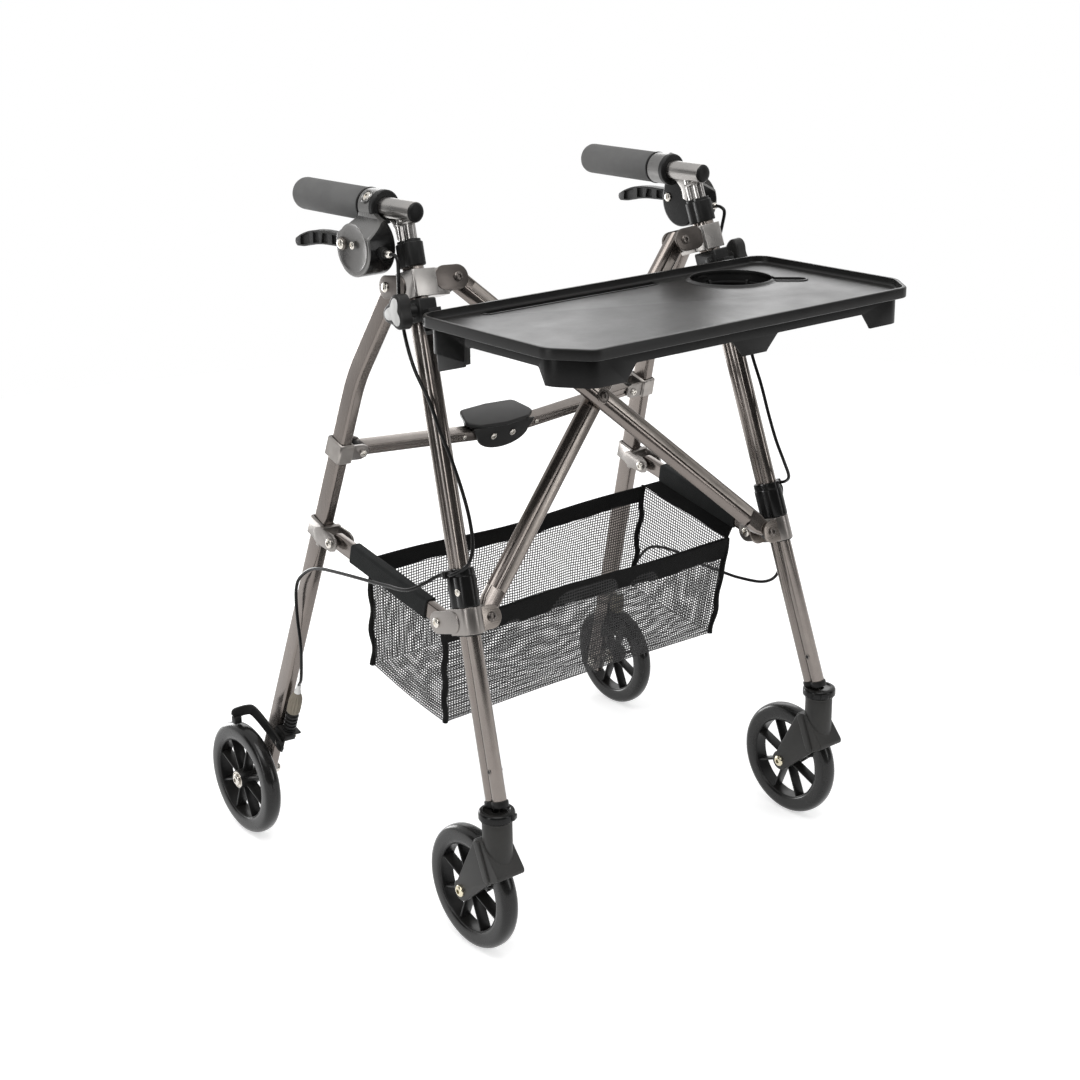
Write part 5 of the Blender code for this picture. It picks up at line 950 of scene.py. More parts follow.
for step in (makeFrontLeg, makeTopBracket, makeCollars, makeTrayClamp, makeKnob, makeHandlePost,
             makeHeightButton, makeGrip, makeBrakeHousing, makeBrakeLever):
    step()
print("stage: front legs and handles ready")


# brake cables, each drawn through listed route points
cable = {"radius": 0.0020, "lead": 0.007, "clipHalf": 0.0060, "stop": 0.074, "stopY": -0.0243,
         "upper": [(-0.2352, -0.0285, 0.7470), (-0.2338, -0.0262, 0.7300), (-0.2318, -0.0228, 0.7100),
                   (-0.2312, -0.0245, 0.6900), (-0.2318, -0.0330, 0.6620), (-0.2340, -0.0500, 0.6350),
                   (-0.2325, -0.0725, 0.6050), (-0.2310, -0.0860, 0.5780), (-0.2290, -0.1020, 0.5500),
                   (-0.2270, -0.1170, 0.5180), (-0.2275, -0.1300, 0.4880), (-0.2320, -0.1400, 0.4620),
                   (-0.2400, -0.1405, 0.4430)],
         "lower": [(-0.2640, -0.0663, 0.4013), (-0.2650, -0.0215, 0.3940),
                   (-0.2640, 0.0280, 0.3876), (-0.2620, 0.0776, 0.3808), (-0.2605, 0.1213, 0.3736),
                   (-0.2600, 0.1474, 0.3647), (-0.2600, 0.1705, 0.3484), (-0.2605, 0.1786, 0.3332),
                   (-0.2615, 0.1791, 0.3150), (-0.2630, 0.1757, 0.2920), (-0.2650, 0.1689, 0.2659),
                   (-0.2670, 0.1669, 0.2423), (-0.2680, 0.1684, 0.2214)],
         "lowerFar": [(-0.2490, -0.1200, 0.4230), (-0.2560, -0.1120, 0.3850), (-0.2600, -0.1110, 0.3430),
                      (-0.2620, -0.1060, 0.3060), (-0.2620, -0.0830, 0.2870), (-0.2620, -0.0400, 0.2800),
                      (-0.2625, 0.0000, 0.2790), (-0.2640, 0.0450, 0.2790), (-0.2660, 0.0950, 0.2820),
                      (-0.2670, 0.1350, 0.2750), (-0.2650, 0.1570, 0.2550)]}


def cordMesh(name, spots, radius, sides=5):
    pickNone()
    bpy.ops.curve.primitive_bezier_curve_add()
    piece = bpy.context.object
    piece.name = name
    curve = piece.data
    curve.splines.clear()
    curve.bevel_depth = radius
    curve.bevel_resolution = sides
    curve.use_fill_caps = True
    spline = curve.splines.new("POLY")
    spline.points.add(len(spots) - 1)
    for point, spot in zip(spline.points, spots):
        point.co = (*spot, 1)
    bpy.ops.object.convert(target="MESH")
    return bpy.context.object


def makeCables():
    out, lead = housing["portOut"], cable["lead"]
    clipZ = lowPivot.z + collar["middleUp"] + collar["middleHeight"] - 0.0005 + collar["clipHeight"] / 2
    tips = [handle @ Vector((-out, housing["portTip"] - reach, -housing["portDown"]))
            for reach in (-0.003, lead)]
    clipIn = [leg @ Vector((-collar["clipOut"], -cable["clipHalf"] - reach, clipZ))
              for reach in (lead, -0.005)]
    clipOut = [leg @ Vector((-collar["clipOut"], cable["clipHalf"] + reach, clipZ))
               for reach in (-0.005, lead)]
    stops = [brake @ Vector((0, cable["stopY"], cable["stop"] + reach)) for reach in (lead, -0.003)]
    runs = (("cableUpper", tips + [Vector(p) for p in cable["upper"]] + clipIn, "cable_upper", "frame",
             "handle", (-1, 0)),
            ("cableLower", clipOut + [Vector(p) for p in cable["lower"]] + stops, "cable_lower", "frame",
             "rear_leg", (0, -1)))
    for name, nearPoints, node, fromBody, toBody, ends in runs:
        for side, mirror in (("_right", 1), ("_left", -1)):
            points = nearPoints
            if name == "cableLower" and mirror < 0:
                points = clipOut + [Vector(p) for p in cable["lowerFar"]] + stops
            piece = cordMesh(name + side, smoothRun(points, 10), cable["radius"])
            if mirror < 0:
                piece.data.transform(toLeft)
                piece.data.flip_normals()
            finished(keepDrawn(piece), "gloss")
            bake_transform(piece)
            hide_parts(node + side)


# cross brace
brace = {"width": 0.024, "lowRadius": 0.0080, "taper": 0.020, "thick": 0.0098, "near": 0.0103,
         "groove": -0.0012, "fall": 0.0088}


def armOutline(length, radius, lowRadius):
    shoulder = length - brace["taper"]
    step = [(radius, -shoulder), (lowRadius + 0.001, -shoulder - 0.011), (lowRadius, -shoulder - 0.0145)]
    return (arc((0, 0), radius, 0, 180, 21) + [(-x, y) for x, y in step]
            + arc((0, -length), lowRadius, 180, 360, 15) + step[::-1])


def makeBraceArm(name, top, lowEnd, front, body, node):
    run = lowEnd - top
    length = run.length
    tilt = Vector((0, 0, -1)).rotation_difference(run).to_matrix().to_4x4()
    place = raked @ Matrix.Translation(top) @ tilt
    near, thick = brace["near"], brace["thick"]
    start, end = (near - thick, near) if front else (-near, -near + thick)
    arm = extrudeOutline(name, armOutline(length, brace["width"] / 2, brace["lowRadius"]), start, end,
                         0.0030, 5)
    put(arm, faceOn)
    groove, fall, half = brace["groove"], brace["fall"], brace["width"] / 2
    lobe = [(groove - (half + groove) * sin(radians(7.5 * i)), -end + fall * (1 - cos(radians(7.5 * i))))
            for i in range(13)]
    lobe += [(-0.02, -end + fall), (-0.02, -end - 0.005), (groove, -end - 0.005)]
    line = [(groove - 0.0008, -end - 0.002), (groove - 0.0003, -end + 0.0014),
            (groove + 0.0003, -end + 0.0014), (groove + 0.0008, -end - 0.002)]
    low0 = -length + 0.034
    cutAway(arm, extrudeOutline("armLobe", lobe, low0, 0.02), extrudeOutline("armLine", line, low0, 0.02))
    dressed(arm, "graphite", body, [node], place)
    # the flat faces take the paler copy of the graphite paint, a painted sheen
    for label, face in (("Front", 1), ("Back", -1)):
        edge = end if face > 0 else start
        left, right = (groove + 0.0012, half - 0.0030) if face > 0 else (-half + 0.0040, half - 0.0040)
        line = [(left, -0.022), (left, -length + 0.036), (right, -length + 0.036), (right, -0.022)]
        start0, end0 = sorted((edge - face * 0.001, edge + face * 0.0002))
        plate = extrudeOutline(name + "Face" + label, line, start0, end0, 0.0002, 2)
        put(plate, faceOn)
        dressed(plate, "litGraphite", body, (), place)
    line = roundBar((0, -length), (0, -length + 0.004), brace["lowRadius"] + 0.0006, 15)
    plug = extrudeOutline(name + "Plug", line, start + 0.0016, end - 0.0016, 0.0006, 2)
    put(plug, faceOn)
    dressed(plug, "black", body, (), place)


def makeBrace():
    makeBraceArm("braceArmFront", braceTopR, braceLowL, True, "brace_front", "brace_arm_front")
    makeBraceArm("braceArmRear", braceTopL, braceLowR, False, "brace_rear", "brace_arm_rear")
    near = brace["near"]
    for name, y, turn in (("braceBoltFront", -near, towardFront), ("braceBoltBack", near, towardBack)):
        spot = raked @ shift(braceMiddle.x, y, braceMiddle.z) @ turn
        screwAt(name, "pivot", "brace_front", spot, "graphiteDark")
        washer = spinProfile(name + "Washer", [(0.0040, -0.0004), (0.0040, 0.0007), (0.0078, 0.0007),
                                               (0.0084, 0.0002), (0.0084, -0.0004)], 40, closed=True)
        dressed(washer, "graphite", "brace_front", (), spot)
    spacer = spinProfile("braceSpacer", [(0.0034, -0.0008), (0.0100, -0.0008), (0.0100, 0.0008),
                                         (0.0034, 0.0008)], 40, closed=True)
    dressed(spacer, "black", "brace_front", (), raked @ Matrix.Translation(braceMiddle) @ towardFront)


slider = {"half": 0.0145, "depth": 0.0183, "earInner": 0.0106, "earOuter": 0.0131, "earRadius": 0.0125}


def makeSlider():
    middle, side, deep = lowPivot.z, slider["earOuter"], slider["depth"]
    outline = arc((0, -0.0064), 0.0119, 175, 300, 13) + [
        (0.0088, -side - 0.0022), (0.0110, -side), (side + 0.001, -side), (side + 0.001, side),
        (side, deep - 0.0008), (side - 0.0008, deep), (-0.0110, deep), (-0.0119, deep - 0.0008)]
    sleeve = extrudeOutline("sliderSleeve", outline, middle - slider["half"], middle + slider["half"],
                            0.0010, 3)
    dressedPair(sleeve, "bracket", "slider", ["slider_bracket"], leg, "Y")
    liner = extrudeOutline("sliderLiner", twoLobes(0.0024), middle - slider["half"] - 0.0014, middle, 0.0005,
                           2)
    dressedPair(liner, "black", "slider", (), leg)
    ear = roundBar((side - 0.004, middle), (lowPivot.x, middle), slider["earRadius"] + 0.0005, 19)
    # the front and back ears take the paler copy of the graphite paint, a painted sheen
    makeEars(ear, (("sliderEarFront", slider["earInner"], side + 0.0004),
                   ("sliderEarBack", -side, -slider["earInner"])), 0.0007, "litGraphite", "slider", leg @ faceOn,
             "X")
    ear = roundBar((deep - 0.006, middle), (linkPivot.y, linkPivot.z), slider["earRadius"], 19)
    makeEars(ear, (("linkEarOuter", -side, -slider["earInner"]), ("linkEarInner", slider["earInner"], side)),
             0.0007, "bracket", "slider", leg @ sideOn, "Y")
    for name, y, turn in (("sliderScrewFront", -side - 0.0004, towardFront),
                          ("sliderScrewBack", side, towardBack)):
        screwPair(name, "pivot", "slider", leg @ shift(lowPivot.x, y, middle) @ turn, "graphiteDark")
    screwPair("linkScrewOuter", "pivot", "slider", leg @ shift(-side, linkPivot.y, linkPivot.z) @ towardOut)
    screwPair("linkScrewInner", "pivot", "slider", leg @ shift(side, linkPivot.y, linkPivot.z) @ towardIn)


def makeSideLink():
    length = linkRun.length
    bar = extrudeOutline("sideLink", roundBar((0, 0), (length, 0), 0.0100, 21), -0.0049, 0.0049, 0.0026, 5)
    put(bar, sideOn)
    dressedPair(bar, "graphite", "side_link", ["side_link"], link, "Y")


# rear legs
rearShape = {"half": 0.0120, "width": 0.0070, "bendZ": 0.600, "bendRadius": 0.190, "foot": 0.014,
             "points": 17, "axleOut": 0.0128}


def rearOutline():
    toPlane = rear.inverted()
    bend = toPlane @ rearLegAt(rearShape["bendZ"])
    foot = toPlane @ rearLegAt(layout["rearWheel"][2] - rearShape["foot"])
    corner = Vector((bend.y, bend.z))
    topRun = -corner.normalized()
    lowRun = (Vector((foot.y, foot.z)) - corner).normalized()
    halfTurn = (pi - topRun.angle(lowRun)) / 2
    reach = rearShape["bendRadius"] * sin(halfTurn) / cos(halfTurn)
    path = [Vector((0, 0))]
    path += [bent(corner + topRun * reach, corner, corner + lowRun * reach, i / (rearShape["points"] - 1))
             for i in range(rearShape["points"])]
    path.append(Vector((foot.y, foot.z)))
    left, right = [], []
    for i, spot in enumerate(path):
        run = (path[min(i + 1, len(path) - 1)] - path[max(i - 1, 0)]).normalized()
        side = Vector((-run.y, run.x)) * rearShape["half"]
        left.append(tuple(spot + side))
        right.append(tuple(spot - side))
    first = path[1].normalized()
    heading = degrees(atan2(first.y, first.x))
    return arc((0, 0), rearShape["half"], heading + 90, heading + 270, 19)[1:-1] + right + left[::-1]


def makeRearLeg():
    tube = extrudeOutline("rearLeg", rearOutline(), -rearShape["width"], rearShape["width"], 0.0034, 5, 60)
    put(tube, sideOn)
    dressedPair(tube, "graphite", "rear_leg", ["rear_leg"], rear)
    centre = layout["rearWheel"]
    legX = rearLegAt(centre[2]).x
    spot = shift(0, centre[1], centre[2])
    out = rearShape["axleOut"]
    spacer = rodBetween("axleSpacer", (legX - 0.006, 0, 0), (centre[0] + out, 0, 0), 0.0070, 32, 0.0006)
    dressedPair(spacer, "steel", "rear_leg", (), spot, "X")
    shank = rodBetween("axleShank", (centre[0] - out, 0, 0), (legX + 0.0130, 0, 0), 0.0039, 28)
    dressedPair(shank, "steel", "rear_leg", (), spot, "X")
    screwPair("axleBolt", "axle", "rear_leg", spot @ shift(centre[0] - out, 0, 0) @ towardOut)
    nut = rodBetween("axleNut", (0, 0, 0), (0, 0, 0.0062), 0.0066, 6, 0.0007)
    dome = rodBetween("axleNutDome", (0, 0, 0.0060), (0, 0, 0.0078), 0.0050, 28, 0.0008)
    dressedPair(joined("axleNut", nut, dome), "steel", "rear_leg", (),
                spot @ shift(legX + rearShape["width"], 0, 0) @ towardIn)
    foot = rear.inverted() @ rearLegAt(centre[2] - rearShape["foot"])
    plugSpot = axesAt(low.col[0].xyz, low.col[1].xyz, low.col[2].xyz, rear @ foot)
    plug = cubeBetween("rearLegPlug", (-0.0066, -0.0114, -0.0022), (0.0066, 0.0114, 0.006), 0.0018, 3)
    dressedPair(plug, "black", "rear_leg", (), plugSpot)


clampPin = {"earOut": 0.01155, "linkOut": 0.0150}


def makeLegClamps():
    for name, node in (("crossbarClamp", "crossbar_clamp"), ("linkClamp", "link_clamp")):
        dressedPair(fromNode(name, node + "_right", low, 0.0010), "bracket", "rear_leg", [node], low, "X")
    spot = low @ shift(layout["barPivotIn"], -clampPin["earOut"] - 0.0022, 0) @ towardFront
    screwPair("barScrewFront", "small", "rear_leg", spot)
    end = low.inverted() @ leg @ linkEnd
    for name, x, turn in (("linkEndScrewOuter", -clampPin["linkOut"], towardOut),
                          ("linkEndScrewInner", clampPin["linkOut"], towardIn)):
        screwPair(name, "pivot", "rear_leg", low @ shift(x, end.y, end.z) @ turn)


# wheels
wheel = {"radius": 0.0715, "half": 0.0105, "tyreInner": 0.0520, "rimInner": 0.0502, "hub": 0.0118,
         "hubHalf": 0.0125, "bore": 0.0062, "spokes": 8, "spokeThick": 0.0025, "spokeHalf": 0.0070,
         "shoulder": 0.0620}


def makeWheels():
    half, radius, shoulder = wheel["half"], wheel["radius"], wheel["shoulder"]
    crown = []
    for i in range(21):
        turn = radians(90 - 9 * i)
        across = abs(sin(turn)) ** 0.85 * (1 if sin(turn) >= 0 else -1)
        crown.append((shoulder + (radius - shoulder) * max(cos(turn), 0) ** 0.8, -half * across))
    inner = wheel["tyreInner"]
    bead = [(inner + 0.0042, half), (inner + 0.0018, half - 0.0004), (inner + 0.0002, half - 0.0012),
            (inner - 0.0006, half - 0.0022)]
    profile = bead[3:] + [(x, -y) for x, y in bead[::-1]] + crown + bead[:3]
    ring, band, bore, reach = wheel["rimInner"], half - 0.0018, wheel["bore"], wheel["hubHalf"]
    for name, spot in (("front", layout["frontWheel"]), ("rear", layout["rearWheel"])):
        place = Matrix.Translation(spot) @ alongX
        body = name + "_wheel"
        tyre = spinProfile(name + "Tyre", profile, 120, closed=True)
        dressedPair(tyre, "tyre", body, [name + "_tyre"], place, "Z", 50)
        rim = spinProfile(name + "Rim", [(ring, -band + 0.0008), (ring + 0.0008, -band),
                                         (inner + 0.0008, -band), (inner + 0.0008, band),
                                         (ring + 0.0008, band), (ring, band - 0.0008)], 96, closed=True)
        side = [(bore, reach - 0.0014), (0.0107, reach - 0.0014), (0.0108, reach), (0.0113, reach),
                (wheel["hub"], reach - 0.0010)]
        barrel = spinProfile(name + "Hub", [(x, -y) for x, y in side] + side[::-1], 64, closed=True)
        parts = [rim, barrel]
        for i in range(wheel["spokes"]):
            blade = cubeBetween(name + "Spoke", (wheel["hub"] - 0.0012, -wheel["spokeThick"] / 2,
                                                 -wheel["spokeHalf"]),
                                (ring + 0.0010, wheel["spokeThick"] / 2, wheel["spokeHalf"]), 0.0007, 2)
            parts.append(put(blade, Matrix.Rotation(2 * pi * (i + 0.5) / wheel["spokes"], 4, "Z")))
        dressedPair(joined(name + "Rim", *parts), "rim", body, [name + "_rim"], place, "Z", 40)
        for label, side in (("Outer", -1), ("Inner", 1)):
            section = [(0.0064, 0.0010), (0.0066, 0.0014), (0.0080, 0.0014), (0.0082, 0.0008),
                       (0.0092, 0.0008), (0.0094, 0.0016), (0.0104, 0.0016), (0.0107, 0.0010),
                       (0.0107, -0.0002), (0.0064, -0.0002)]
            bearing = spinProfile(name + "Bearing" + label, section, 56, closed=True)
            turn = towardOut if side < 0 else towardIn
            dressedPair(bearing, "steel", body, (),
                        Matrix.Translation(spot) @ shift(side * (reach - 0.0014), 0, 0) @ turn)


# casters, drawn from the wheel's centre in the side view
fork = {"half": 0.0185, "slot": 0.0126, "space": 0.0737, "housing": 0.0165, "edge": 0.0016,
        "bandRadius": 0.0052, "axleRadius": 0.0039, "spigotRadius": 0.0050}


def makeCasterFork():
    stem = layout["stemY"] - layout["frontWheel"][1]
    stemTop = layout["stemTop"] - layout["frontWheel"][2]
    half, slot = fork["half"], fork["slot"]
    outline = arc((0, 0), 0.0125, -125, 60, 15) + [
        (-0.0270, 0.0740), (-0.0290, 0.0758), (-0.0310, 0.0762), (-0.0420, 0.0760), (-0.0680, 0.0452),
        (-0.0692, 0.0430), (-0.0690, 0.0390), (-0.0520, 0.0290)]
    cheeks = put(extrudeOutline("casterFork", outline, -half, half, fork["edge"], 4, 30), sideOn)
    stemRod = rodBetween("casterHousing", (0, stem, 0.036), (0, stem, stemTop), fork["housing"], 64, 0.0010)
    well = rodBetween("casterWell", (-slot, 0, 0), (slot, 0, 0), fork["space"], 96)
    merged(cheeks, stemRod)
    cutAway(cheeks, well)
    spot = Matrix.Translation(layout["frontWheel"])
    dressedPair(cheeks, "fork", "caster", ["caster_fork"], spot, "Z", 30)
    line = roundBar((-0.0342, 0.0712), (-0.0492, 0.0352), fork["bandRadius"], 15)
    for label, start, end in (("Outer", -half - 0.0024, -half + 0.002),
                              ("Inner", half - 0.002, half + 0.0024)):
        band = extrudeOutline("casterBand" + label, line, start, end, 0.0021, 5)
        dressedPair(band, "fork", "caster", (), spot @ sideOn, "Z", 30)
    lip = spinProfile("casterLip", [(0.0162, 0.0), (0.0172, 0.0004), (0.0174, 0.0016), (0.0170, 0.0024),
                                    (0.0162, 0.0026)], 64, closed=True)
    dressedPair(lip, "fork", "caster", (), spot @ shift(0, stem, stemTop - 0.0032))
    shank = rodBetween("casterAxle", (-half, 0, 0), (half, 0, 0), fork["axleRadius"], 28)
    dressedPair(shank, "steel", "caster", (), spot, "X")
    screwPair("casterBoltOuter", "axle", "caster", spot @ shift(-half, 0, 0) @ towardOut, "brass")
    screwPair("casterBoltInner", "axle", "caster", spot @ shift(half, 0, 0) @ towardIn, "brass")
    pinTop = rodBetween("casterSpigot", (0, stem, stemTop - 0.004), (0, stem, stemTop + 0.006),
                        fork["spigotRadius"], 32)
    dressedPair(pinTop, "steel", "caster", (), spot)


# rear brakes, in the lower leg's frame
rearBrake = {"half": 0.0120, "plate": 0.0025, "halfHeight": 0.0130, "front": -0.0123, "reach": 0.0220,
             "cableY": -0.0243, "bootLow": 0.0390, "flutes": 14, "fluteDeep": 0.13, "strap": 0.0030,
             "strapTop": [(-0.2822, 0.1990, 0.1300), (-0.2822, 0.2150, 0.1395), (-0.2838, 0.2380, 0.1530),
                          (-0.2868, 0.2540, 0.1625), (-0.2925, 0.2590, 0.1648), (-0.3070, 0.2600, 0.1652),
                          (-0.3140, 0.2600, 0.1636), (-0.3160, 0.2600, 0.1580)],
             "strapLow": [(-0.2822, 0.2080, 0.1180), (-0.2822, 0.2240, 0.1270), (-0.2846, 0.2460, 0.1405),
                          (-0.2888, 0.2585, 0.1498), (-0.2940, 0.2605, 0.1520), (-0.3040, 0.2610, 0.1520),
                          (-0.3070, 0.2610, 0.1490), (-0.3085, 0.2610, 0.1478)]}


def makeRearBrake():
    front, half, thick = rearBrake["front"], rearBrake["half"], rearBrake["plate"]
    tall, back = rearBrake["halfHeight"], rearBrake["front"] - rearBrake["reach"]
    plate = cubeBetween("brakePlate", (-half, front - thick, -tall), (half, front, tall), 0.0007)
    cheek = cubeBetween("brakeCheek", (-half, back, -tall), (-half + thick, front, tall), 0.0007)
    shelf = cubeBetween("brakeShelf", (-half, back, tall - thick), (half, front, tall), 0.0007)
    foot = cubeBetween("brakeFoot", (-half, back - 0.0030, tall - thick - 0.004),
                       (half * 0.2, back - 0.0005, tall), 0.0007)
    whole = joined("brakeBracket", plate, cheek, shelf, foot)
    dressedPair(whole, "black", "rear_leg", ["brake_bracket"], brake)
    low0 = tall - 0.001
    profile = [(0.0, low0), (0.0054, low0)]
    for i in range(5):
        z = low0 + 0.0014 + i * 0.0051
        profile += [(0.0082, z), (0.0084, z + 0.0006), (0.0082, z + 0.0024), (0.0064, z + 0.0031),
                    (0.0062, z + 0.0046)]
    base = rearBrake["bootLow"]
    profile += [(0.0052, base + 0.001), (0.0, base + 0.001)]
    place = brake @ shift(0, rearBrake["cableY"], 0)
    dressedPair(spinProfile("brakeAdjuster", profile, 36), "gloss", "rear_leg", (), place)
    screwPair("adjusterTip", "rivet", "rear_leg", place @ shift(0.0015, -0.0112, tall - 0.003) @ towardFront)
    profile = [(radius, base + up) for radius, up in (
        (0.0, 0.0), (0.0060, 0.0), (0.0078, 0.0010), (0.0085, 0.0034), (0.0087, 0.0100), (0.0085, 0.0180),
        (0.0078, 0.0235), (0.0062, 0.0272), (0.0048, 0.0298), (0.0036, 0.0312), (0.0, 0.0312))]
    boot = applied(spinProfile("brakeBoot", profile, 96), "SUBSURF", levels=1, render_levels=1)
    for vert in boot.data.vertices:
        rise = (vert.co.z - base) / 0.030
        depth = rearBrake["fluteDeep"] * max(0.0, min(1.0, 6 * rise, 6 * (0.97 - rise)))
        turn = atan2(vert.co.y, vert.co.x)
        grow = 1 - depth * (0.5 - 0.5 * cos(rearBrake["flutes"] * turn)) ** 0.6
        vert.co.x *= grow
        vert.co.y *= grow
    dressedPair(boot, "boot", "rear_leg", (), place)
    cap = [(radius, base + up) for radius, up in (
        (0.0, 0.0300), (0.0040, 0.0300), (0.0042, 0.0310), (0.0040, 0.0340), (0.0030, 0.0352),
        (0.0028, 0.0400), (0.0024, 0.0418), (0.0, 0.0420))]
    dressedPair(spinProfile("brakeFerrule", cap, 36), "whiteCap", "rear_leg", (), place)
    pickNone()
    bpy.ops.mesh.primitive_grid_add(x_subdivisions=28, y_subdivisions=2, size=1)
    arm = bpy.context.object
    arm.name = "brakeArm"
    edges = [smoothRun(rearBrake[key], 4) for key in ("strapLow", "strapTop")]
    for vert in arm.data.vertices:
        share = (vert.co.x + 0.5) * (len(edges[0]) - 1)
        i = min(int(share + 1e-6), len(edges[0]) - 2)
        lowSpot, topSpot = [line[i].lerp(line[i + 1], share - i) for line in edges]
        vert.co = lowSpot.lerp(topSpot, vert.co.y + 0.5)
    applied(arm, "SOLIDIFY", thickness=rearBrake["strap"], offset=0)
    roundEdges(arm, 0.0009, 3, 50)
    pad = cubeBetween("brakePad", (-0.3140, 0.2562, 0.1446), (-0.3040, 0.2650, 0.1540), 0.0012, 3)
    boss = rodBetween("brakeBoss", (-0.2806, 0.2045, 0.1248), (-0.2846, 0.2045, 0.1248), 0.0062, 32, 0.0008)
    dressedPair(joined("brakeArm", arm, pad, boss), "black", "brake_arm", ["brake_arm"])
    screwPair("brakeRivet", "small", "rear_leg", brake @ shift(-half - 0.0040, front - 0.015, 0) @ towardOut)


# crossbar and hub, in the crossbar's plane
bar = {"half": 0.0065, "depth": 0.00825, "groove": 0.0016, "grooveDeep": 0.0009, "tongue": 0.028,
       "pivotX": 0.0144, "screwX": 0.0552}


def makeCrossbar():
    half, deep = bar["half"], bar["depth"]
    groove, cut = bar["groove"], bar["grooveDeep"]
    face = [(-half, -deep), (-groove, -deep), (-groove, -deep + cut), (groove, -deep + cut),
            (groove, -deep), (half, -deep)]
    section = softened(face + [(-x, -y) for x, y in face], 0.0012, 4)
    inward = Vector((0, 1, 0))
    for side, name, body in ((-1, "crossbarRight", "crossbar_right"), (1, "crossbarLeft", "crossbar_left")):
        outer = Vector((-side * barPivot.x, 0, layout["barSag"]))
        hubEnd = Vector((side * bar["pivotX"], 0, 0))
        run = (outer - hubEnd).normalized()
        root = hubEnd + run * bar["tongue"]
        up = inward.cross(run) * side
        place = cross @ axesAt(up, inward, up.cross(inward), root)
        length = ((outer - root).length - 0.001) * (1 if up.cross(inward).dot(run) > 0 else -1)
        beam = extrudeOutline(name, section, min(0.0, length), max(0.0, length), 0.0003, 1)
        dressed(beam, "graphite", body, [body], place)
        line = roundBar((outer.x - run.x * 0.006, outer.z - run.z * 0.006), (outer.x, outer.z), half, 15)
        end = extrudeOutline(name + "End", line, -deep + 0.0005, deep - 0.0005, 0.0012, 3)
        dressed(end, "black", body, (), cross @ faceOn)
        layer = (0.0006, 0.0084) if side < 0 else (-0.0084, -0.0006)
        line = roundBar((hubEnd.x, hubEnd.z), (root.x + run.x * 0.010, root.z + run.z * 0.010),
                        half - 0.0004, 15)
        tongue = extrudeOutline(name + "Tongue", line, *layer, 0.0005, 2)
        dressed(tongue, "graphiteDark", body, (), cross @ faceOn)
        screw = hubEnd + run * ((bar["screwX"] - bar["pivotX"]) / abs(run.x))
        spot = cross @ shift(screw.x, -deep + cut * 0.6, screw.z) @ towardFront
        screwAt(name + "Screw", "rivet", body, spot)


hub = {"half": 0.0515, "front": 0.0146, "back": 0.0315, "top": 0.0190, "lid": 0.0055, "cheekInner": 0.0101,
       "cheekOuter": 0.0128, "cheekHalf": 0.0460, "drop": 0.0180}


def makeHub():
    front, back, half = hub["front"], hub["back"], hub["half"]
    plan = softened([(-half, -0.002), (-0.036, -front + 0.002), (0, -front - 0.002), (0.036, -front + 0.002),
                     (half, -0.002), (0.041, back - 0.003), (0, back), (-0.041, back - 0.003)], 0.010, 9)
    lid = extrudeOutline("hubLid", plan, hub["top"] - hub["lid"], hub["top"], 0.0021, 6, 30)
    dressed(lid, "charcoal", "hub", ["crossbar_hub"], cross)
    base = hub["top"] - hub["lid"] + 0.001
    cheek = ([(-hub["cheekHalf"], base), (-hub["cheekHalf"] + 0.003, 0.008)]
             + [(0.0385 * cos(radians(a)), 0.002 + (hub["drop"] + 0.002) * sin(radians(a)))
                for a in range(186, 355, 8)]
             + [(hub["cheekHalf"] - 0.003, 0.008), (hub["cheekHalf"], base)])
    for name, start, end in (("hubCheekFront", hub["cheekInner"], hub["cheekOuter"] + 0.0006),
                             ("hubCheekBack", -hub["cheekOuter"], -hub["cheekInner"])):
        dressed(extrudeOutline(name, cheek, start, end, 0.0010, 4, 30), "charcoal", "hub", (),
                cross @ faceOn)
    for name, x in (("hubScrewRight", -bar["pivotX"]), ("hubScrewLeft", bar["pivotX"])):
        spot = cross @ shift(x, -hub["cheekOuter"] - 0.0006, 0) @ towardFront
        seat = spinProfile(name + "Seat", [(0.0044, -0.0002), (0.0044, 0.0004), (0.0054, 0.0004),
                                           (0.0060, -0.0002)], 36, closed=True)
        dressed(seat, "black", "hub", (), spot)
        screwAt(name, "small", "hub", spot @ shift(0, 0, -0.0005))


for step in (makeCables, makeBrace, makeSlider, makeSideLink, makeRearLeg, makeLegClamps, makeWheels,
             makeCasterFork, makeRearBrake, makeCrossbar, makeHub):
    step()
print("stage: frame, wheels and brakes ready")


# tray
tray = {"half": 0.2492, "front": -0.3270, "back": -0.0745, "top": 0.7010, "surface": 0.6925, "under": 0.6895,
        "cutX": 0.030, "cutY": 0.040, "round": 0.022, "rim": 0.0042, "inset": 0.0100, "wall": 0.0026,
        "shallow": 0.6780, "deep": 0.6610, "blockLow": 0.6430, "cupX": 0.145, "cupY": -0.133, "cup": 0.0460,
        "cupLow": 0.0400, "cupDeep": 0.045, "ring": 0.0060, "slotFrom": -0.171, "slotTo": 0.067,
        "slotY": -0.0915, "slotHalf": 0.0055, "slotDeep": 0.010, "mugHalf": 0.0080, "mugReach": 0.076,
        "mugTurn": -45, "fins": 6, "flangeFront": 0.0322, "flangeBack": 0.0292, "flangeHalf": 0.232,
        "flangeDrop": 0.012}


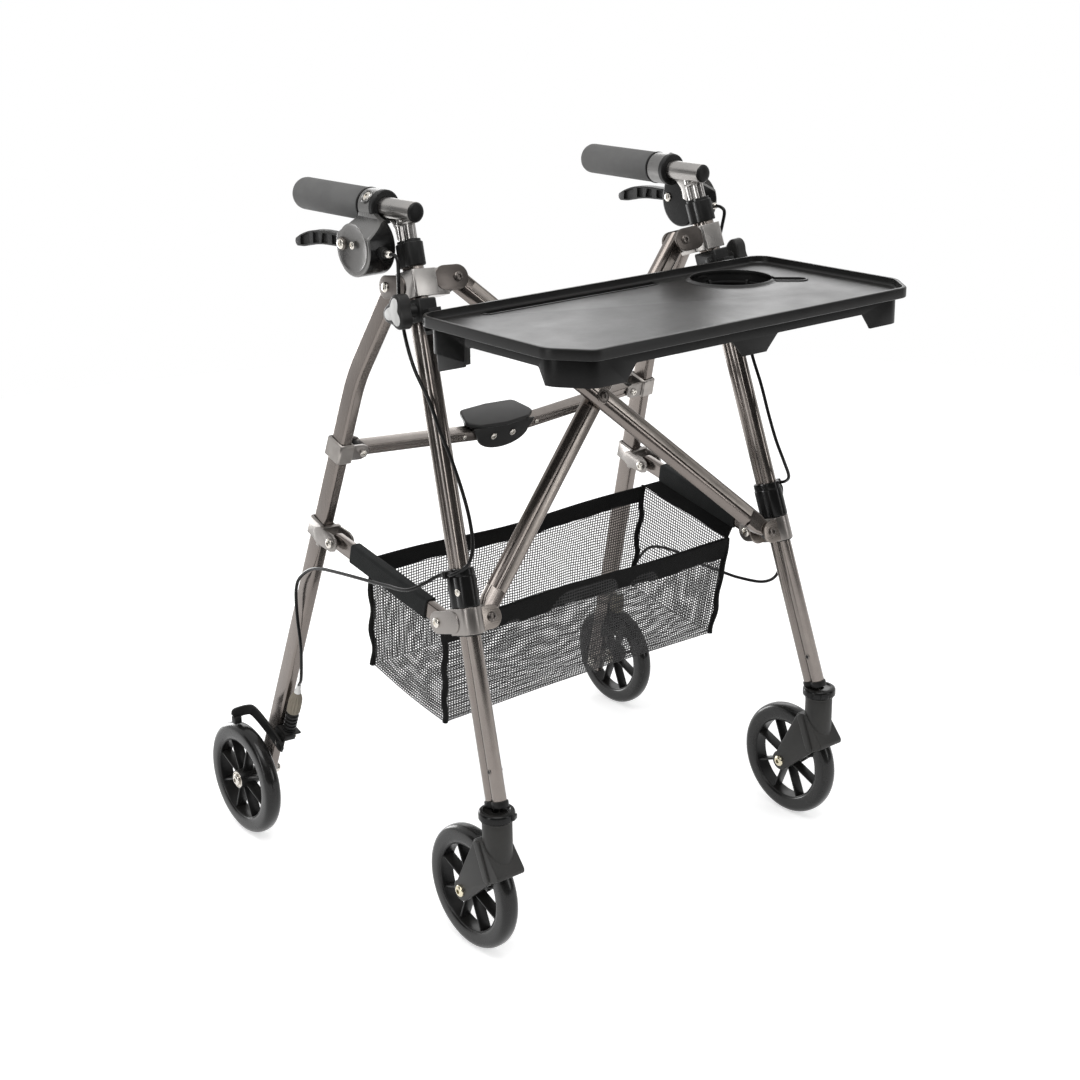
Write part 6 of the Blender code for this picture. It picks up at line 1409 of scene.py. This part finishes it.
def trayPlan(inset):
    side, front, back = tray["half"] - inset, tray["front"] + inset, tray["back"] - inset
    cutX, cutY = tray["cutX"] - inset * 0.45, tray["cutY"] - inset * 0.55
    radius = max(tray["round"] - inset, 0.006)
    corners = [(-side, front + cutY), (-side + cutX, front), (side - cutX, front), (side, front + cutY)]
    eased = []
    for i, here in enumerate(corners):
        corner = Vector(here)
        before = Vector(corners[i - 1]) if i else corner + Vector((0, 0.05))
        after = Vector(corners[i + 1]) if i < 3 else corner + Vector((0, 0.05))
        start = corner + (before - corner).normalized() * 0.009
        end = corner + (after - corner).normalized() * 0.009
        eased += [tuple(bent(start, corner, end, t)) for t in (0, 0.2, 0.4, 0.6, 0.8, 1)]
    return (eased + arc((side - radius, back - radius), radius, 0, 90, 13)
            + arc((-side + radius, back - radius), radius, 90, 180, 13))


def makeTrayPan():
    under, surface, top = tray["under"], tray["surface"], tray["top"]
    pan = extrudeOutline("tray", trayPlan(0.0), under, top, 0.0016, 4, 50)
    dip = extrudeOutline("trayDip", trayPlan(tray["rim"]), surface, top + 0.02, 0.0034, 4, 50)
    cutAway(pan, dip)
    spot = shift(tray["cupX"], tray["cupY"], 0)
    reach = tray["cup"]
    section = [(-0.001, -0.002), (-0.001, 0.0016), (0.0006, 0.0024), (0.0022, 0.0020), (0.0040, 0.0006),
               (tray["ring"], 0.0002), (tray["ring"], -0.002)]
    ring = spinProfile("cupRing", [(reach + out, surface + up) for out, up in section], 120, closed=True)
    merged(pan, put(ring, spot))
    line = roundBar((tray["slotFrom"] + 0.004, tray["slotY"]), (tray["slotTo"] - 0.004, tray["slotY"]),
                    tray["slotHalf"] + 0.0024)
    border = extrudeOutline("slotBorder", line, surface - 0.002, surface + 0.0009, 0.0008, 3)
    turned = spot @ Matrix.Rotation(radians(tray["mugTurn"]), 4, "Z")
    line = roundBar((reach, 0), (tray["mugReach"], 0), tray["mugHalf"] + 0.0024)
    mugBorder = extrudeOutline("mugBorder", line, surface - 0.002, surface + 0.0012, 0.0008, 3)
    merged(pan, border, put(mugBorder, turned))
    hole = spinProfile("cupHole", [(0, under - 0.01), (reach, under - 0.01), (reach, top + 0.01),
                                   (0, top + 0.01)], 120)
    slot = cubeBetween("bookSlot", (tray["slotFrom"], tray["slotY"] - tray["slotHalf"], under - 0.01),
                       (tray["slotTo"], tray["slotY"] + tray["slotHalf"], top + 0.01))
    line = roundBar((reach - 0.006, 0), (tray["mugReach"], 0), tray["mugHalf"])
    mug = put(extrudeOutline("mugSlot", line, under - 0.01, top + 0.01), turned)
    cutAway(pan, put(hole, spot), slot, mug)
    roundEdges(pan, 0.0003, 2, 60)
    dressed(pan, "tray", "tray", ["tray"], angle=32)


def makeTrayWells():
    under, surface = tray["under"], tray["surface"]
    reach, lowReach = tray["cup"], tray["cupLow"]
    floor = surface - tray["cupDeep"]
    well = spinProfile("cupWell", [(0, floor + 0.0025), (lowReach - 0.003, floor + 0.0025),
                                   (lowReach, floor + 0.003), (lowReach + 0.002, floor + 0.0045),
                                   (reach, under - 0.002), (reach, surface), (reach + 0.0025, surface),
                                   (reach + 0.0025, under - 0.002), (lowReach + 0.0045, floor + 0.0045),
                                   (lowReach + 0.0030, floor + 0.0010), (lowReach, floor), (0, floor)], 120)
    notch = cubeBetween("mugNotch", (reach - 0.008, -tray["mugHalf"], under - 0.010),
                        (reach + 0.012, tray["mugHalf"], surface + 0.01))
    mugTurn = Matrix.Rotation(radians(tray["mugTurn"]), 4, "Z")
    cutAway(well, put(notch, mugTurn))
    fins = []
    for i in range(tray["fins"]):
        fin = [(reach + 0.0010, surface - 0.0075), (reach - 0.0040, surface - 0.0075),
               (reach - 0.0052, surface - 0.0095), (lowReach + 0.0004, surface - 0.034),
               (reach - 0.002, surface - 0.034)]
        fin = extrudeOutline("cupFin", fin, -0.0016, 0.0016, 0.0005, 2)
        fins.append(put(put(fin, faceOn), Matrix.Rotation(radians(20 + 360 / tray["fins"] * i), 4, "Z")))
    ledge = spinProfile("cupLedge", [(reach - 0.0012, surface - 0.0100), (reach + 0.001, surface - 0.0100),
                                     (reach + 0.001, surface - 0.0128), (reach - 0.0028, surface - 0.0124),
                                     (reach - 0.0028, surface - 0.0108)], 120, closed=True)
    spot = shift(tray["cupX"], tray["cupY"], 0)
    body = joined("cupWell", well, ledge, *fins)
    dressed(body, "trayInner", "tray", (), spot, angle=32)
    low0, half = surface - tray["slotDeep"] - 0.002, tray["slotHalf"]
    trough = cubeBetween("bookTrough", (tray["slotFrom"] - 0.0025, tray["slotY"] - half - 0.0022, low0),
                         (tray["slotTo"] + 0.0025, tray["slotY"] + half + 0.0022, under + 0.001), 0.0010)
    hollow = cubeBetween("bookHollow", (tray["slotFrom"], tray["slotY"] - half, surface - tray["slotDeep"]),
                         (tray["slotTo"], tray["slotY"] + half, surface + 0.01))
    dressed(cutAway(trough, hollow), "trayInner", "tray")
    line = roundBar((reach + 0.001, 0), (tray["mugReach"], 0), tray["mugHalf"] + 0.0022)
    walls = extrudeOutline("mugWalls", line, under - 0.010, under + 0.001, 0.0004, 2)
    line = roundBar((reach - 0.02, 0), (tray["mugReach"], 0), tray["mugHalf"])
    gap = extrudeOutline("mugGap", line, under - 0.03, under + 0.03)
    dressed(cutAway(walls, gap), "tray", "tray", (), spot @ mugTurn)


def makeTraySkirt():
    under, deep, shallow = tray["under"], tray["deep"], tray["shallow"]
    shadedSkirt = extrudeOutline("shadedTraySkirt", trayPlan(tray["inset"]), deep, under + 0.001)
    cutAway(shadedSkirt, extrudeOutline("skirtSpace", trayPlan(tray["inset"] + tray["wall"]), deep - 0.01,
                                  under + 0.01))
    edge, end = tray["half"] - tray["inset"], deep - 0.004
    cuts = []
    for sign in (-1, 1):
        window = softened([(tray["front"] + 0.050, end), (tray["front"] + 0.062, shallow),
                           (tray["back"] - 0.076, shallow), (tray["back"] - 0.072, end)], 0.004, 6)
        near, far = sorted((sign * (edge - 0.02), sign * (edge + 0.03)))
        cuts.append(put(extrudeOutline("sideWindow", window, near, far), sideOn))
        inner, outer = sign * 0.026, sign * (tray["half"] - 0.089)
        window = softened([(inner - sign * 0.014, end), (inner + sign * 0.006, shallow), (outer, shallow),
                           (outer + sign * 0.016, end)], 0.004, 6)
        cuts.append(put(extrudeOutline("frontWindow", window, -tray["front"] - 0.030, -tray["front"] + 0.01),
                        faceOn))
    rearHalf = tray["half"] - 0.049
    cuts.append(cubeBetween("rearWindow", (-rearHalf, tray["back"] - 0.030, deep - 0.01),
                            (rearHalf, tray["back"] + 0.01, shallow)))
    cutAway(shadedSkirt, *cuts)
    roundEdges(shadedSkirt, 0.0005, 2, 40)
    # the skirt takes the darker copy of the tray plastic, a painted shade
    dressed(shadedSkirt, "shadedSkirt", "tray", angle=32)
    pieces = []
    for sign in (-1, 1):
        low0, high0 = sorted((sign * (edge - 0.0026), sign * edge))
        cheek = softened([(tray["back"] - 0.021, under), (tray["back"] - 0.025, tray["blockLow"]),
                          (tray["back"] - 0.071, tray["blockLow"] + 0.013), (tray["back"] - 0.074, under)],
                         0.0025, 5)
        pieces.append(put(extrudeOutline("trayCheek", cheek, low0, high0, 0.0005, 2), sideOn))
        low0, high0 = sorted((sign * (edge - 0.040), sign * (edge - 0.0006)))
        pieces.append(cubeBetween("trayBlock", (low0, tray["back"] - 0.0275, tray["blockLow"] + 0.002),
                                  (high0, tray["back"] - 0.0245, under), 0.0005))
        for i in range(3):
            x = sign * (edge - 0.010 - 0.011 * i)
            pieces.append(cubeBetween("trayRib", (x - 0.0009, tray["back"] - 0.055, under - 0.020),
                                      (x + 0.0009, tray["back"] - 0.027, under), 0.0003))
    # the blocks under the tray take the same painted shade
    dressed(joined("trayBlocks", *pieces), "shadedSkirt", "tray", angle=32)
    flangeTop = (under + 0.0005) / cos(rake) - tray["flangeBack"] * sin(rake) / cos(rake)
    flange = cubeBetween("trayFlange", (-tray["flangeHalf"], -tray["flangeFront"],
                                        flangeTop - tray["flangeDrop"]),
                         (tray["flangeHalf"], -tray["flangeBack"], flangeTop), 0.0006)
    dressed(flange, "tray", "tray", (), raked)
    shelfBack = (raked @ Vector((0, -tray["flangeBack"], flangeTop))).y
    shelf = cubeBetween("trayShelf", (-tray["flangeHalf"], tray["back"] - 0.013, under - 0.0025),
                        (tray["flangeHalf"], shelfBack - 0.001, under + 0.0005), 0.0005)
    dressed(shelf, "tray", "tray")


# basket of net with bound edges, hung from two sleeves on the side links
basket = {"topFront": (0.2165, -0.0620, 0.3490), "topBack": (0.2120, 0.0890, 0.3835),
          "lowFront": (0.2080, -0.0430, 0.2200), "lowBack": (0.2050, 0.1040, 0.2440),
          "tape": {"Front": 0.0245, "Back": 0.0200}, "binding": 0.0034, "arch": 0.003, "sag": 0.0045,
          "sleeveEnd": 0.030, "sleeveWall": 0.0018, "bulge": 0.0045, "thick": 0.0009, "folded": 0.38}


def corner(name, side):
    x, y, z = basket[name]
    return Vector((side * x, y, z))


def foldBasket(piece):
    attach(piece, "side_link_right")
    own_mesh(piece)
    return piece


def clothPanel(name, lowStart, lowEnd, highStart, highEnd, shape, look, across=60, up=20, thick=0.0):
    # a grid laid between four corners, then shaped by a rule of its two shares
    pickNone()
    bpy.ops.mesh.primitive_grid_add(x_subdivisions=across, y_subdivisions=up, size=1)
    piece = bpy.context.object
    piece.name = name
    width = ((lowEnd - lowStart).length + (highEnd - highStart).length) / 2
    height = ((highStart - lowStart).length + (highEnd - lowEnd).length) / 2
    normal = (lowEnd - lowStart).cross(highStart - lowStart).normalized()
    grain = piece.data.attributes.new("drawn", "FLOAT_VECTOR", "POINT")
    for value, vert in zip(grain.data, piece.data.vertices):
        u, v = vert.co.x + 0.5, vert.co.y + 0.5
        out, drop = shape(u, v)
        value.vector = (u * width, v * height, 0)
        flat = lowStart.lerp(lowEnd, u).lerp(highStart.lerp(highEnd, u), v)
        vert.co = flat + normal * out - Vector((0, 0, drop))
    bpy.context.view_layer.update()
    if thick:
        applied(piece, "SOLIDIFY", thickness=thick, offset=0)
    finished(piece, look, 60)
    foldBasket(piece)
    return piece, width, height


def makeBasketNet():
    arch, bulge, sag = basket["arch"], basket["bulge"], basket["sag"]

    def held(share, reach):
        # ripples fade towards the bound edges
        return min(1, reach * share, reach * (1 - share))

    def wall(u, v):
        ripple = 0.0011 * sin(23 * u + 4 * v) + 0.0008 * sin(41 * u - 9 * v)
        full = sin(pi * u) * sin(pi * v)
        return bulge * full + ripple * held(u, 6) * held(v, 5), -arch * sin(pi * u) * (1 - v) ** 2

    def backWall(u, v):
        out, drop = wall(u, v)
        return out, drop + sag * sin(pi * u) ** 2 * v

    def end(u, v):
        ripple = 0.0009 * sin(17 * u + 7 * v)
        return (bulge * 0.7 * sin(pi * u) * sin(pi * v) + ripple * held(u, 5) * held(v, 5),
                0.003 * sin(pi * u) * (1 - v) ** 2)

    def floor(u, v):
        wave = 0.0010 * sin(19 * u + 5 * v) * held(u, 6) * held(v, 6)
        return wave, sin(pi * u) * (0.012 * sin(pi * v) - arch) + 0.003 * sin(pi * v) * (1 - sin(pi * u))

    (rightFront, leftFront, rightBack, leftBack,
     rightTop, leftTop, rightBackTop, leftBackTop) = [corner(name, side) for name in (
         "lowFront", "lowBack", "topFront", "topBack") for side in (-1, 1)]
    panels = [clothPanel("netFront", rightFront, leftFront, rightTop, leftTop, wall, "net", 80, 26),
              clothPanel("netBack", leftBack, rightBack, leftBackTop, rightBackTop, backWall, "net", 80, 26),
              clothPanel("netRight", rightBack, rightFront, rightBackTop, rightTop, end, "net", 36, 26),
              clothPanel("netLeft", leftFront, leftBack, leftTop, leftBackTop, end, "net", 36, 26),
              clothPanel("netFloor", rightFront, leftFront, rightBack, leftBack, floor, "net", 80, 30)]
    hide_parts("basket")


def makeBasketTape():
    thick = basket["thick"]

    def band(phase, lift, sag):
        return lambda u, v: (lift + 0.0010 * sin(9 * u + phase), 0.0010 * sin(27 * u + phase) * (1 - v)
                             + 0.0009 * sin(11 * u + phase) + sag * sin(pi * u) ** 2)

    for name, top, low0, sides, phase in (("Front", "topFront", "lowFront", (-1, 1), 0.0),
                                          ("Back", "topBack", "lowBack", (1, -1), 2.0)):
        start, end = sides
        sag = basket["sag"] if name == "Back" else 0.0
        share = basket["tape"][name] / (corner(top, start) - corner(low0, start)).length
        lowStart, lowEnd = [corner(top, s).lerp(corner(low0, s), share) for s in sides]
        for label, lift in (("Outer", 0.0012), ("Inner", -0.0012)):
            clothPanel("tape" + name + label, lowStart, lowEnd, corner(top, start), corner(top, end),
                       band(phase, lift, sag), "tape", 90, 4, thick)
        front, back = Vector((0, -0.0016, 0)), Vector((0, 0.0016, 0.0002))
        clothPanel("tape" + name + "Fold", corner(top, start) + front, corner(top, end) + front,
                   corner(top, start) + back, corner(top, end) + back,
                   lambda u, v: (0.0006 * sin(pi * v), 0.0009 * sin(11 * u + phase) + sag * sin(pi * u) ** 2),
                   "tape", 90, 4, thick)
    length = linkRun.length
    drop = 0.0100 + 0.0003 + basket["sleeveWall"] - 0.0010
    for side, mirror in ((-1, noMove), (1, toLeft)):
        label = "Right" if side < 0 else "Left"
        ends = [mirror @ link @ Vector((0.0035, along, -drop))
                for along in (basket["sleeveEnd"] + 0.002, length - basket["sleeveEnd"] - 0.002)]
        front, back = corner("topFront", side), corner("topBack", side)
        clothPanel("flap" + label, front, back, ends[0], ends[1], lambda u, v: (0.0008 * sin(11 * u), 0.0),
                   "tape", 40, 6, thick)
        for topName, lowName, phase in (("topFront", "lowFront", 0.0), ("topBack", "lowBack", 2.0)):
            top, foot = corner(topName, side), corner(lowName, side)
            run = [top.lerp(foot, i / 24)
                   + Vector((0.0016 * sin(0.75 * i + phase) * side, 0.0012 * sin(0.6 * i + side), 0))
                   for i in range(25)]
            binding = cordMesh("binding" + label + topName[3:], run, basket["binding"], 3)
            dressed(binding, "tape", "side_link_right")
            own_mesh(binding)


def makeBasketSleeves():
    wide, high, wall = 0.0052, 0.0103, basket["sleeveWall"]
    length, end = linkRun.length, basket["sleeveEnd"]
    outer = softened([(-wide - wall, -high - wall), (wide + wall, -high - wall), (wide + wall, high + wall),
                      (-wide - wall, high + wall)], 0.0040, 7)
    inner = softened([(-wide, -high), (wide, -high), (wide, high), (-wide, high)], 0.0030, 7)
    sleeve = extrudeOutline("basketSleeve", outer, -(length - end), -end, 0.0006, 2)
    cutAway(sleeve, extrudeOutline("sleeveSpace", inner, -length, 0.0))
    put(sleeve, faceOn)
    twin = copied(sleeve, "basketSleeveLeft")
    sleeve.name = "basketSleeveRight"
    for piece, mirror, body in ((sleeve, noMove, "side_link_right"), (twin, toLeft, "side_link_left")):
        dressed(piece, "sleeve", body, (), mirror @ link, "Y")


for step in (makeTrayPan, makeTrayWells, makeTraySkirt, makeBasketSleeves, makeBasketNet, makeBasketTape):
    step()
for head in screwHeads.values():
    bpy.data.objects.remove(head)
print("stage: tray and basket ready")


# camera, light and floor
view = {"spot": (-1.29413, -1.59509, 1.08505), "turn": -38.370, "rise": 18.920, "roll": -1.062,
        "lens": 60.778, "sensor": 36.0}


def makeCamera():
    turn, rise, roll = radians(view["turn"]), radians(view["rise"]), radians(view["roll"])
    back = Vector((sin(turn) * cos(rise), -cos(turn) * cos(rise), sin(rise)))
    right = Vector((cos(turn), sin(turn), 0))
    up = back.cross(right)
    across = cos(roll) * right + sin(roll) * up
    above = -sin(roll) * right + cos(roll) * up
    pickNone()
    bpy.ops.object.camera_add()
    camera = bpy.context.object
    camera.name = "viewCamera"
    camera.matrix_world = axesAt(across, above, back, view["spot"])
    camera.data.lens = view["lens"]
    camera.data.sensor_width = view["sensor"]
    camera.data.clip_end = 50
    bpy.context.scene.camera = camera


lights = {"top": ((-0.5, -0.9, 2.7), (1.5, 1.5), 30.0), "left": ((-2.6, -0.25, 1.0), (0.5, 1.7), 13.0),
          "right": ((1.2, -2.5, 1.1), (0.45, 1.6), 10.0), "back": ((1.7, 2.1, 1.55), (2.1, 1.1), 13.5),
          "rim": ((-0.22, 1.95, 0.42), (0.7, 0.8), 15.0)}


def makeLights():
    target = Vector((0, 0, 0.45))
    for name, (spot, size, power) in lights.items():
        pickNone()
        bpy.ops.object.light_add(type="AREA", location=spot)
        lamp = bpy.context.object
        lamp.name = name + "Light"
        lamp.data.shape = "RECTANGLE"
        lamp.data.size, lamp.data.size_y = size
        lamp.data.energy = power
        away = (Vector(spot) - target).normalized()
        side = Vector((0, 0, 1)).cross(away).normalized()
        lamp.matrix_world = axesAt(side, away.cross(side), away, spot)


def seenDirectly(tree):
    # 1 for rays from the camera, in reflections and through clear material, else 0
    rays = addNode(tree, "ShaderNodeLightPath").outputs
    first = addMath(tree, "MAXIMUM", rays["Is Camera Ray"], rays["Is Glossy Ray"])
    return addMath(tree, "MAXIMUM", first, rays["Is Transmission Ray"])


world = {"seen": 1.0, "light": 0.50}


def makeWorld():
    bpy.context.scene.world = bpy.data.worlds.new("studio")
    bpy.context.scene.world.use_nodes = True
    tree = bpy.context.scene.world.node_tree
    level = addRange(tree, seenDirectly(tree), toLow=world["light"], toHigh=world["seen"])
    setInputs(tree, tree.nodes["Background"], {"Color": (1, 1, 1, 1), "Strength": level})


def stageMaterial(name, values):
    material = bpy.data.materials.new(name)
    material.use_nodes = True
    tree = material.node_tree
    setInputs(tree, tree.nodes["Principled BSDF"], values)
    return material, tree


studioFloor = {"radius": 2.6, "tone": 0.86, "glow": 0.52}


def makeFloor():
    pickNone()
    bpy.ops.mesh.primitive_circle_add(vertices=96, radius=studioFloor["radius"], fill_type="NGON",
                                      location=(0, 0, -0.0002))
    floor = bpy.context.object
    floor.name = "studioFloor"
    tone = studioFloor["tone"]
    material, tree = stageMaterial("paleFloor", {"Base Color": (tone, tone, tone, 1), "Roughness": 0.9,
                                                 "Specular IOR Level": 0.1,
                                                 "Emission Color": (1, 1, 1, 1)})
    glow = addMath(tree, "MULTIPLY", seenDirectly(tree), studioFloor["glow"])
    setInputs(tree, tree.nodes["Principled BSDF"], {"Emission Strength": glow})
    floor.data.materials.append(material)


surround = {"radius": 3.4, "from": -128, "to": 58, "high": 2.6, "panels": 24, "tone": 0.012}


def makeSurround():
    # a dark curtain behind the camera keeps the front faces deep, as in a studio
    tone = surround["tone"]
    material = stageMaterial("darkCurtain", {"Base Color": (tone, tone, tone, 1), "Roughness": 1.0})[0]
    count = surround["panels"]
    spots = []
    for i in range(count + 1):
        turn = radians(surround["from"] + (surround["to"] - surround["from"]) * i / count)
        spots.append((surround["radius"] * sin(turn), -surround["radius"] * cos(turn)))
    pickNone()
    bpy.ops.mesh.primitive_grid_add(x_subdivisions=count, y_subdivisions=1, size=1)
    curtain = bpy.context.object
    curtain.name = "studioCurtain"
    for vert in curtain.data.vertices:
        x, y = spots[round((vert.co.x + 0.5) * count)]
        vert.co = (x, y, 0.02 if vert.co.y < 0 else surround["high"])
    curtain.data.materials.append(material)
    curtain.visible_camera = False
    curtain.visible_diffuse = False
    curtain.visible_shadow = False


for step in (makeCamera, makeLights, makeWorld, makeFloor, makeSurround):
    step()
bpy.context.scene.view_settings.view_transform = "Standard"
print("stage: studio ready")
